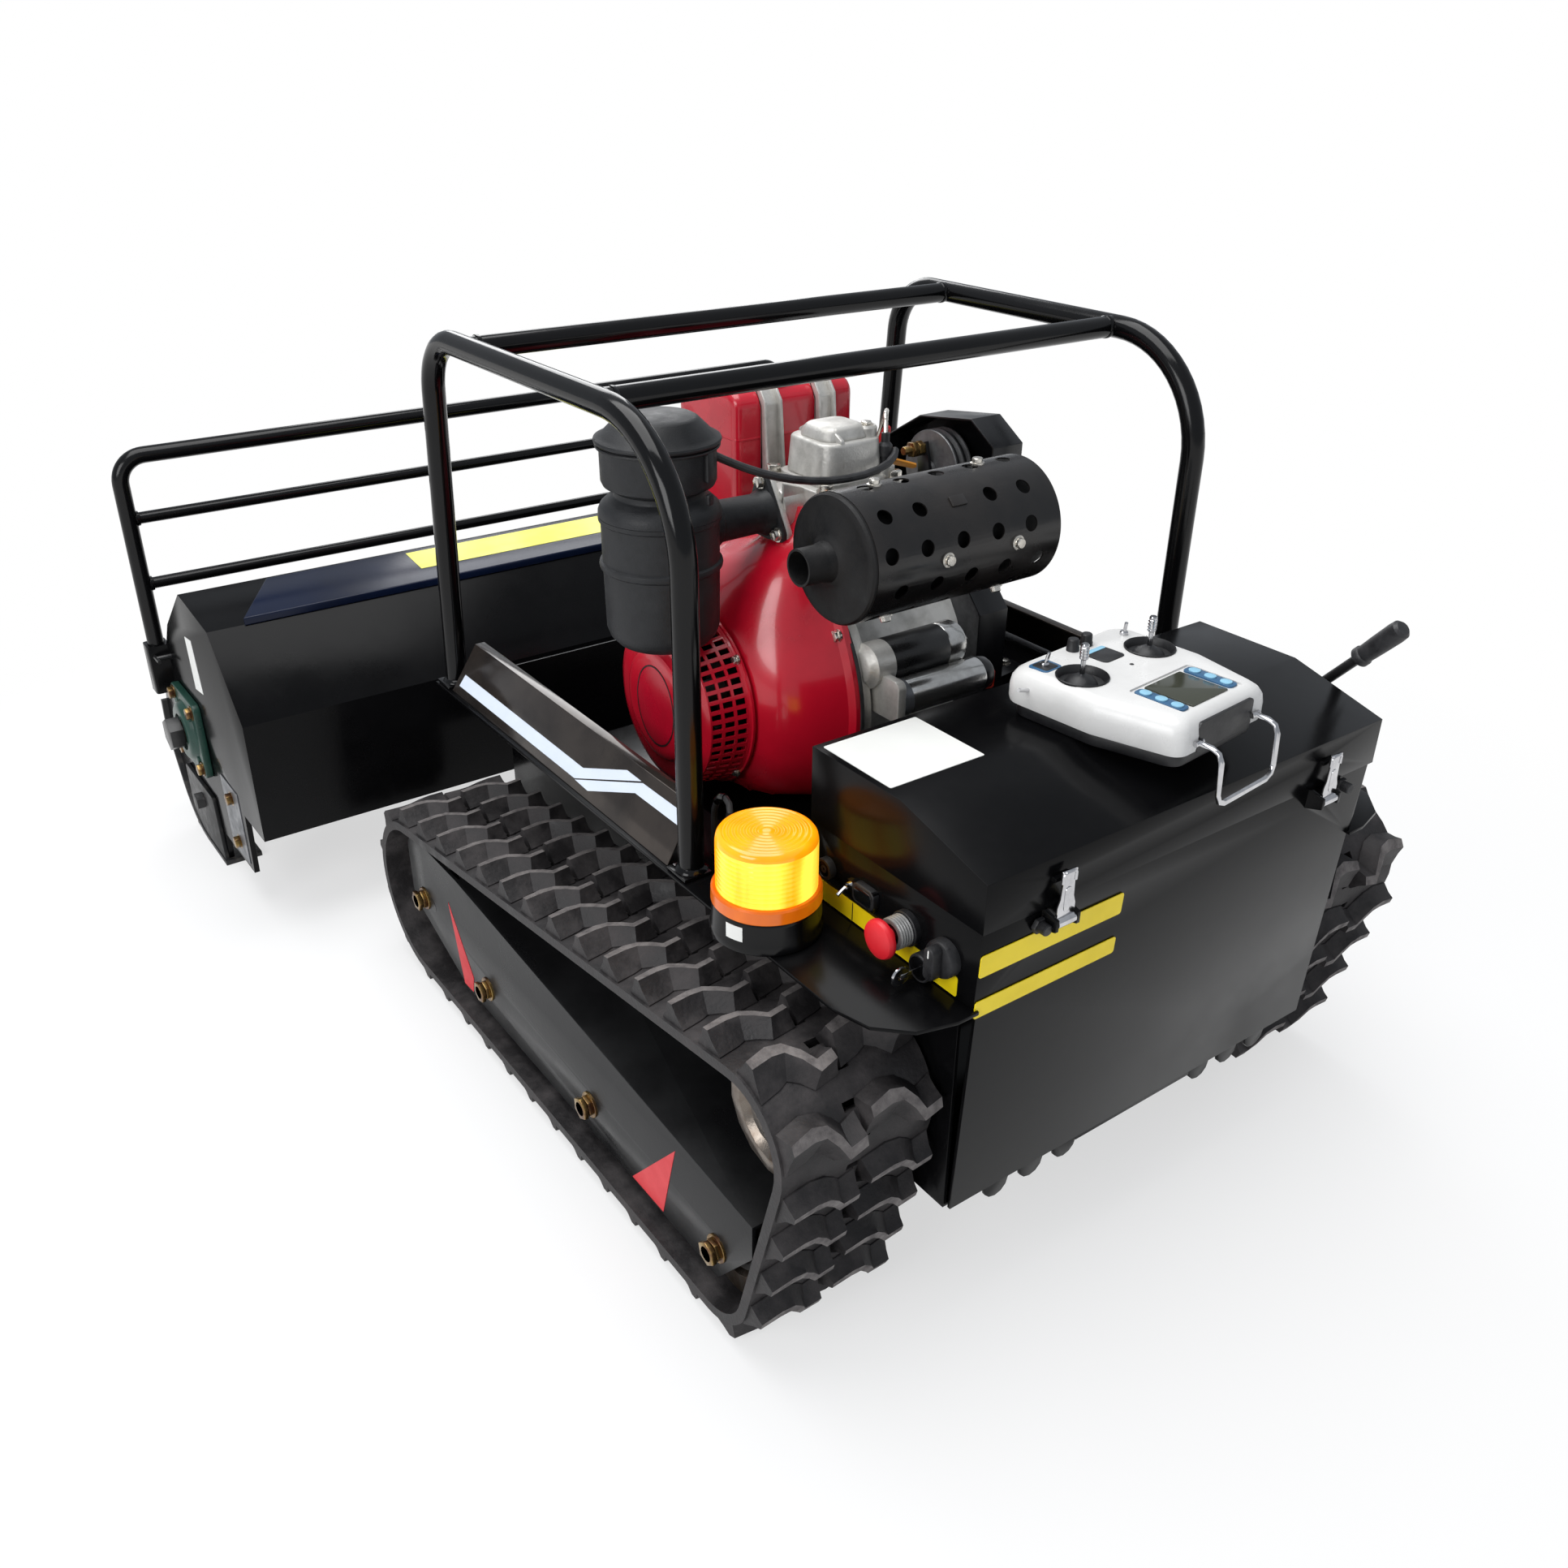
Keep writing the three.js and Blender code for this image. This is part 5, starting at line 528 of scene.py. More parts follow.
for side, sign in (("left", -1), ("right", 1)):
    rail = copied("track_frame_" + side, "track_frame_plates_" + side, 0.0012)
    face_x = abs(middle_of("track_belt_" + side).x) + plate_out
    cut_away(rail, lambda face: abs(face.center.x) > face_x + 0.0004)
    settled(rail, frame_paint, "track_frame_" + side)
    bolts = []
    for i, (y, z) in enumerate(bolt_places):
        out = sign * face_x
        washer = turned("washer", "X", (y, z), [(0.0, -0.002), (0.0165, -0.002), (0.0165, 0.0024),
            (0.0158, 0.003), (0.0, 0.003)], 36, start=out, way=sign)
        nut = slab("nut", hexagon(y, z, 0.0138, 0.2 * i), "X", out + sign * 0.0028,
            out + sign * 0.0085, 0.0007)
        lock = slab("lock_nut", hexagon(y, z, 0.0148, 0.2 * i + 0.35), "X", out + sign * 0.0095,
            out + sign * 0.015, 0.0009)
        stub = turned("stub", "X", (y, z), [(0.0, 0.0), (0.0088, 0.0), (0.0088, 0.015),
            (0.0, 0.015)], 24, start=out, way=sign)
        bolts += [washer, nut, lock, stub]
    settled(joined("roller_bolts_" + side, bolts), bolt_zinc)
    for number, corners in enumerate((((0.776, 0.174), (0.749, 0.057), (0.7215, 0.0585),
            (0.7155, 0.085)), ((0.201, 0.17), (0.298, 0.058), (0.231, 0.058)))):
        sticker = slab(f"triangle_{side}_{number + 1}", corners, "X", sign * (face_x - 0.0006),
            sign * (face_x + 0.0005))
        settled(sticker, signal_red)
    slot_hole = [polar(0.836, 0.136, 0.0095, a) for a in [math.pi / 2 + i * math.pi / 8
        for i in range(9)]] + [(0.861, 0.1265), (0.861, 0.1455)]
    shadow = slab("tensioner_slot_" + side, slot_hole, "X", sign * (face_x - 0.0008),
        sign * (face_x + 0.0003))
    settled(shadow, frame_paint)


# Tub and fenders: folded steel plate welded into a box between the tracks, its flange carried
# out over them, all in gloss black. The bar under the rear edge ends in rounded tabs.
gloss_black = coat("gloss_black", "black_gloss", (7, 7, 8), 0.16, (11, 11, 12), grain=5,
    spread=0.35, bump=0.06, fine=60, shine=0.26)
panel_black = coat("panel_black", "black_gloss", (8, 8, 9), 0.2, (13, 13, 14), grain=5, spread=0.35,
    bump=0.06, fine=60, shine=0.1)
tub = copied("chassis_tub", "tub", 0.0014)
settled(tub, panel_black, "chassis_tub", slot="black_satin")


# Side fairings: polished plate beside the engine, brown-black and mirror bright. The left one
# has a pale double stripe with a step in it, which is a sticker.
polished = coat("polished", "polished_black", (66, 60, 56), 0.12, (46, 42, 40), metal=0.55,
    grain=14, spread=0.5, bump=0.05, fine=40, shine=0.5)
stripe_white = coat("stripe_white", "shell_white", (206, 214, 226), 0.35, (196, 205, 219), grain=10,
    shine=0.3)
for side in ("left", "right"):
    wall = copied("side_fairing_" + side, "fairing_" + side, 0.001)
    settled(wall, polished, "side_fairing_" + side)
wall_low, wall_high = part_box("side_fairing_left")
wall_top_x = -0.3455
stripes = (((0.851, 0.445), (0.846, 0.4602), (0.5262, 0.4598), (0.4474, 0.4868), (0.4166, 0.4865),
    (0.5345, 0.4452)), ((0.5325, 0.4443), (0.4126, 0.4858), (0.326, 0.4866), (0.326, 0.4735),
    (0.4186, 0.473), (0.5016, 0.4434)))
for number, outline in enumerate(stripes):
    band = slab(f"fairing_stripe_{number + 1}", outline, "X", 0.0004, -0.0005)
    for vertex in band.data.vertices:
        share = (wall_high.z - vertex.co.z) / (wall_high.z - wall_low.z)
        vertex.co.x += wall_top_x + share * (wall_low.x - wall_top_x)
    settled(band, stripe_white)


# Roll cage: two hoops of 28 mm steel tube bent cold, two cross bars and welded feet that are
# bolted to the fenders, all powder coated gloss black.
def bent(corners, bends, steps=10):
    """A line through corners, each inner one rounded to its bend radius."""
    corners = [Vector(corner) for corner in corners]
    line = [corners[0]]
    for before, corner, after, radius in zip(corners, corners[1:], corners[2:], bends):
        back, on = (before - corner).normalized(), (after - corner).normalized()
        half = back.angle(on) / 2
        centre = corner + (back + on).normalized() * (radius / math.sin(half))
        start = corner + back * (radius / math.tan(half)) - centre
        turn = start.cross(corner + on * (radius / math.tan(half)) - centre)
        for i in range(steps + 1):
            line.append(centre + Matrix.Rotation((math.pi - 2 * half) * i / steps, 3, turn) @ start)
    line.append(corners[-1])
    return line


def rod(name, line, radius, sides=20):
    """A round bar or tube along a line, closed at its ends."""
    path = bpy.data.curves.new(name, "CURVE")
    path.dimensions = "3D"
    path.bevel_depth = radius
    path.bevel_resolution = max(1, sides // 4 - 1)
    path.use_fill_caps = True
    run = path.splines.new("POLY")
    run.points.add(len(line) - 1)
    for point, place in zip(run.points, line):
        point.co = (*place, 1)
    piece = bpy.data.objects.new(name, path)
    bpy.context.scene.collection.objects.link(piece)
    only(piece)
    bpy.ops.object.convert(target="MESH")
    piece = bpy.context.object
    in_edit(piece)
    bpy.ops.mesh.remove_doubles(threshold=2e-05)
    out_of_edit()
    return piece


tube_radius, cage_x = 0.014, 0.362
cage_foot, cage_top = 0.4346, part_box("roll_cage")[1].z - 0.014
cage_rear, cage_front, cage_lean = 0.3, 0.886, 0.033
cage_parts = []
for sign in (-1, 1):
    x = sign * cage_x
    hoop = bent([(x, cage_rear, cage_foot), (x, cage_rear, cage_top), (x, cage_front - cage_lean,
        cage_top), (x, cage_front, cage_foot + 0.001)], [0.135, 0.072], 14)
    cage_parts.append(rod("hoop", hoop, tube_radius, 28))
    for y in (cage_rear, cage_front):
        cage_parts.append(slab("foot", [(x - sign * 0.014, y - 0.018), (x + sign * 0.02, y - 0.018),
            (x + sign * 0.02, y + 0.018), (x - sign * 0.014, y + 0.018)], "Z", cage_foot,
            cage_foot + 0.004, 0.001))
        weld = [(tube_radius - 0.001, cage_foot + 0.004), (tube_radius + 0.004, cage_foot + 0.004),
            (tube_radius + 0.003, cage_foot + 0.006), (tube_radius - 0.001, cage_foot + 0.009)]
        cage_parts.append(turned("weld", "Z", (x, y), weld, 28, closed=True))
for y in (cage_rear + 0.147, cage_front - cage_lean - 0.101):
    cage_parts.append(rod("bar", [(-cage_x, y, cage_top), (cage_x, y, cage_top)], 0.013, 28))
    for sign in (-1, 1):
        bead = sign * (cage_x - tube_radius)
        cage_parts.append(turned("bead", "X", (y, cage_top), [(0.0125, 0.001), (0.0139, 0.001),
            (0.0137, -0.003), (0.0128, -0.004)], 28, closed=True, start=bead, way=sign))
settled(joined("cage", cage_parts), gloss_black, "roll_cage", angle=40)


# Control box and lid: folded gloss black sheet, welded at the corners. The lid's hinges stand
# at the front and two toggle clips hold it at the back. Labels on it are left bare.
label_yellow = coat("label_yellow", "shell_white", (246, 218, 20), 0.42, (232, 204, 16), grain=9,
    shine=0.4, spread=0.2)
label_pale = coat("label_pale", "shell_white", (222, 222, 218), 0.4, (226, 226, 222), grain=9,
    shine=0.4, spread=0.2)
chrome = coat("chrome", "chrome", (206, 206, 208), 0.14, (172, 172, 176), metal=1.0, grain=30,
    spread=0.5, bump=0.05)
knob_plastic = coat("knob_plastic", "black_satin", (24, 24, 26), 0.5, (40, 40, 42), grain=50,
    bump=0.3, fine=500, shine=0.4)
box_half, box_rear, box_top = 0.283, -0.051, 0.52
box_lean = (0.051 - 0.036) / (box_top - 0.179)
box_shell = copied("control_box", "control_box_shell", 0.0014)
settled(box_shell, panel_black, "control_box")
lid = copied("control_box_lid", "lid", 0.0022, segments=3)
settled(lid, panel_black, "control_box_lid", body="lid")


def on_rear(piece):
    """Leans a piece that was drawn upright at y = 0 against the box's sloping rear face."""
    for vertex in piece.data.vertices:
        vertex.co.y += box_rear + (box_top - vertex.co.z) * box_lean
    return piece


def rounded(u0, v0, u1, v1, radius, steps=4):
    """The outline of an upright rectangle with round corners."""
    corners = ((u1, v1, 0), (u0, v1, 1), (u0, v0, 2), (u1, v0, 3))
    line = []
    for u, v, quarter in corners:
        middle_u = u - math.copysign(radius, u - (u0 + u1) / 2)
        middle_v = v - math.copysign(radius, v - (v0 + v1) / 2)
        for i in range(steps + 1):
            turn = (quarter + i / steps) * math.pi / 2
            line.append(polar(middle_u, middle_v, radius, turn))
    return line


for number, (low, high) in enumerate(((0.4705, 0.4948), (0.424, 0.4432))):
    plate = slab(f"rear_label_{number + 1}", rounded(-0.2825, low, -0.0985, high, 0.003), "Y",
        0.0004, -0.0005)
    settled(on_rear(plate), label_yellow)
side_label = slab("side_label", rounded(-0.024, 0.4355, 0.189, 0.4575, 0.003), "X",
    -box_half + 0.0004, -box_half - 0.0005)
settled(side_label, label_yellow)
for edge in (0.022, 0.068, 0.128):
    gap = slab(f"side_label_line_{round(edge * 1000)}", rounded(edge, 0.4362, edge + 0.0012, 0.4568,
        0.0005), "X", -box_half - 0.0004, -box_half - 0.0007)
    settled(gap, knob_plastic)
lid_label = slab("lid_label", rounded(-0.279, 0.086, -0.162, 0.188, 0.002), "Z", 0.6016, 0.6026)
settled(lid_label, label_pale, body="lid")

for side, sign in (("left", -1), ("right", 1)):
    plate = slab("clip", [(-0.011, -0.002), (0.011, -0.002), (0.011, 0.016), (0.0082, 0.024),
        (0.0074, 0.04), (0.0092, 0.046), (0.0092, 0.053), (-0.0092, 0.053), (-0.0092, 0.046),
        (-0.0074, 0.04), (-0.0082, 0.024), (-0.011, 0.016)], "Y", -0.0014, 0.0014, 0.0007)
    rib = slab("rib", rounded(-0.0045, 0.01, 0.0045, 0.036, 0.004), "Y", -0.0012, -0.0022, 0.0004)
    barrel = turned("barrel", "X", (0, 0), [(0.0034, -0.011), (0.0055, -0.011), (0.0055, 0.011),
        (0.0034, 0.011)], 28, closed=True)
    hook = rod("hook", bent([(-0.0078, -0.001, 0.041), (-0.0078, -0.001, 0.0515),
        (0.0078, -0.001, 0.0515), (0.0078, -0.001, 0.041)], [0.004, 0.004], 6), 0.0016, 12)
    latch = joined("latch_plate_" + side, [plate, rib, barrel, hook])
    settled(moved(latch, Matrix.Translation((sign * 0.195, -0.063, 0.508))), chrome,
        "latch_" + side, body="latch_" + side)

for number, (x, z) in enumerate(((-0.216, 0.5045), (0.233, 0.509))):
    peg = [turned("peg_nut", "Y", (x, z), [(0.0, -0.001), (0.0085, -0.001), (0.0085, -0.004),
        (0.0078, -0.0055), (0.0, -0.0055)], 6),
        turned("peg_stud", "Y", (x, z), [(0.0, -0.004), (0.0058, -0.004), (0.0058, -0.0135),
        (0.005, -0.0145), (0.0, -0.0145)], 24)]
    stud = joined(f"rear_peg_{number + 1}", peg)
    settled(on_rear(stud), knob_plastic)


# Controls on the box's left side: the stop button's threaded collar of clear plastic, its red
# mushroom head, the starting switch with a bar handle, the key lock, a socket and a voltmeter.
cap_red = coat("cap_red", "control_red", (214, 30, 42), 0.42, (200, 26, 38), grain=14, bump=0.1,
    fine=420, shine=0.45)
collar_grey = coat("collar_grey", "black_satin", (142, 142, 140), 0.28, (110, 110, 110), grain=40,
    shine=0.5)
meter_glass = coat("meter_glass", "black_gloss", (12, 14, 16), 0.06, (18, 20, 22), grain=8,
    shine=0.7, spread=0.3)
wall = -box_half
ring = turned("stop_ring", "X", (0.046, 0.474), [(0.0152, 0.001), (0.018, 0.001), (0.018, -0.006),
    (0.017, -0.007), (0.0152, -0.007)], closed=True, start=wall)
settled(ring, knob_plastic)
thread = [(0.011, wall - 0.006)]
for turn in range(5):
    along = wall - 0.007 - turn * 0.003
    thread += [(0.0153, along), (0.0162, along - 0.0008), (0.0162, along - 0.0016),
        (0.0153, along - 0.0024)]
thread += [(0.0153, wall - 0.0221), (0.011, wall - 0.0221)]
settled(turned("stop_collar", "X", (0.046, 0.474), thread, closed=True), collar_grey)
head = [(0.0, -0.0416), (0.009, -0.0413), (0.015, -0.0403), (0.0185, -0.0385), (0.0198, -0.036),
    (0.02, -0.0335), (0.0192, -0.0312), (0.0168, -0.0296), (0.013, -0.0286), (0.0105, -0.028),
    (0.01, -0.0276), (0.007, -0.0276), (0.007, -0.0004), (0.0, -0.0004)]
mushroom = turned("stop_button", "X", (0.046, 0.474), [(r, wall + w) for r, w in head])
settled(mushroom, cap_red, "estop_button", body="estop")

dial = turned("switch_dial", "X", (-0.008, 0.472), [(0.0, -0.0003), (0.019, -0.0003),
    (0.019, -0.0085), (0.018, -0.011), (0.015, -0.0122), (0.0, -0.0122)], start=wall)
handle = slab("switch_handle", rounded(-0.0145, 0.4552, -0.0015, 0.4888, 0.0045), "X",
    wall - 0.0115, wall - 0.0238, 0.0012, segments=3)
mark = slab("switch_mark", rounded(-0.0088, 0.479, -0.0072, 0.4875, 0.0007), "X", wall - 0.0236,
    wall - 0.024)
mark.data.materials.append(label_pale)
for part in (dial, handle):
    part.data.materials.append(knob_plastic)
settled(joined("start_switch", [dial, handle, mark]), None, "start_knob", slot="black_satin",
    body="start_knob")

lock = turned("key_lock", "X", (0.016, 0.449), [(0.0128, 0.001), (0.0145, 0.001), (0.0145, -0.011),
    (0.0135, -0.0124), (0.0122, -0.0124), (0.0118, -0.011), (0.0, -0.0108), (0.0, -0.004),
    (0.0128, -0.004)], closed=True, start=wall)
settled(lock, knob_plastic)
shank = slab("key_shank", rounded(0.0145, 0.4462, 0.0175, 0.4518, 0.0006), "X", wall - 0.0123,
    wall - 0.0345, 0.0003)
bow = turned("key_bow", "Y", (wall - 0.034, 0.449), [(0.0032, 0.0146), (0.0095, 0.0146),
    (0.0104, 0.0153), (0.0104, 0.0167), (0.0095, 0.0174), (0.0032, 0.0174)], closed=True)
settled(joined("key", [shank, bow]), chrome, "ignition_key", body="ignition_key")

socket = turned("charge_socket", "X", (0.168, 0.478), [(0.0, -0.0066), (0.0028, -0.0074),
    (0.004, -0.0074), (0.0046, -0.006), (0.008, -0.006), (0.0086, -0.0078), (0.0112, -0.0078),
    (0.0116, -0.006), (0.0116, 0.001), (0.0, 0.001)], start=wall)
settled(socket, knob_plastic)
toggle = [turned("toggle_nut", "X", (0.132, 0.4755), [(0.0, 0.0), (0.0072, 0.0), (0.0072, -0.003),
    (0.0, -0.003)], 6, start=wall),
    turned("toggle_neck", "X", (0.132, 0.4755), [(0.0, -0.002), (0.0042, -0.002), (0.0042, -0.0085),
    (0.0, -0.0085)], 20, start=wall),
    rod("toggle_lever", [(wall - 0.008, 0.132, 0.4755), (wall - 0.013, 0.1315, 0.4735),
    (wall - 0.018, 0.131, 0.4705)], 0.0021, 12)]
settled(joined("toggle_switch", toggle), chrome)
bezel = slab("meter_bezel", rounded(0.0895, 0.4668, 0.1225, 0.4892, 0.007), "X", wall + 0.001,
    wall - 0.0078, 0.0018, segments=3)
settled(bezel, knob_plastic)
glass = slab("meter_glass", rounded(0.093, 0.4702, 0.119, 0.4858, 0.005), "X", wall - 0.007,
    wall - 0.0082, 0.0005)
settled(glass, meter_glass)


# Beacon: a black base with a clamp ring of orange acrylic, and a ribbed amber lens that is lit
# from inside, so it glows in hot upright streaks. Its cable is taped to the cage's rear post.
def glowing(name, slot, low, high, rough, strength, stretch, grain=26.0):
    """Lit acrylic: its glow runs between two colours in streaks that stretch upwards."""
    made, tree, shader = new_paint(name)
    usual_slots[made.name] = slot
    place = wired(tree, "TexCoord", {}).outputs["Object"]
    squeeze = wired(tree, "Mapping", {"Scale": (1.0, 1.0, stretch), "Vector": place})
    streak = wired(tree, "TexNoise", {"Scale": grain, "Detail": 3.0,
        "Vector": squeeze.outputs["Vector"]})
    ramp = wired(tree, "ValToRGB", {"Fac": streak.outputs["Fac"]})
    for stop, position, shade in zip(ramp.color_ramp.elements, (0.38, 0.62), (low, high)):
        stop.position, stop.color = position, colour(*shade)
    wired(tree, shader, {"Base Color": colour(*low), "Emission Color": ramp.outputs["Color"],
        "Emission Strength": strength, "Roughness": rough, "Specular IOR Level": 0.6})
    return made


lens_glow = glowing("lens_glow", "amber_lens", (255, 148, 0), (255, 242, 84), 0.12, 1.1, 0.14)
lens_top = glowing("lens_top", "amber_lens", (240, 128, 4), (255, 176, 16), 0.15, 0.75, 1.0, 14.0)
ring_glow = glowing("ring_glow", "amber_lens", (176, 78, 4), (226, 120, 12), 0.2, 0.55, 0.4, 18.0)
beacon_x, beacon_y = middle_of("beacon_lens").x, middle_of("beacon_lens").y - drawing_zero
base_foot, lens_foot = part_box("beacon_base")[0].z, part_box("beacon_lens")[0].z
lens_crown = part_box("beacon_lens")[1].z - 0.03
base = [(0.0, 0.0), (0.054, 0.0), (0.056, 0.002), (0.056, 0.009), (0.0548, 0.011), (0.0542, 0.031),
    (0.053, 0.034), (0.0, 0.034)]
black_base = turned("beacon_housing", "Z", (beacon_x, beacon_y), base, 72, start=base_foot)
settled(black_base, gloss_black, "beacon_base", slot="black_satin")
clamp = [(0.0, base_foot + 0.0345), (0.0535, base_foot + 0.0345), (0.0548, base_foot + 0.036),
    (0.0545, base_foot + 0.048), (0.0528, lens_foot - 0.0004), (0.0, lens_foot - 0.0004)]
settled(turned("beacon_ring", "Z", (beacon_x, beacon_y), clamp, 72), ring_glow)
wall = [(0.0, lens_foot), (0.05, lens_foot)]
for rib in range(9):
    z = lens_foot + 0.004 + rib * 0.0051
    wall += [(0.05, z), (0.0494, z + 0.0006), (0.0494, z + 0.001), (0.05, z + 0.0016)]
crown = [(0.0498, lens_crown - 0.008), (0.049, lens_crown - 0.004), (0.047, lens_crown - 0.0012),
    (0.0445, lens_crown - 0.0002)]
for step in range(7):
    r = 0.044 - step * 0.0056
    crown += [(r, lens_crown), (r - 0.0014, lens_crown - 0.0009), (r - 0.0028, lens_crown - 0.0009),
        (r - 0.0042, lens_crown)]
crown += [(0.0034, lens_crown), (0.0, lens_crown)]
lens = turned("beacon_dome", "Z", (beacon_x, beacon_y), wall + crown, 72)
lens.data.materials.append(lens_glow)
lens.data.materials.append(lens_top)
for face in lens.data.polygons:
    face.material_index = 1 if face.center.z > lens_crown - 0.0075 else 0
settled(lens, None, "beacon_lens", slot="amber_lens", angle=50)
beacon_label = turned("beacon_label", "Z", (beacon_x, beacon_y), [(0.0551, 0.014), (0.0551, 0.03),
    (0.0546, 0.03), (0.0546, 0.014)], 72, closed=True, start=base_foot)
cut_away(beacon_label, lambda face: math.atan2(face.center.y - beacon_y,
    face.center.x - beacon_x) > -2.6 or math.atan2(face.center.y - beacon_y,
    face.center.x - beacon_x) < -2.95)
settled(beacon_label, label_pale)

cable_route = [(-0.356, 0.226, 0.451), (-0.356, 0.24, 0.4515), (-0.3552, 0.252, 0.4545),
    (-0.352, 0.262, 0.461), (-0.3465, 0.268, 0.47), (-0.3395, 0.271, 0.481),
    (-0.333, 0.2735, 0.492), (-0.3275, 0.278, 0.502), (-0.324, 0.285, 0.509),
    (-0.3225, 0.294, 0.5115), (-0.3222, 0.303, 0.5085), (-0.3225, 0.31, 0.501),
    (-0.3228, 0.3145, 0.49), (-0.323, 0.3155, 0.477), (-0.323, 0.3155, 0.462),
    (-0.323, 0.3155, 0.448), (-0.323, 0.3155, 0.435)]
cable = rod("beacon_cable", cable_route, 0.0035, 16)
settled(cable, knob_plastic, slot="rubber")
tape = [rod("tape", [(x, y, z) for x, y, z in cable_route[5:8]], 0.0047, 16),
    rod("tape", [(x, y, z) for x, y, z in cable_route[9:12]], 0.0046, 16)]
settled(joined("cable_tape", tape), gloss_black, slot="black_satin")
gland = turned("cable_gland", "Y", (-0.356, 0.451), [(0.0, 0.222), (0.0062, 0.222), (0.0062, 0.229),
    (0.005, 0.231), (0.0046, 0.242), (0.0036, 0.244), (0.0, 0.244)], 24)
settled(gland, knob_plastic, slot="rubber")


# Engine block: sand cast aluminium with ribs and a finned barrel, its head under a cast valve
# cover with a stepped crown, zinc plated bolts, and the injector with its pipe on the right.
cast_aluminium = coat("cast_aluminium", "cast_aluminium", (206, 204, 199), 0.45, (172, 170, 165),
    metal=0.6, grain=35, bump=0.35, fine=380, spread=0.25)
zinc_bright = coat("zinc_bright", "bare_steel", (216, 212, 204), 0.25, (178, 174, 166), metal=0.95,
    grain=60, bump=0.1)
hose_rubber = coat("hose_rubber", "rubber", (30, 30, 32), 0.5, (52, 52, 54), grain=45, bump=0.2,
    fine=500)
crank_y, crank_z = 0.533, 0.508
head_x, head_y, head_top = -0.03, 0.5, 0.756
block = copied("crankcase", "engine_block", 0.0025, segments=3)
settled(block, cast_aluminium, "crankcase")
head = copied("cylinder_head", "head_casting", 0.003, segments=3)
in_edit(head, lambda face: face.center.z > head_top + 0.0005)
bpy.ops.mesh.delete(type="FACE")
bpy.ops.mesh.select_mode(type="EDGE")
bpy.ops.mesh.select_all(action="DESELECT")
bpy.ops.mesh.select_non_manifold()
bpy.ops.mesh.fill()
out_of_edit()
settled(head, cast_aluminium, "cylinder_head")


def round_box(name, x0, x1, y0, y1, z0, z1, corner, edge, segments=4, top=1.0):
    """A cast box standing on z0: round upright corners, a softened rim and tapered sides."""
    return slab(name, rounded(x0, y0, x1, y1, corner, 6), "Z", z0, z1, edge, segments=segments,
        top=top)


def bolt(name, axis, place, along, out, radius=0.0075, height=0.006, turn=0.0):
    """A hexagon head on its washer, standing out from a face square to an axis."""
    u, v = place
    step = math.copysign(1, out)
    washer = turned(name + "_washer", axis, (u, v), [(0.0, -0.001), (radius * 1.25, -0.001),
        (radius * 1.25, 0.0014), (0.0, 0.0014)], 24, start=along, way=step)
    nut = slab(name, hexagon(u, v, radius, turn), axis, along + step * 0.001,
        along + step * (0.001 + height), 0.0006)
    return joined(name, [washer, nut])


on_head = Matrix.Translation((head_x, head_y, head_top))
cover = [round_box("cover_skirt", -0.049, 0.049, -0.049, 0.049, -0.001, 0.005, 0.018, 0.0015),
    round_box("cover_body", -0.045, 0.045, -0.045, 0.045, 0.004, 0.047, 0.022, 0.004, top=0.93),
    round_box("cover_crown", -0.036, 0.034, -0.034, 0.034, 0.045, 0.0615, 0.02, 0.006, top=0.8),
    slab("cover_rib", [(-0.0445, 0.02), (-0.04, 0.05), (-0.02, 0.0605), (0.02, 0.0605),
    (0.04, 0.05), (0.0445, 0.02)], "X", -0.022, -0.016, 0.0015),
    turned("cover_boss", "Z", (0.03, -0.02), [(0.0, 0.03), (0.013, 0.03), (0.0125, 0.056),
    (0.0105, 0.0585), (0.0, 0.0585)], 28),
    turned("injector_seat", "Z", (0.046, -0.036), [(0.0, -0.002), (0.0125, -0.002), (0.012, 0.012),
    (0.0, 0.013)], 28)]
settled(moved(joined("valve_cover", cover), on_head), cast_aluminium)
studs = [bolt("head_nut", "Z", (head_x + u, head_y + v), head_top + 0.0002, 1, 0.0085, 0.008, 0.3)
    for u, v in ((-0.05, -0.05), (0.05, -0.05), (0.05, 0.05), (-0.05, 0.05))]
studs.append(bolt("cover_nut", "Z", (head_x + 0.03, head_y - 0.02), head_top + 0.0582, 1, 0.0065,
    0.003))
for y, z in ((crank_y - 0.085, 0.6), (crank_y + 0.085, 0.6), (crank_y + 0.098, 0.45)):
    studs.append(bolt("case_bolt", "X", (y, z), -0.0655, -1, 0.007, 0.0055))
settled(joined("engine_nuts", studs), zinc_bright)
injector = turned("injector_body", "Z", (0.046, -0.036), [(0.0, 0.01), (0.0062, 0.01),
    (0.0062, 0.024), (0.0085, 0.024), (0.0085, 0.036), (0.005, 0.04), (0.005, 0.05), (0.0, 0.05)],
    24)
settled(moved(injector, on_head), hose_rubber, slot="black_satin")
pipe = rod("injector_pipe", bent([(0.046, -0.036, 0.05), (0.05, -0.03, 0.07), (0.085, 0.01, 0.062),
    (0.092, 0.05, -0.02), (0.092, 0.055, -0.116)], [0.01, 0.018, 0.018], 8), 0.0028, 12)
settled(moved(pipe, on_head), zinc_bright)
ribs = []
for step in range(5):
    x = -0.058 + step * 0.03
    ribs.append(slab("case_rib", [(0.4215, 0.47), (0.4215, 0.56), (0.464, 0.625), (0.47, 0.612),
        (0.43, 0.548), (0.43, 0.47)], "X", x, x + 0.006, 0.0015))
gear_case = turned("gear_case", "X", (crank_y, crank_z), [(0.15, -0.091), (0.176, -0.091),
    (0.176, -0.078), (0.168, -0.07), (0.12, -0.064), (0.11, -0.064), (0.11, -0.091)], 72,
    closed=True)
for vertex in gear_case.data.vertices:
    vertex.co.z = max(vertex.co.z, 0.401)
ribs.append(gear_case)
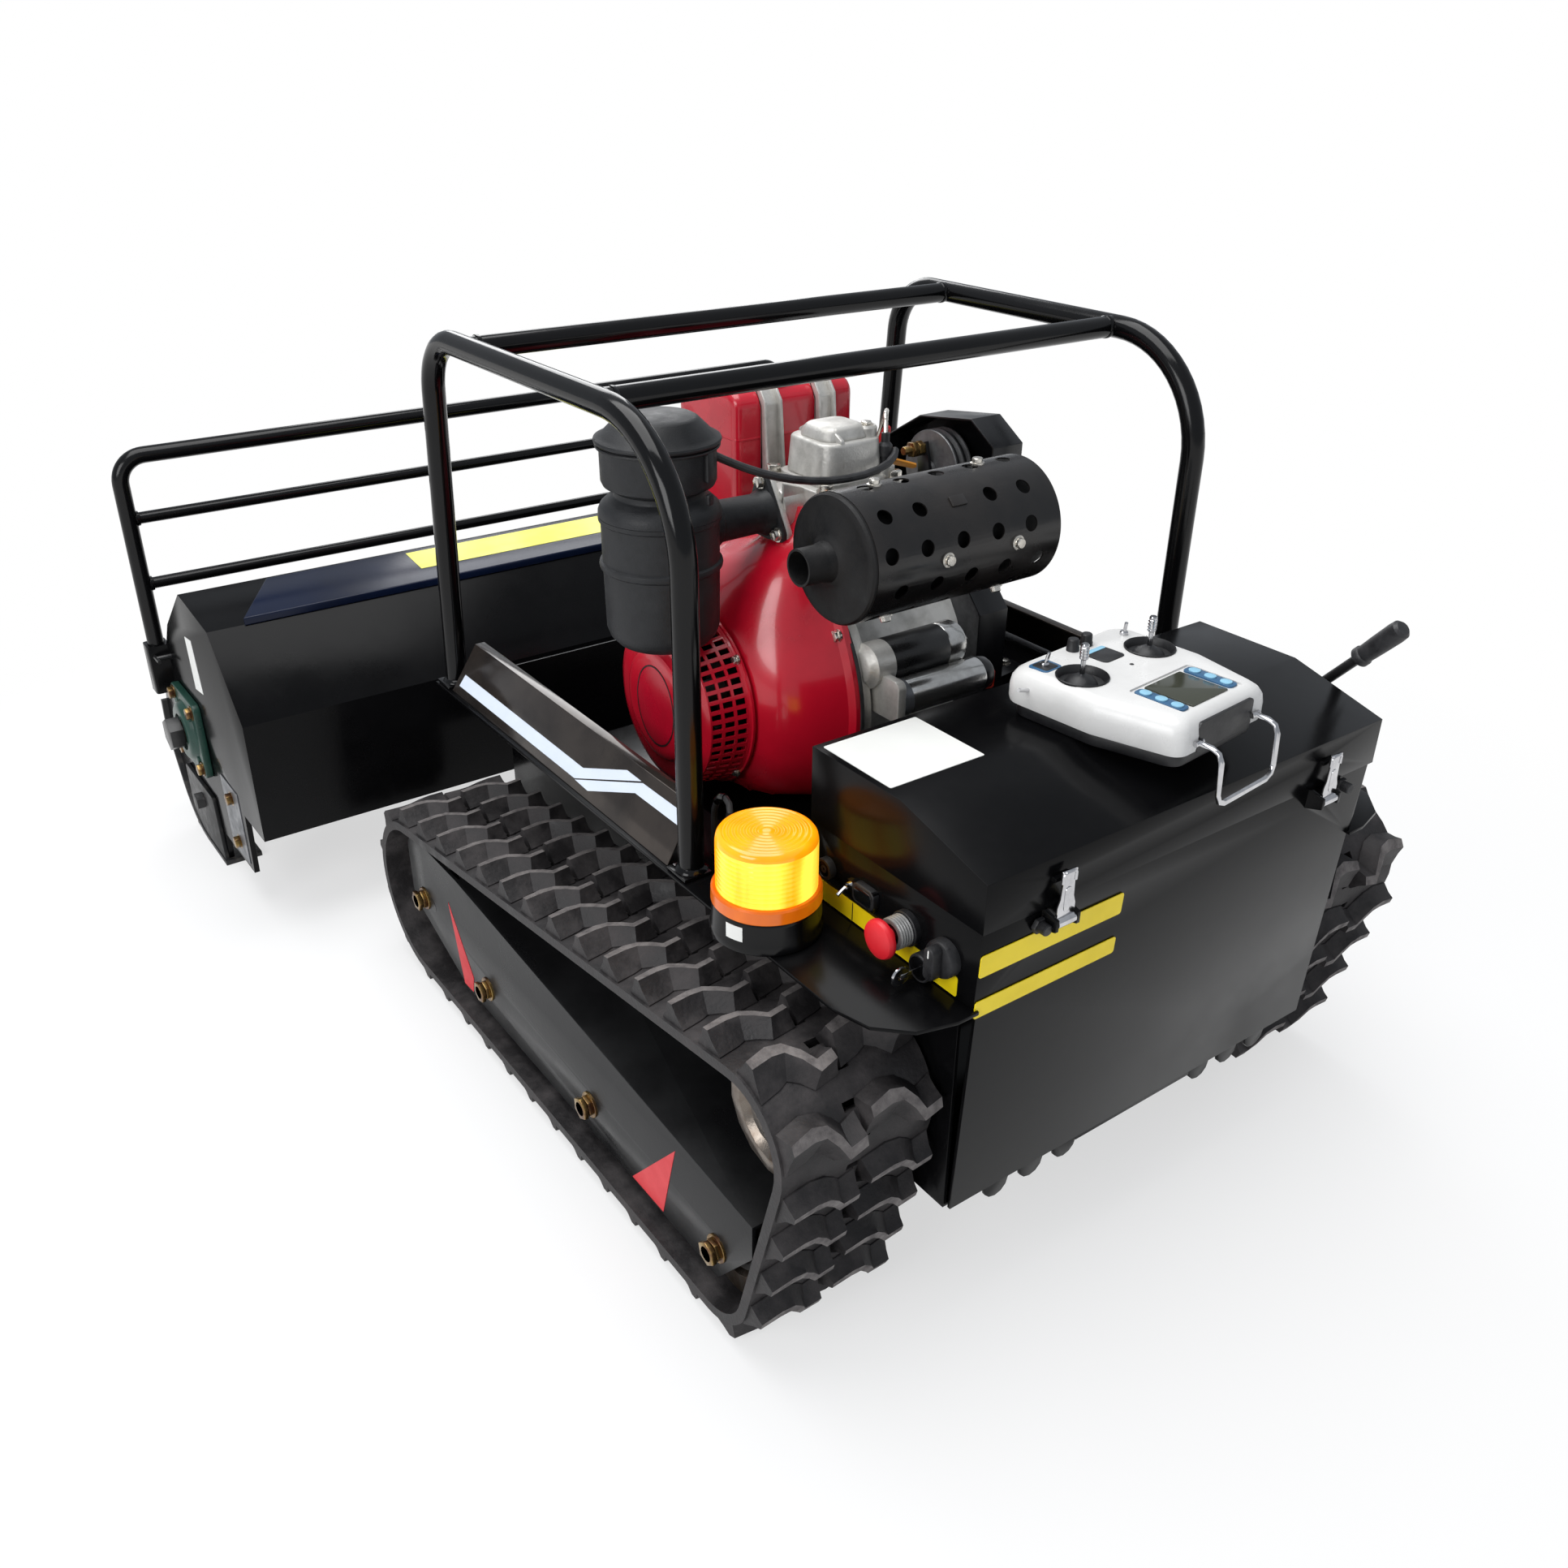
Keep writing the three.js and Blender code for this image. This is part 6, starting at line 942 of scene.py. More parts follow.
settled(joined("block_ribs", ribs), cast_aluminium)
gasket = turned("shroud_gasket", "X", (crank_y, crank_z), [(0.15, -0.095), (0.18, -0.095),
    (0.18, -0.0905), (0.15, -0.0905)], 72, closed=True)
for vertex in gasket.data.vertices:
    vertex.co.z = max(vertex.co.z, 0.4005)
settled(gasket, hose_rubber)


# Fan shroud and recoil starter: pressed steel in glossy engine red. The shroud's scroll rises
# to the cylinder, and the starter's cover has three rows of slots and a bare oval badge.
engine_red = coat("engine_red", "engine_red", (196, 18, 42), 0.24, (168, 12, 34), grain=6,
    bump=0.06, fine=60, spread=0.3, shine=0.5, clear=0.35)
badge_red = coat("badge_red", "engine_red", (178, 14, 40), 0.3, (160, 12, 34), grain=9, shine=0.5)
fan_plastic = coat("fan_plastic", "black_satin", (16, 16, 17), 0.6, (34, 34, 35), grain=40)


def scroll_radius(angle):
    """How far the shroud's rim stands from the crank, with the neck rising on its rear side."""
    away = (angle - math.radians(112) + math.pi) % (2 * math.pi) - math.pi
    return 0.178 + 0.068 * math.exp(-(away / 0.34) ** 2)


scroll = turned("shroud_skin", "X", (crank_y, crank_z), [(0.178, -0.093), (0.178, -0.101),
    (0.17, -0.106), (0.164, -0.12), (0.157, -0.14), (0.146, -0.16), (0.13, -0.177),
    (0.112, -0.1885), (0.1, -0.193), (0.09, -0.1935), (0.09, -0.19), (0.1, -0.189), (0.125, -0.176),
    (0.142, -0.157), (0.16, -0.118), (0.17, -0.093)], 96, closed=True)
for vertex in scroll.data.vertices:
    y, z = vertex.co.y - crank_y, vertex.co.z - crank_z
    reach, angle = math.hypot(y, z), math.atan2(z, y)
    share = max(0.0, (reach - 0.1) / 0.078) ** 1.6
    reach += share * (scroll_radius(angle) - 0.178)
    vertex.co.y = crank_y + reach * math.cos(angle)
    vertex.co.z = max(crank_z + reach * math.sin(angle), 0.4003)
settled(scroll, engine_red, "fan_shroud", angle=32)
shroud_bolts = [bolt("shroud_bolt", "X", place, -0.1035, -1, 0.0068, 0.005)
    for place in ((0.392, 0.608), (0.368, 0.47), (0.69, 0.56))]
settled(joined("shroud_bolts", shroud_bolts), zinc_bright)

recoil_face, recoil_back, recoil_radius = -0.262, -0.1946, 0.096


def slotted_band(start, end, slots, phase):
    """A ring of the recoil cover between two places on the crank's axis, with a row of slots."""
    bpy.ops.object.select_all(action="DESELECT")
    bpy.ops.mesh.primitive_grid_add(x_subdivisions=3, y_subdivisions=3 * slots, size=1)
    band = bpy.context.object
    edges = (0.0, 0.11, 0.89, 1.0)
    cut_away(band, lambda face: abs(face.center.x) < 0.1 and round((face.center.y + 0.5) * 3 * slots
        - 0.5) % 3 == 1)
    for vertex in band.data.vertices:
        column = round((vertex.co.x + 0.5) * 3)
        row = round((vertex.co.y + 0.5) * 3 * slots)
        turn = (row // 3 + (0.0, 0.2, 0.8)[row % 3] + phase) / slots * 2 * math.pi
        along = start + (end - start) * edges[column]
        reach = recoil_radius + 0.01 * (along - recoil_face) / (recoil_back - recoil_face)
        vertex.co = (along, crank_y + reach * math.cos(turn), crank_z + reach * math.sin(turn))
    in_edit(band)
    bpy.ops.mesh.remove_doubles(threshold=0.0001)
    bpy.ops.object.mode_set(mode="OBJECT")
    return modified(band, "SOLIDIFY", thickness=0.0022, offset=0.0)


bands = [slotted_band(-0.248 + i * 0.0158, -0.248 + (i + 1) * 0.0158, 54, 0.0) for i in range(3)]
rim = turned("recoil_rim", "X", (crank_y, crank_z), [(0.1036, -0.2008), (0.1064, -0.2006),
    (0.1075, -0.198), (0.11, -0.1975), (0.11, -0.1946), (0.103, -0.1946)], 96, closed=True)
cone = turned("recoil_cone", "X", (crank_y, crank_z), [(0.0, -0.2618), (0.056, -0.2618),
    (0.062, -0.2612), (0.066, -0.2592), (0.068, -0.256), (0.072, -0.2528), (0.088, -0.252),
    (0.095, -0.2505), (0.0985, -0.2478), (0.0965, -0.2474), (0.093, -0.248), (0.086, -0.2495),
    (0.07, -0.25), (0.064, -0.2575), (0.056, -0.2592), (0.0, -0.2592)], 96)
settled(joined("recoil_shell", bands + [rim, cone]), engine_red, "recoil_cover", angle=30)
badge = turned("recoil_badge", "X", (0.0, 0.0), [(0.0, -0.2628), (0.036, -0.2628),
    (0.0375, -0.2622), (0.0375, -0.2612), (0.0, -0.2612)], 64)
badge_line = turned("badge_line", "X", (0.0, 0.0), [(0.0378, -0.2616), (0.0392, -0.2616),
    (0.0392, -0.2624), (0.0378, -0.2624)], 64, closed=True)
for vertex in [*badge.data.vertices, *badge_line.data.vertices]:
    vertex.co.y = crank_y + vertex.co.y * 1.05
    vertex.co.z = crank_z + vertex.co.z * 1.3
settled(badge, badge_red)
settled(badge_line, fan_plastic)
recoil_bolts = [bolt("recoil_bolt", "X", polar(crank_y, crank_z, 0.106, a), -0.199, -1, 0.005,
    0.0042) for a in (0.7, 2.4, 3.9, 5.5)]
settled(joined("recoil_bolts", recoil_bolts), zinc_bright)
settled(copied("cooling_fan", "fan", 0.0008), fan_plastic, "cooling_fan", body="crank")


# Crankshaft: a turned shaft from the fan through the engine to a grooved drive pulley that runs
# in the belt guard on the right.
pulley_grey = coat("pulley_grey", "bare_steel", (120, 121, 122), 0.42, (78, 78, 80), metal=0.5,
    grain=30, bump=0.15)
pulley_width = 0.03
pulley_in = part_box("crankshaft")[1].x - pulley_width
fan_end = -0.1995 - pulley_in
shaft = turned("crank_shaft", "X", (crank_y, crank_z), [(0.0, fan_end), (0.013, fan_end),
    (0.0138, fan_end + 0.001), (0.0138, 0.0), (0.06, 0.0), (0.062, 0.001), (0.062, 0.003),
    (0.05, 0.008), (0.05, 0.01), (0.0615, 0.0145), (0.0615, 0.016), (0.05, 0.0205), (0.05, 0.0225),
    (0.062, 0.0275), (0.062, 0.0295), (0.056, 0.0298), (0.054, 0.024), (0.026, 0.021),
    (0.023, 0.023), (0.022, pulley_width), (0.012, pulley_width), (0.011, pulley_width - 0.003),
    (0.0, pulley_width - 0.003)], 72, start=pulley_in)
settled(shaft, pulley_grey, "crankshaft", body="crank")


# Fuel tank: two red pressed shells joined at a seam, strapped by two cast brackets, with a
# black screw cap.
tank_low, tank_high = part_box("fuel_tank")
tank_rear, tank_front = tank_low.y - drawing_zero, tank_high.y - drawing_zero
tank_top, tank_foot = 0.836, tank_low.z
tank = slab("tank_shell", rounded(tank_rear, tank_foot, tank_front, tank_top, 0.02, 6), "X",
    tank_low.x, tank_high.x, 0.01, segments=4)
seam = slab("tank_seam", rounded(tank_low.x - 0.0002, tank_rear - 0.0006, tank_high.x + 0.0002,
    tank_front + 0.0002, 0.011, 5), "Z", 0.779, 0.7825, 0.001)
neck = turned("tank_neck", "Z", (-0.02, 0.642), [(0.0, -0.002), (0.023, -0.002), (0.0225, 0.0005),
    (0.0212, 0.0035), (0.0, 0.0035)], start=tank_top)
settled(joined("tank", [tank, seam, neck]), engine_red, "fuel_tank", angle=40)
cap_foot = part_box("fuel_cap")[0].z
cap = turned("tank_cap", "Z", (-0.02, 0.642), [(0.0, 0.0), (0.025, 0.0), (0.026, 0.0012),
    (0.026, 0.0085), (0.0248, 0.0105), (0.02, 0.0125), (0.0, 0.0129)], 60, start=cap_foot)
for vertex in cap.data.vertices:
    u, v = vertex.co.x + 0.02, vertex.co.y - 0.642
    if math.hypot(u, v) > 0.0255 and round((math.atan2(v, u) + math.pi) / (math.pi / 30)) % 2:
        vertex.co.x, vertex.co.y = -0.02 + u * 0.965, 0.642 + v * 0.965
settled(cap, knob_plastic, "fuel_cap", body="fuel_cap")
for side, x in (("left", -0.047), ("right", 0.033)):
    web = slab("web", [(-0.001, -0.18), (-0.001, -0.02), (0.012, 0.001), (0.034, 0.001),
        (0.034, 0.004), (0.009, 0.004), (-0.0045, -0.017), (-0.0075, -0.136), (-0.0075, -0.18)],
        "X", -0.013, 0.013, 0.0012)
    flanges = [slab("flange", [(-0.001, -0.166), (-0.001, -0.02), (0.014, 0.002), (0.004, 0.006),
        (-0.01, -0.012), (-0.02, -0.116), (-0.02, -0.146)], "X", e, e + 0.0035, 0.001)
        for e in (-0.013, 0.0095)]
    nut = bolt("strap_bolt", "Z", (0, 0.026), 0.004, 1, 0.0062, 0.005)
    bracket = joined("tank_bracket_" + side, [web] + flanges + [nut])
    settled(moved(bracket, Matrix.Translation((x, tank_rear, tank_top))), cast_aluminium)


# Air filter: moulded black polypropylene bowl and cap with a wire ring round its rim and two
# snap clips. A moulded pipe with a bolted flange leads to the head, and a hose follows it.
filter_plastic = coat("filter_plastic", "filter_plastic", (30, 31, 33), 0.5, (40, 41, 43), grain=60,
    bump=0.3, fine=700, spread=0.2, shine=0.3)
filter_centre = (middle_of("air_filter_bowl").x, middle_of("air_filter_bowl").y - drawing_zero)
bowl_foot, cap_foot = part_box("air_filter_bowl")[0].z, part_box("air_filter_cap")[0].z
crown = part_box("air_filter_cap")[1].z
bowl_rise, cap_rise = cap_foot - bowl_foot, crown - cap_foot
bowl = turned("filter_bowl", "Z", filter_centre, [(0.0, 0.0), (0.048, 0.0), (0.052, 0.002),
    (0.06, 0.011), (0.063, 0.02), (0.064, 0.086), (0.0672, 0.0885), (0.0678, 0.0915),
    (0.0672, 0.0945), (0.0642, 0.096), (0.0644, bowl_rise - 0.007), (0.0668, bowl_rise - 0.005),
    (0.067, bowl_rise - 0.0004), (0.0, bowl_rise - 0.0004)], 80, start=bowl_foot)
settled(bowl, filter_plastic, "air_filter_bowl")
top = turned("filter_cap", "Z", filter_centre, [(0.0, 0.0), (0.0668, 0.0), (0.0665, 0.005),
    (0.064, 0.011), (0.058, 0.0165), (0.05, 0.02), (0.049, 0.0215), (0.049, 0.0265),
    (0.052, 0.0285), (0.06, 0.033), (0.0622, 0.038), (0.0625, cap_rise - 0.029),
    (0.064, cap_rise - 0.027), (0.0672, cap_rise - 0.0255), (0.068, cap_rise - 0.0235),
    (0.0672, cap_rise - 0.0215), (0.064, cap_rise - 0.02), (0.06, cap_rise - 0.018),
    (0.044, cap_rise - 0.0022), (0.04, cap_rise), (0.0, cap_rise)], 80, start=cap_foot)
settled(top, filter_plastic, "air_filter_cap")
wire = turned("filter_wire", "Z", filter_centre, [polar(0.065, crown - 0.0295, 0.0016, a)
    for a in [i * math.pi / 4 for i in range(8)]], 80, closed=True)
clips = [wire]
for turn in (-1.15, 2.0):
    cx, cy = filter_centre
    clip = slab("clip", rounded(-0.0055, crown - 0.062, 0.0055, crown - 0.03, 0.003), "X", 0.0,
        0.006, 0.0012)
    hook = slab("hook", rounded(-0.0048, crown - 0.086, 0.0048, crown - 0.074, 0.002), "X", 0.0,
        0.0045, 0.001)
    for part, reach in ((clip, 0.0605), (hook, 0.062)):
        moved(part, Matrix.Translation((cx, cy, 0)) @ Matrix.Rotation(turn, 4, "Z")
            @ Matrix.Translation((reach, 0, 0)))
        clips.append(part)
settled(joined("filter_clips", clips), knob_plastic)

pipe_y, pipe_z, flange_x, head_face = 0.5, 0.729, -0.124, -0.0893
filter_x = filter_centre[0]
intake = turned("intake_tube", "X", (pipe_y, pipe_z), [(0.0, filter_x + 0.058),
    (0.0275, filter_x + 0.058), (0.027, filter_x + 0.066), (0.0235, filter_x + 0.07),
    (0.0225, flange_x - 0.018), (0.024, flange_x - 0.014), (0.027, flange_x - 0.0058),
    (0.0, flange_x - 0.0058)], 48)
lug_turns = (math.radians(80), math.radians(215), math.radians(325))
lug_places = [polar(pipe_y, pipe_z, 0.034, a) for a in lug_turns]


def flange_outline(corner):
    """The intake's three-cornered flange, round at each bolt, as (y, z)."""
    return [polar(y, z, corner, turn + i * math.pi / 9)
        for (y, z), turn in zip(lug_places, lug_turns) for i in range(-3, 4)]


plate = slab("intake_flange", flange_outline(0.0105), "X", flange_x - 0.0058, flange_x, 0.001)
settled(joined("intake", [intake, plate]), filter_plastic, "intake_pipe", slot="black_satin")
spacer = slab("intake_spacer", flange_outline(0.0112), "X", flange_x, flange_x + 0.007, 0.001)
port = slab("intake_port", rounded(pipe_y - 0.026, pipe_z - 0.026, pipe_y + 0.026, pipe_z + 0.026,
    0.016, 6), "X", flange_x + 0.006, head_face + 0.001, 0.0015)
web = slab("port_web", [(flange_x + 0.006, pipe_z + 0.036), (flange_x + 0.006, pipe_z + 0.01),
    (head_face + 0.001, pipe_z + 0.01), (head_face + 0.001, pipe_z + 0.026)], "Y", pipe_y - 0.022,
    pipe_y - 0.018, 0.001)
settled(joined("intake_port", [spacer, port, web]), cast_aluminium)
settled(joined("intake_bolts", [bolt("intake_bolt", "X", place, flange_x - 0.0056, -1, 0.0068,
    0.0058) for place in lug_places]), zinc_bright)

hose_route = [(-0.204, 0.488, 0.808), (-0.196, 0.4825, 0.8035), (-0.186, 0.476, 0.7985),
    (-0.174, 0.469, 0.793), (-0.16, 0.462, 0.7875), (-0.144, 0.455, 0.7825),
    (-0.126, 0.4485, 0.778), (-0.106, 0.443, 0.7745), (-0.084, 0.439, 0.772), (-0.06, 0.437, 0.771),
    (-0.036, 0.437, 0.7715), (-0.014, 0.4395, 0.7735), (0.005, 0.444, 0.777),
    (0.019, 0.451, 0.7815), (0.027, 0.459, 0.7855)]
hose = rod("breather_hose", hose_route, 0.0045, 16)
settled(hose, hose_rubber)


# Muffler: a deep drawn black can with a rolled end disc and a welded tail stub. The heat shield
# round it is thin plate punched with rows of round holes, on standoffs with zinc plated bolts.
heat_black = coat("heat_black", "black_satin", (18, 18, 19), 0.55, (28, 27, 27), grain=40, bump=0.2,
    fine=400, shine=0.25)
shield_black = coat("shield_black", "black_satin", (18, 17, 17), 0.27, (34, 30, 28), grain=10,
    bump=0.1, fine=120, spread=0.4, shine=0.45)
can_y, can_z, can_left, can_length = 0.296, 0.742, -0.192, 0.266
can = turned("muffler_can", "X", (can_y, can_z), [(0.0, can_length), (0.044, can_length),
    (0.054, can_length - 0.006), (0.056, can_length - 0.014), (0.056, 0.016), (0.064, 0.012),
    (0.0672, 0.0095), (0.0675, 0.005), (0.0655, 0.0022), (0.06, 0.0008), (0.056, 0.002),
    (0.048, 0.0005), (0.03, -0.001), (0.0255, -0.004), (0.0215, -0.006), (0.02, -0.012),
    (0.0192, -0.015), (0.0192, -0.0395), (0.0168, -0.0395), (0.0168, 0.03), (0.0, 0.03)], 72,
    start=can_left)
exhaust = rod("exhaust_pipe", bent([(head_x, can_y, 0.736), (head_x, 0.438, 0.736)], []), 0.019, 32)
port = round_box("exhaust_flange", head_x - 0.036, head_x + 0.036, 0.431, 0.4396, 0.716, 0.753,
    0.004, 0.0015)
settled(joined("muffler_body", [can, exhaust, port]), heat_black, "muffler")

shield_left, shield_right, shield_radius, shield_gap = -0.184, 0.066, 0.068, 1.1


def cut_by(piece, tools):
    """Takes the shapes of some other pieces out of a piece."""
    tool = joined("tool", tools)
    modified(piece, "BOOLEAN", operation="DIFFERENCE", solver="EXACT", object=tool)
    bpy.data.objects.remove(tool, do_unlink=True)


section = []
for reach, order in ((shield_radius, 1), (shield_radius - 0.0018, -1)):
    ring = [polar(can_y, can_z, reach, a) for a in [shield_gap + (2 * math.pi - 2 * shield_gap) * i
        / 60 for i in range(61)]]
    section += ring[::order]
sheet = slab("heat_shield_plate", section, "X", shield_left, shield_right)
punch = []
for turn, places in ((90, (-0.15, -0.103, -0.056, -0.009, 0.038)),
        (131, (-0.16, -0.115, -0.02, 0.027)), (165, (-0.166, -0.12, -0.072, -0.024, 0.023)),
        (200, (-0.15, -0.103, -0.056, -0.009, 0.038)), (235, (-0.166, -0.12, -0.072, -0.024,
        0.023))):
    for x in places:
        bpy.ops.object.select_all(action="DESELECT")
        a = math.radians(turn)
        bpy.ops.mesh.primitive_cylinder_add(vertices=28, radius=0.0086, depth=0.03,
            location=(x, can_y + shield_radius * math.cos(a), can_z + shield_radius * math.sin(a)),
            rotation=(a + math.pi / 2, 0, 0))
        punch.append(bpy.context.object)
cut_by(sheet, punch)
standoffs = []
bolts_round = []
for turn, places in ((88, (-0.136, 0.004)), (179, (-0.094, 0.003)), (250, (-0.136, 0.02))):
    for x in places:
        a = math.radians(turn)
        for store, profile in ((standoffs, [(0.0, 0.055), (0.0055, 0.055), (0.0055, 0.067),
                (0.0, 0.067)]), (bolts_round, [(0.0, 0.067), (0.0078, 0.067), (0.0078, 0.0692),
                (0.0056, 0.0698), (0.0056, 0.0735), (0.0048, 0.0745), (0.0, 0.0748)])):
            post = turned("post", "Z", (0.0, 0.0), profile, 20)
            moved(post, Matrix.Translation((x, can_y, can_z)) @ Matrix.Rotation(a - math.pi / 2, 4,
                "X"))
            store.append(post)
in_edit(sheet)
out_of_edit()
settled(joined("heat_shield_shell", [sheet] + standoffs), shield_black, "heat_shield", angle=30)
settled(joined("shield_bolts", bolts_round), zinc_bright)
lug = slab("shield_lug", rounded(-0.075, -0.006, -0.055, 0.006, 0.0012), "Y", -0.0012, 0.0012,
    0.0006)
moved(lug, Matrix.Translation((0, can_y, can_z)) @ Matrix.Rotation(math.radians(131), 4, "X")
    @ Matrix.Translation((0, shield_radius + 0.0006, 0)))
settled(lug, shield_black)


# Starter motor: a cast nose, a black field housing and a bright end cap, on a cast bracket, with
# the solenoid slung below and behind it. Its leads are short and end under a black cap.
black_enamel = coat("black_enamel", "black_satin", (20, 20, 21), 0.32, (34, 34, 35), grain=20,
    bump=0.12, shine=0.45)
bright_steel = coat("bright_steel", "bare_steel", (208, 208, 206), 0.2, (168, 166, 162), metal=0.95,
    grain=20, bump=0.06)
cold_grey = coat("cold_grey", "bare_steel", (112, 114, 118), 0.4, (84, 86, 90), metal=0.6, grain=35)
wire_red = coat("wire_red", "control_red", (196, 44, 24), 0.45, (170, 34, 20), grain=30)
motor_y, motor_z, coil_y, coil_z = 0.372, 0.571, 0.338, 0.538
motor_left, motor_right, coil_left, coil_right = -0.086, 0.06, -0.0725, 0.084
nose = turned("starter_nose", "X", (motor_y, motor_z), [(0.0, 0.0), (0.016, 0.0), (0.019, 0.002),
    (0.022, 0.006), (0.0265, 0.0085), (0.0265, 0.034), (0.0245, 0.035), (0.0, 0.035)], 48,
    start=motor_left)
lug = slab("solenoid_lug", rounded(coil_y - 0.0215, coil_z - 0.0215, motor_y + 0.004,
    motor_z - 0.004, 0.01, 6), "X", coil_left, coil_left + 0.012, 0.002)
foot = slab("starter_bracket", rounded(motor_y, 0.5445, 0.4205, 0.5655, 0.003), "X", -0.012, 0.046,
    0.0025)
settled(joined("starter_castings", [nose, lug, foot]), cast_aluminium, "starter_motor")
field = turned("starter_field", "X", (motor_y, motor_z), [(0.0, motor_left + 0.0335),
    (0.0262, motor_left + 0.0335), (0.0268, motor_left + 0.035), (0.0268, motor_right - 0.03),
    (0.0262, motor_right - 0.029), (0.0, motor_right - 0.029)], 56)
cup = turned("solenoid_cup", "X", (coil_y, coil_z), [(0.0, -0.02), (0.0212, -0.02),
    (0.0216, -0.018), (0.019, -0.006), (0.0165, -0.003), (0.0, -0.0024)], 48, start=coil_right)
settled(joined("starter_housing", [field, cup]), black_enamel)
end_cap = turned("starter_cap", "X", (motor_y, motor_z), [(0.0, -0.03), (0.0264, -0.03),
    (0.027, -0.0285), (0.027, -0.008), (0.0245, -0.003), (0.02, -0.0006), (0.0, 0.0)], 56,
    start=motor_right)
coil = turned("solenoid_case", "X", (coil_y, coil_z), [(0.0, coil_left + 0.024),
    (0.0214, coil_left + 0.024), (0.0218, coil_left + 0.0255), (0.0218, coil_right - 0.021),
    (0.0212, coil_right - 0.0195), (0.0, coil_right - 0.0195)], 56)
screws = []
for turn in (0.6, 2.7, 4.4):
    place = polar(motor_y, motor_z, 0.0195, turn)
    screws.append(slab("cap_screw", hexagon(*place, 0.0042, turn), "X", motor_right - 0.0022,
        motor_right - 0.0002, 0.0004))
settled(joined("starter_bright", [end_cap, coil] + screws), bright_steel)
band = turned("solenoid_ring", "X", (coil_y, coil_z), [(0.0, 0.0115), (0.0219, 0.0115),
    (0.0219, 0.0245), (0.0, 0.0245)], 48, start=coil_left)
settled(band, cold_grey)
for y, z in ((-0.01, 0.006), (-0.003, 0.012)):
    lead = rod("lead", bent([(coil_right - 0.008, coil_y + y, coil_z + z),
        (coil_right - 0.001, coil_y + y - 0.004, coil_z + z), (coil_right - 0.002,
        coil_y + y - 0.004, coil_z - 0.016), (coil_right - 0.014, coil_y + 0.002, coil_z - 0.0235)],
        [0.003, 0.004], 6), 0.0011, 8)
    settled(lead, wire_red)


# Belt guard: a black pressed cover on the right of the engine, open towards it, with an idler
# pulley in its upper end. The idler's arm is set by a yellow zinc bolt.
guard_black = coat("guard_black", "black_satin", (12, 13, 15), 0.3, (22, 22, 25), grain=8,
    spread=0.35, bump=0.08, fine=90, shine=0.4)
guard_outline = [(0.47, 0.4346), (0.662, 0.4346), (0.675, 0.56), (0.675, 0.734), (0.61, 0.773),
    (0.514, 0.787), (0.47, 0.76), (0.47, 0.7), (0.515, 0.65), (0.515, 0.588), (0.47, 0.54)]
guard = slab("belt_guard_cover", guard_outline, "X", 0.196, 0.246)
cut_away(guard, lambda face: face.normal.x < -0.9)
soften(modified(guard, "SOLIDIFY", thickness=0.003, offset=-1.0), 0.001)
guard_foot = slab("guard_foot", [(0.243, 0.474), (0.304, 0.484), (0.304, 0.648), (0.243, 0.658)],
    "Z", 0.4346, 0.4376, 0.0008)
settled(joined("guard_cover", [guard, guard_foot]), guard_black, "belt_guard")
settled(joined("guard_bolts", [bolt("guard_bolt", "Z", (0.285, y), 0.4374, 1, 0.0068, 0.0055)
    for y in (0.505, 0.566, 0.628)]), zinc_bright)
idler_y, idler_z, idler_x = 0.588, 0.706, 0.2005
idler = turned("idler_pulley", "X", (idler_y, idler_z), [(0.007, 0.0), (0.05, 0.0), (0.051, 0.001),
    (0.051, 0.003), (0.042, 0.007), (0.042, 0.009), (0.051, 0.013), (0.051, 0.015), (0.042, 0.019),
    (0.042, 0.021), (0.051, 0.025), (0.051, 0.027), (0.007, 0.028)], 64, closed=True, start=idler_x)
axle = turned("idler_axle", "X", (idler_y, idler_z), [(0.0, idler_x - 0.006),
    (0.011, idler_x - 0.006), (0.011, idler_x - 0.001), (0.0072, idler_x - 0.001), (0.0072, 0.244),
    (0.0, 0.244)], 32)
settled(joined("belt_idler", [idler, axle]), pulley_grey)
idler_arm = slab("idler_arm", [(0.576, 0.698), (0.6, 0.694), (0.606, 0.738), (0.588, 0.744)], "X",
    idler_x - 0.011, idler_x - 0.0058, 0.0008)
settled(idler_arm, guard_black)
settle_bolt = [slab("arm_nut", hexagon(0.596, 0.734, 0.01, 0.4), "X", idler_x - 0.02,
    idler_x - 0.0108, 0.0008),
    slab("arm_lock", hexagon(0.596, 0.734, 0.0105, 0.9), "X", idler_x - 0.03, idler_x - 0.0206,
    0.0008),
    turned("arm_stud", "X", (0.596, 0.734), [(0.0, -0.042), (0.005, -0.042), (0.0055, -0.041),
    (0.0055, -0.0105), (0.0, -0.0105)], 24, start=idler_x)]
settled(joined("idler_bolt", settle_bolt), bolt_zinc)
belt_line = []
for (y, z), reach, first, last in (((crank_y, crank_z), 0.056, math.pi - 0.27, 2 * math.pi - 0.23),
        ((idler_y, idler_z), 0.046, -0.23, math.pi - 0.27)):
    belt_line += [polar(y, z, reach, a) for a in [first + (last - first) * i / 24
        for i in range(25)]]
belts = []
for x in (pulley_in + 0.0045, pulley_in + 0.0168):
    outer = slab("belt_outer", belt_line, "X", x, x + 0.009)
    in_edit(outer, lambda face: abs(face.normal.x) > 0.9)
    bpy.ops.mesh.delete(type="ONLY_FACE")
    bpy.ops.object.mode_set(mode="OBJECT")
    belts.append(modified(outer, "SOLIDIFY", thickness=0.006, offset=-1.0))
settled(joined("drive_belts", belts), hose_rubber)


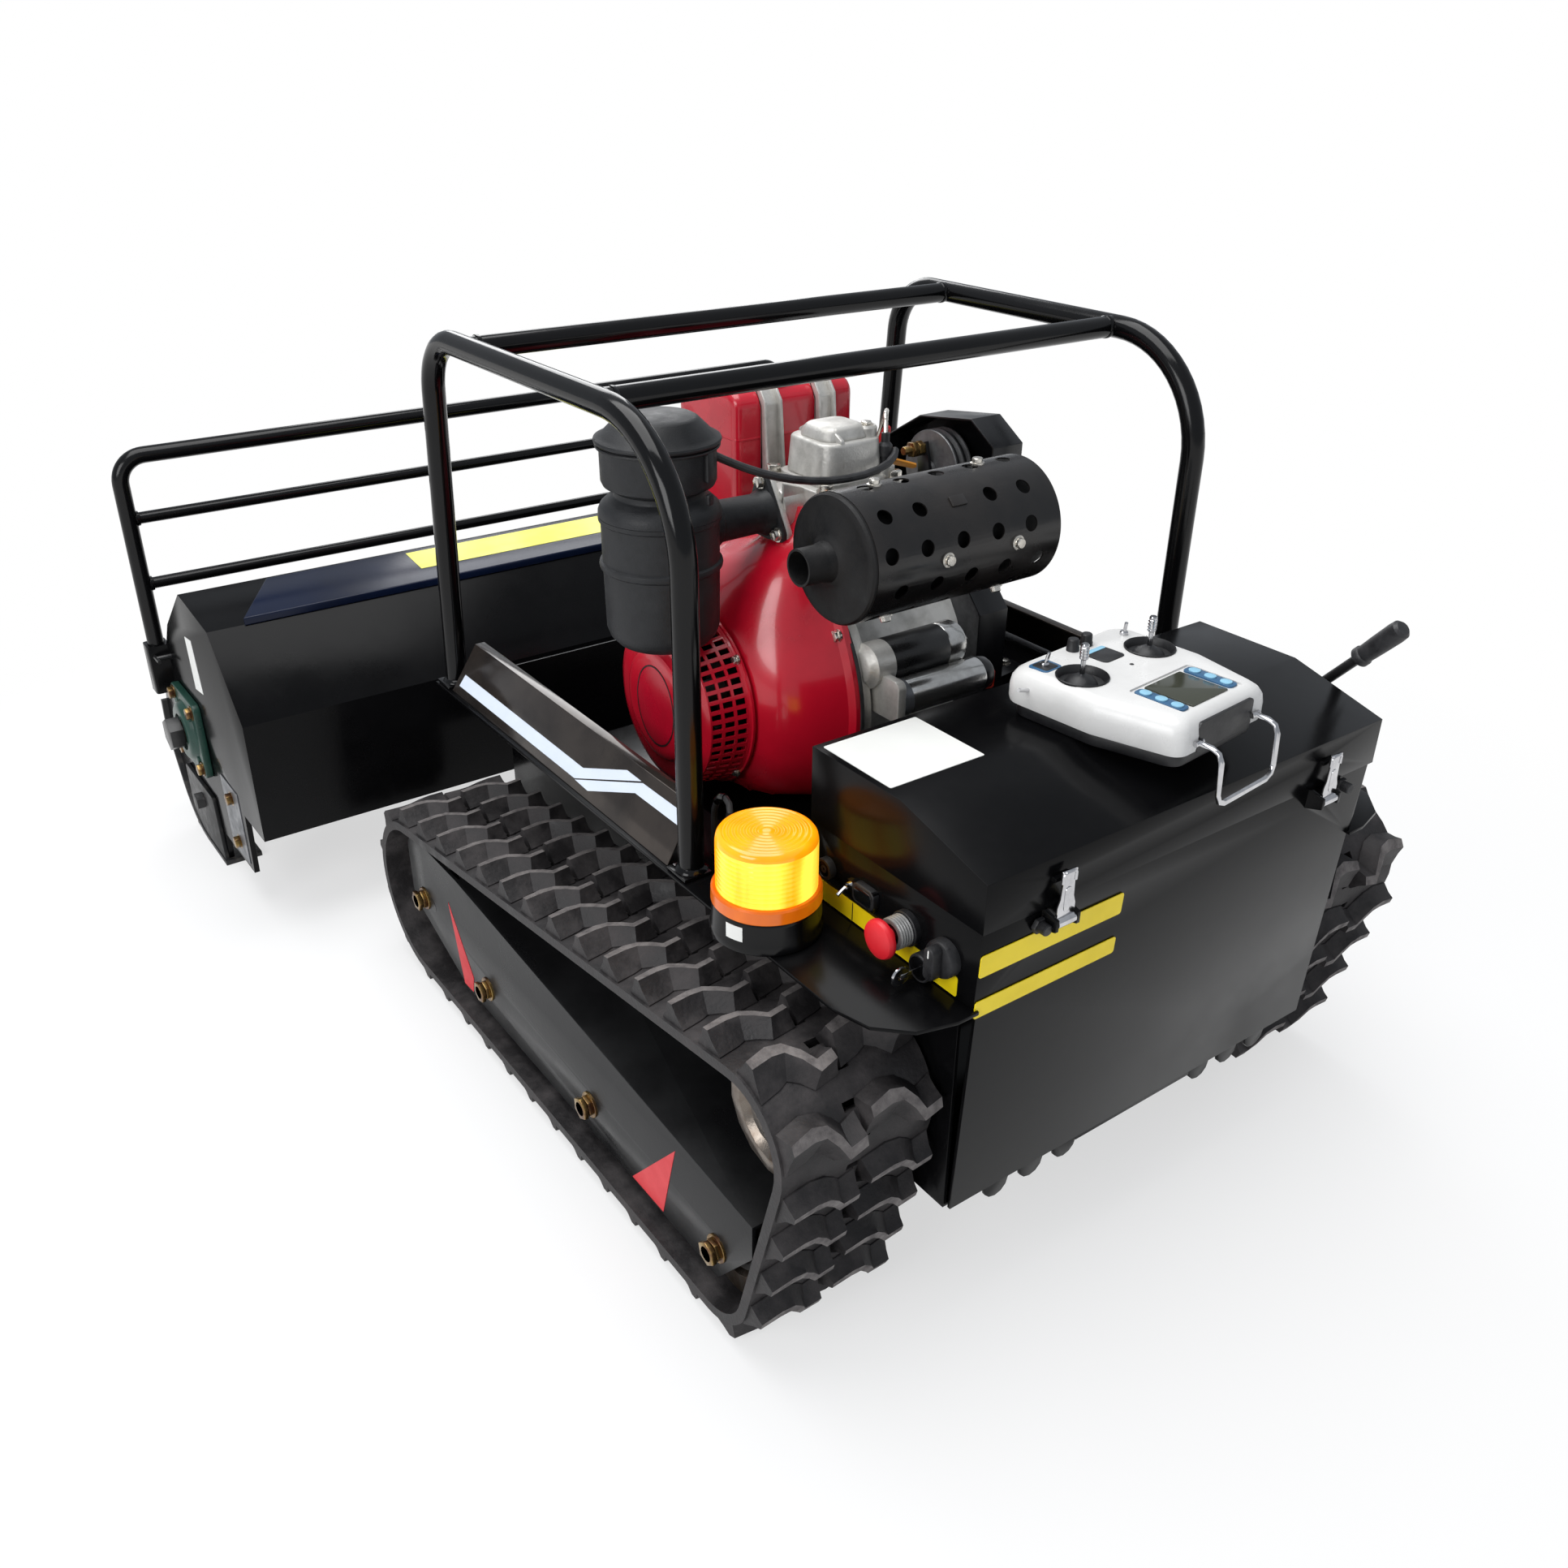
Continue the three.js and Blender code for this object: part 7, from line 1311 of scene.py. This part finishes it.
# Levers: the decompression lever is thin bent steel with a red tip, and the fixed speed lever
# beside it is orange strip. The clutch lever is a black rod in a rubber grip, on a boss.
red_plastic = coat("red_plastic", "control_red", (196, 22, 26), 0.35, (160, 16, 22), grain=30,
    shine=0.45)
valve_orange = coat("valve_orange", "zinc_yellow", (226, 150, 36), 0.4, (196, 122, 28), grain=25)
decomp = middle_of("decompression_lever")
decomp_x, decomp_pivot = decomp.x, (0.522, 0.738)
lean = -1.05


def on_lever(y, z):
    """A place on the decompression lever, drawn along its own length, as (y, z)."""
    c, s = math.cos(lean), math.sin(lean)
    return (decomp_pivot[0] + y * c - z * s, decomp_pivot[1] + y * s + z * c)


arm = slab("decomp_arm", [on_lever(y, z) for y, z in ((0.006, -0.0028), (-0.02, -0.0026),
    (-0.052, -0.0022), (-0.052, 0.0018), (-0.02, 0.0026), (0.006, 0.0028))], "X", decomp_x - 0.0015,
    decomp_x + 0.0015, 0.0005)
hub = turned("decomp_hub", "X", decomp_pivot, [(0.0, -0.0038), (0.0068, -0.0038), (0.0072, -0.003),
    (0.0072, 0.003), (0.006, 0.0038), (0.0, 0.0038)], 28, start=decomp_x)
settled(joined("decomp_lever", [arm, hub]), zinc_bright, "decompression_lever",
    body="decompression_lever")
tip = slab("decomp_tip", [on_lever(y, z) for y, z in ((-0.048, -0.0042), (-0.052, -0.0052),
    (-0.074, -0.0048), (-0.079, -0.002), (-0.079, 0.002), (-0.074, 0.0048), (-0.052, 0.0042),
    (-0.048, 0.0034))], "X", decomp_x - 0.0034, decomp_x + 0.0034, 0.0012, segments=3)
settled(tip, red_plastic, body="decompression_lever")

speed_lever = slab("speed_lever", [(0.013, -0.006), (0.06, -0.005), (0.072, -0.0045), (0.0745, 0.0),
    (0.072, 0.0045), (0.06, 0.005), (0.013, 0.006)], "Z", -0.0014, 0.0014, 0.0005)
moved(speed_lever, Matrix.Translation((0.0, 0.488, 0.779)) @ Matrix.Rotation(math.radians(17), 4,
    "Y") @ Matrix.Rotation(math.radians(-16), 4, "Z") @ Matrix.Rotation(math.radians(-38), 4, "X"))
settled(speed_lever, valve_orange)

clutch_pivot, clutch_lean = (0.148, 0.452), 0.71
clutch_x = 0.33


def on_clutch(profile):
    """A profile along the clutch lever's rod, from its pin out to its end."""
    piece = turned("clutch_part", "Z", (0.0, 0.0), profile, 40)
    moved(piece, Matrix.Translation((clutch_x, *clutch_pivot))
        @ Matrix.Rotation(clutch_lean, 4, "X"))
    return piece


rod_part = on_clutch([(0.0, 0.004), (0.0058, 0.004), (0.0058, 0.208), (0.0, 0.208)])
boss = turned("clutch_boss", "X", clutch_pivot, [(0.0062, -0.0085), (0.012, -0.0085),
    (0.0128, -0.007), (0.0128, 0.007), (0.012, 0.0085), (0.0062, 0.0085)], 40, closed=True,
    start=clutch_x)
settled(joined("clutch_rod", [rod_part, boss]), black_enamel, "clutch_lever", body="clutch_lever")
grip = on_clutch([(0.0, 0.2055), (0.0105, 0.2055), (0.0118, 0.207), (0.0118, 0.213),
    (0.0104, 0.215), (0.0112, 0.235), (0.0118, 0.26), (0.0112, 0.268), (0.008, 0.2712),
    (0.0, 0.2718)])
settled(grip, hose_rubber, body="clutch_lever")


# Deck lift: welded steel arms on pins at the hull's front, lifted by a hydraulic ram whose
# chromed rod works inside a black painted cylinder.
for node, body, name, finish, slot in (("lift_frame", "deck", "lift_arms", frame_paint,
        "black_satin"), ("lift_ram", "ram", "ram_cylinder", gloss_black, "black_satin"),
        ("lift_rod", "rod", "ram_rod", chrome, "chrome")):
    settled(copied(node, name, 0.0015), finish, node, slot=slot, body=body)


# Flail deck: a welded shell of folded sheet in gloss black, closed by thick end plates, with a
# cover plate bolted on top, its top in a painted dark blue sky reflection. Its two strips and
# its end label are plain stickers.
settled(copied("deck_shell", "deck_body", 0.0022), panel_black, "deck_shell", body="deck")
# The cover's dark blue is a painted reflection of the sky on its black gloss top, not a paint
# colour.
painted_sky_reflection = coat("painted_sky_reflection", "black_gloss", (13, 22, 44), 0.2, (10, 16, 32), grain=4, spread=0.35,
    bump=0.05, fine=50, shine=0.2)
deck_half = 0.6
cover = slab("deck_cover", [(1.19, 0.457), (1.19, 0.469), (1.3, 0.482), (1.312, 0.47)], "X", -0.513,
    0.513, 0.002, segments=3)
for vertex in cover.data.vertices:
    if abs(vertex.co.x) > 0.5:
        vertex.co.x += math.copysign(1, vertex.co.x) * (0.035 - 0.07 * (vertex.co.y - 1.19) / 0.11)
settled(cover, painted_sky_reflection, body="deck")
strip_yellow = coat("strip_yellow", "zinc_yellow", (226, 222, 92), 0.4, (214, 208, 78), grain=9,
    bump=0.05)
strip = slab("deck_strip", [(1.23, 0.4736), (1.23, 0.4742), (1.29, 0.4812), (1.29, 0.4806)], "X",
    -0.262, 0.085)
settled(strip, strip_yellow, body="deck")
end_label = slab("deck_end_label", [(1.294, 0.324), (1.336, 0.318), (1.341, 0.402), (1.306, 0.407)],
    "X", -deck_half - 0.0006, -deck_half + 0.0004)
settled(end_label, label_pale, body="deck")
end_nuts = [bolt("end_bolt", "X", (y, z), side * deck_half, side, 0.0095, 0.0085, y)
    for y, z in ((1.245, 0.092), (1.245, 0.168)) for side in (-1, 1)]
settled(joined("end_bolts", end_nuts), bolt_zinc, body="deck")
for side in (-1, 1):
    edge = slab("height_plate", rounded(1.205, 0.068, 1.29, 0.192, 0.004), "X", side * deck_half,
        side * (deck_half + 0.0012))
    settled(edge, cold_grey, body="deck")


# Rotor bearings: square cast flange units painted dark green, with four yellow zinc bolts each
# and a grease nipple. The black shaft nut in the middle turns with the rotor.
bearing_green = coat("bearing_green", "zinc_yellow", (24, 56, 48), 0.34, (34, 66, 56), grain=30,
    bump=0.25, fine=300, shine=0.4)
rotor_y, rotor_z = 1.4, 0.225
for side, sign in (("left", -1), ("right", 1)):
    node = "rotor_bearing_" + side
    face = abs(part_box(node)[0 if sign > 0 else 1].x)
    flange = slab("bearing_flange", rounded(rotor_y - 0.064, rotor_z - 0.064, rotor_y + 0.064,
        rotor_z + 0.064, 0.014, 6), "X", sign * face, sign * (face + 0.0115), 0.0018, segments=3)
    housing = turned("bearing_housing", "X", (rotor_y, rotor_z), [(0.016, 0.0105), (0.052, 0.0105),
        (0.05, 0.013), (0.0455, 0.019), (0.042, 0.0215), (0.03, 0.0218), (0.029, 0.017),
        (0.016, 0.017)], 64, closed=True, start=sign * face, way=sign)
    ribs = [slab("bearing_rib", rounded(-0.058, -0.006, 0.058, 0.006, 0.003), "X",
        sign * (face + 0.01), sign * (face + 0.015), 0.0012) for _ in range(2)]
    for rib, turn in zip(ribs, (math.pi / 4, -math.pi / 4)):
        moved(rib, Matrix.Translation((0, rotor_y, rotor_z)) @ Matrix.Rotation(turn, 4, "X"))
    nipple = turned("grease_nipple", "X", (rotor_y + 0.02, rotor_z + 0.03),
        [(0.0, 0.018), (0.004, 0.018), (0.004, 0.0215), (0.0, 0.0218)], 16, start=sign * face,
        way=sign)
    settled(joined("bearing_" + side, [flange, housing, nipple] + ribs), bearing_green, node,
        body="deck")
    corner_bolts = [bolt("bearing_bolt", "X", (rotor_y + u * 0.0486, rotor_z + v * 0.0486),
        sign * (face + 0.0115), sign, 0.0098, 0.0075, u + 0.4 * v) for u in (-1, 1)
        for v in (-1, 1)]
    settled(joined("bearing_bolts_" + side, corner_bolts), bolt_zinc, body="deck")


# Flail rotor: a steel tube with rows of Y shaped flails, worn bright at their tips, running in
# the bearings and held by a black hexagon nut at each end.
rotor_steel = coat("rotor_steel", "bare_steel", (70, 66, 62), 0.4, (112, 94, 78), metal=0.8,
    grain=40, bump=0.25, fine=260, patch=(0.45, 0.7))
rotor = copied("flail_rotor", "rotor_body", 0.001)
nut_start = 0.6 + 0.0225
rotor.data.materials.append(rotor_steel)
rotor.data.materials.append(black_enamel)
for polygon in rotor.data.polygons:
    polygon.material_index = 1 if abs(polygon.center.x) > nut_start else 0
settled(rotor, None, "flail_rotor", slot="bare_steel", body="rotor")


# Skid shoes: bent bar under the end plates, painted black and scuffed at the soles, and the
# rubber edged front flap on its hinge pin.
scuffed = coat("scuffed", "black_satin", (24, 24, 25), 0.42, (70, 66, 62), grain=55, bump=0.2,
    patch=(0.55, 0.75), shine=0.4)
for side in ("left", "right"):
    node = "skid_shoe_" + side
    settled(copied(node, "shoe_" + side, 0.0015), scuffed, node, body="deck")
flap = copied("front_flap", "flap_sheet", 0.0012)
settled(flap, hose_rubber, "front_flap", slot="black_satin", body="front_flap")


# Guard rack: a hoop of 25 mm steel tube with two thinner bars, gloss black, dropped into welded
# sockets at the deck's ends and held by a plated pin with a T handle.
rack_half, rack_y, rack_foot, rack_top = 0.613, 1.5, 0.3003, 0.638
hoop = rod("rack_hoop", bent([(-rack_half, rack_y, rack_foot), (-rack_half, rack_y, rack_top),
    (rack_half, rack_y, rack_top), (rack_half, rack_y, rack_foot)], [0.04, 0.04], 12), 0.0125, 28)
rack = [hoop]
for share in (0.41, 0.72):
    z = 0.3 + (rack_top - 0.3) * share
    rack.append(rod("rack_bar", [(-rack_half, rack_y, z), (rack_half, rack_y, z)], 0.009, 24))
    for side in (-1, 1):
        bead = side * (rack_half - 0.012)
        rack.append(turned("rack_weld", "X", (rack_y, z), [(0.0085, 0.001), (0.0118, 0.001),
            (0.0112, -0.003), (0.0088, -0.004)], 24, closed=True, start=bead, way=side))
settled(joined("rack", rack), gloss_black, "guard_rack", body="deck", angle=40)
pins = []
for side in (-1, 1):
    pins.append(rod("rack_pin", [(side * 0.59, rack_y - 0.03, 0.325), (side * 0.622, rack_y - 0.03,
        0.325)], 0.0045, 16))
    pins.append(rod("pin_handle", [(side * 0.622, rack_y - 0.046, 0.325), (side * 0.622,
        rack_y - 0.014, 0.325)], 0.0032, 12))
settled(joined("rack_pins", pins), black_enamel, body="deck")


# Transmitter: a white moulded case with deep rounded sides on a black base, two dished gimbals,
# two knobs, toggle switches at its corners, a bare dark screen with blue key strips beside it.
case_white = coat("case_white", "shell_white", (214, 213, 211), 0.3, (202, 201, 199), grain=14,
    bump=0.08, fine=500, shine=0.45)
case_black = coat("case_black", "black_satin", (18, 18, 20), 0.45, (30, 30, 32), grain=30, bump=0.2)
screen_glass = coat("screen_glass", "black_satin", (52, 54, 44), 0.12, (58, 60, 49), grain=9,
    shine=0.6)
key_blue = coat("key_blue", "black_satin", (48, 92, 128), 0.35, (38, 78, 112), grain=12)
key_pale = coat("key_pale", "shell_white", (140, 190, 214), 0.35, (122, 172, 198), grain=12)
remote_place, remote_angle = Vector((0.02, 0.06)), 0.1
case_foot, case_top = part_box("remote_case")[0].z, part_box("remote_case")[0].z + 0.052
half_x, half_y = 0.093, 0.1


def on_case(piece):
    """Turns a piece drawn square at the case's middle to the way the case lies on the lid."""
    moved(piece, Matrix.Translation((*remote_place, 0)) @ Matrix.Rotation(remote_angle, 4, "Z"))
    return piece


def case_outline(inset):
    """The case seen from above: square shoulders away from the user and drawn in towards them."""
    x, y, neck = half_x - inset, half_y - inset, half_x * 0.78 - inset
    corners = [(-neck, -y), (neck, -y), (x, -half_y * 0.1), (x, y), (-x, y), (-x, -half_y * 0.1)]
    line = bent([(*corners[-1], 0), *[(*c, 0) for c in corners], (*corners[0], 0)],
        [0.016, 0.016, 0.03, 0.02, 0.02, 0.03], 6)[1:-1]
    return [(p.x, p.y) for p in line]


layers = ((0.006, 0.012), (0.001, 0.015), (0.0, 0.02), (0.0, 0.032), (0.0012, 0.04),
    (0.0045, 0.046), (0.009, 0.0495), (0.014, 0.0512))
rings = [[(x, y, case_foot + z) for x, y in case_outline(inset)] for inset, z in layers]
count = len(rings[0])
bpy.ops.object.select_all(action="DESELECT")
bpy.ops.mesh.primitive_grid_add(x_subdivisions=len(layers) - 1, y_subdivisions=count, size=1)
shell = bpy.context.object
for vertex in shell.data.vertices:
    layer = round((vertex.co.x + 0.5) * (len(layers) - 1))
    vertex.co = rings[layer][round((vertex.co.y + 0.5) * count) % count]
in_edit(shell)
bpy.ops.mesh.remove_doubles(threshold=2e-05)
for height in (layers[0][1], layers[-1][1]):
    bpy.ops.object.mode_set(mode="OBJECT")
    only(shell)
    bpy.context.tool_settings.mesh_select_mode = (True, False, False)
    for vertex in shell.data.vertices:
        vertex.select = abs(vertex.co.z - case_foot - height) < 2e-05
    for part in [*shell.data.edges, *shell.data.polygons]:
        part.select = False
    bpy.ops.object.mode_set(mode="EDIT")
    bpy.ops.mesh.select_mode(type="VERT")
    bpy.ops.mesh.edge_face_add()
out_of_edit()
pockets = []
gimbals = [(-0.056, 0.03), (0.056, 0.03)]
for x, y in gimbals:
    pockets.append(turned("pocket", "Z", (x, y), [(0.0, -0.01), (0.0245, -0.01), (0.0275, 0.004),
        (0.0, 0.004)], start=case_top))
pockets.append(slab("screen_pocket", rounded(-0.05, -0.084, 0.05, -0.02, 0.004), "Z",
    case_top - 0.0028, case_top + 0.004))
cut_by(shell, pockets)
settled(on_case(shell), case_white, "remote_case", body="remote", angle=40)
base = slab("case_base", case_outline(0.0065), "Z", case_foot, case_foot + 0.0125, 0.002)
settled(on_case(base), case_black, body="remote")


def on_top(name, outline, low, high, rounding=0.0006):
    """A flat piece on the case's top, between two heights counted from the case's top."""
    return on_case(slab(name, outline, "Z", case_top + low, case_top + high, rounding))


screen = on_top("remote_screen", rounded(-0.03, -0.08, 0.03, -0.024, 0.002), -0.004, -0.0012)
settled(screen, screen_glass, body="remote")
strips, keys = [], []
for sign in (-1, 1):
    x0, x1 = sorted((sign * 0.0335, sign * 0.0485))
    strips.append(on_top("key_strip", rounded(x0, -0.08, x1, -0.024, 0.005), -0.004, -0.0008))
    for i in range(3):
        y = -0.07 + 0.018 * i
        keys.append(on_top("key", rounded(x0 + 0.002, y - 0.006, x1 - 0.002, y + 0.006, 0.005),
            -0.0012, 0.0006))
strips.append(on_top("switch_face", rounded(-0.078, 0.058, -0.05, 0.082, 0.005), -0.003, -0.0002))
settled(joined("remote_strips", strips), key_blue, body="remote")
keys.append(on_top("plate_band", rounded(-0.011, 0.059, 0.021, 0.065, 0.002), -0.003, 0.0005,
    0.0003))
settled(joined("remote_keys", keys), key_pale, body="remote")
dark = [on_top("remote_plate", rounded(-0.012, 0.034, 0.022, 0.064, 0.006), -0.0035, 0.0001),
    on_top("switch_plate", rounded(-0.074, 0.06, -0.054, 0.08, 0.003), -0.003, 0.0003),
    on_top("end_hole", rounded(0.004, 0.014, 0.009, 0.019, 0.0024), -0.003, -0.0004)]
for x in (-0.01, 0.012):
    knob = turned("trim_knob", "Z", (x, 0.078), [(0.0, -0.004), (0.0068, -0.004), (0.0068, 0.003),
        (0.0062, 0.004), (0.0058, 0.011), (0.0048, 0.0122), (0.0, 0.0122)], 28, start=case_top)
    dark.append(on_case(knob))
recess = slab("end_recess", rounded(-0.046, case_foot + 0.013, 0.046, case_foot + 0.044, 0.005),
    "Y", -half_y - 0.0002, -half_y + 0.004, 0.0008)
dark.append(on_case(recess))
for x, y in gimbals:
    bowl = turned("gimbal_dish", "Z", (x, y), [(0.0, -0.01), (0.024, -0.0098), (0.0252, -0.002),
        (0.0268, 0.0006), (0.0262, 0.0012), (0.0244, -0.0012), (0.0228, -0.007), (0.0, -0.0085)],
        56, start=case_top)
    dark.append(on_case(bowl))
settled(joined("remote_trim", dark), case_black, body="remote")
switch_levers = []
for (x, y), lean_x in (((-0.064, 0.071), 0.002), ((0.066, 0.07), -0.002)):
    switch_levers.append(on_case(rod("toggle", [(x, y, case_top - 0.002), (x + lean_x, y - 0.003,
        case_top + 0.0135)], 0.002, 12)))
    switch_levers.append(on_case(turned("toggle_collar", "Z", (x, y),
        [(0.0, -0.003), (0.0046, -0.003), (0.0046, 0.002), (0.0034, 0.0034), (0.0, 0.0034)], 20,
        start=case_top)))
for sign in (-1, 1):
    switch_levers.append(on_case(rod("shoulder_lever", [(sign * 0.09, 0.066, case_top - 0.018),
        (sign * 0.106, 0.068, case_top - 0.014)], 0.0022, 12)))
settled(joined("remote_levers", switch_levers), chrome, body="remote")
fin = slab("aerial_fin", rounded(0.094, case_foot + 0.019, 0.1155, case_foot + 0.033, 0.006, 5),
    "X", -0.0072, 0.0072, 0.003, segments=3)
settled(on_case(fin), case_white, body="remote")

for side in ("left", "right"):
    place = middle_of("remote_stick_" + side)
    low, high = (corner.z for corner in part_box("remote_stick_" + side))
    at = (place.x, place.y - drawing_zero)
    dome = turned("stick_dome", "Z", at, [(0.0, 0.0), (0.008, 0.001), (0.015, 0.0055),
        (0.0168, 0.01), (0.014, 0.014), (0.008, 0.0175), (0.005, 0.0188), (0.0, 0.019)], 48,
        start=low)
    settled(dome, case_black, "remote_stick_" + side, body="stick_" + side)
    profile = [(0.0, low + 0.018), (0.0026, low + 0.018), (0.0026, high - 0.017),
        (0.0042, high - 0.016)]
    for ring in range(4):
        z = high - 0.0155 + ring * 0.0033
        profile += [(0.0046, z), (0.0046, z + 0.0018), (0.004, z + 0.0022), (0.004, z + 0.003)]
    profile += [(0.004, high - 0.0012), (0.0032, high), (0.0, high)]
    settled(turned("stick_lever", "Z", at, profile, 32), chrome, body="stick_" + side)
bail = copied("remote_bail", "bail_loop", 0.0)
settled(bail, chrome, "remote_bail", body="bail", angle=50)
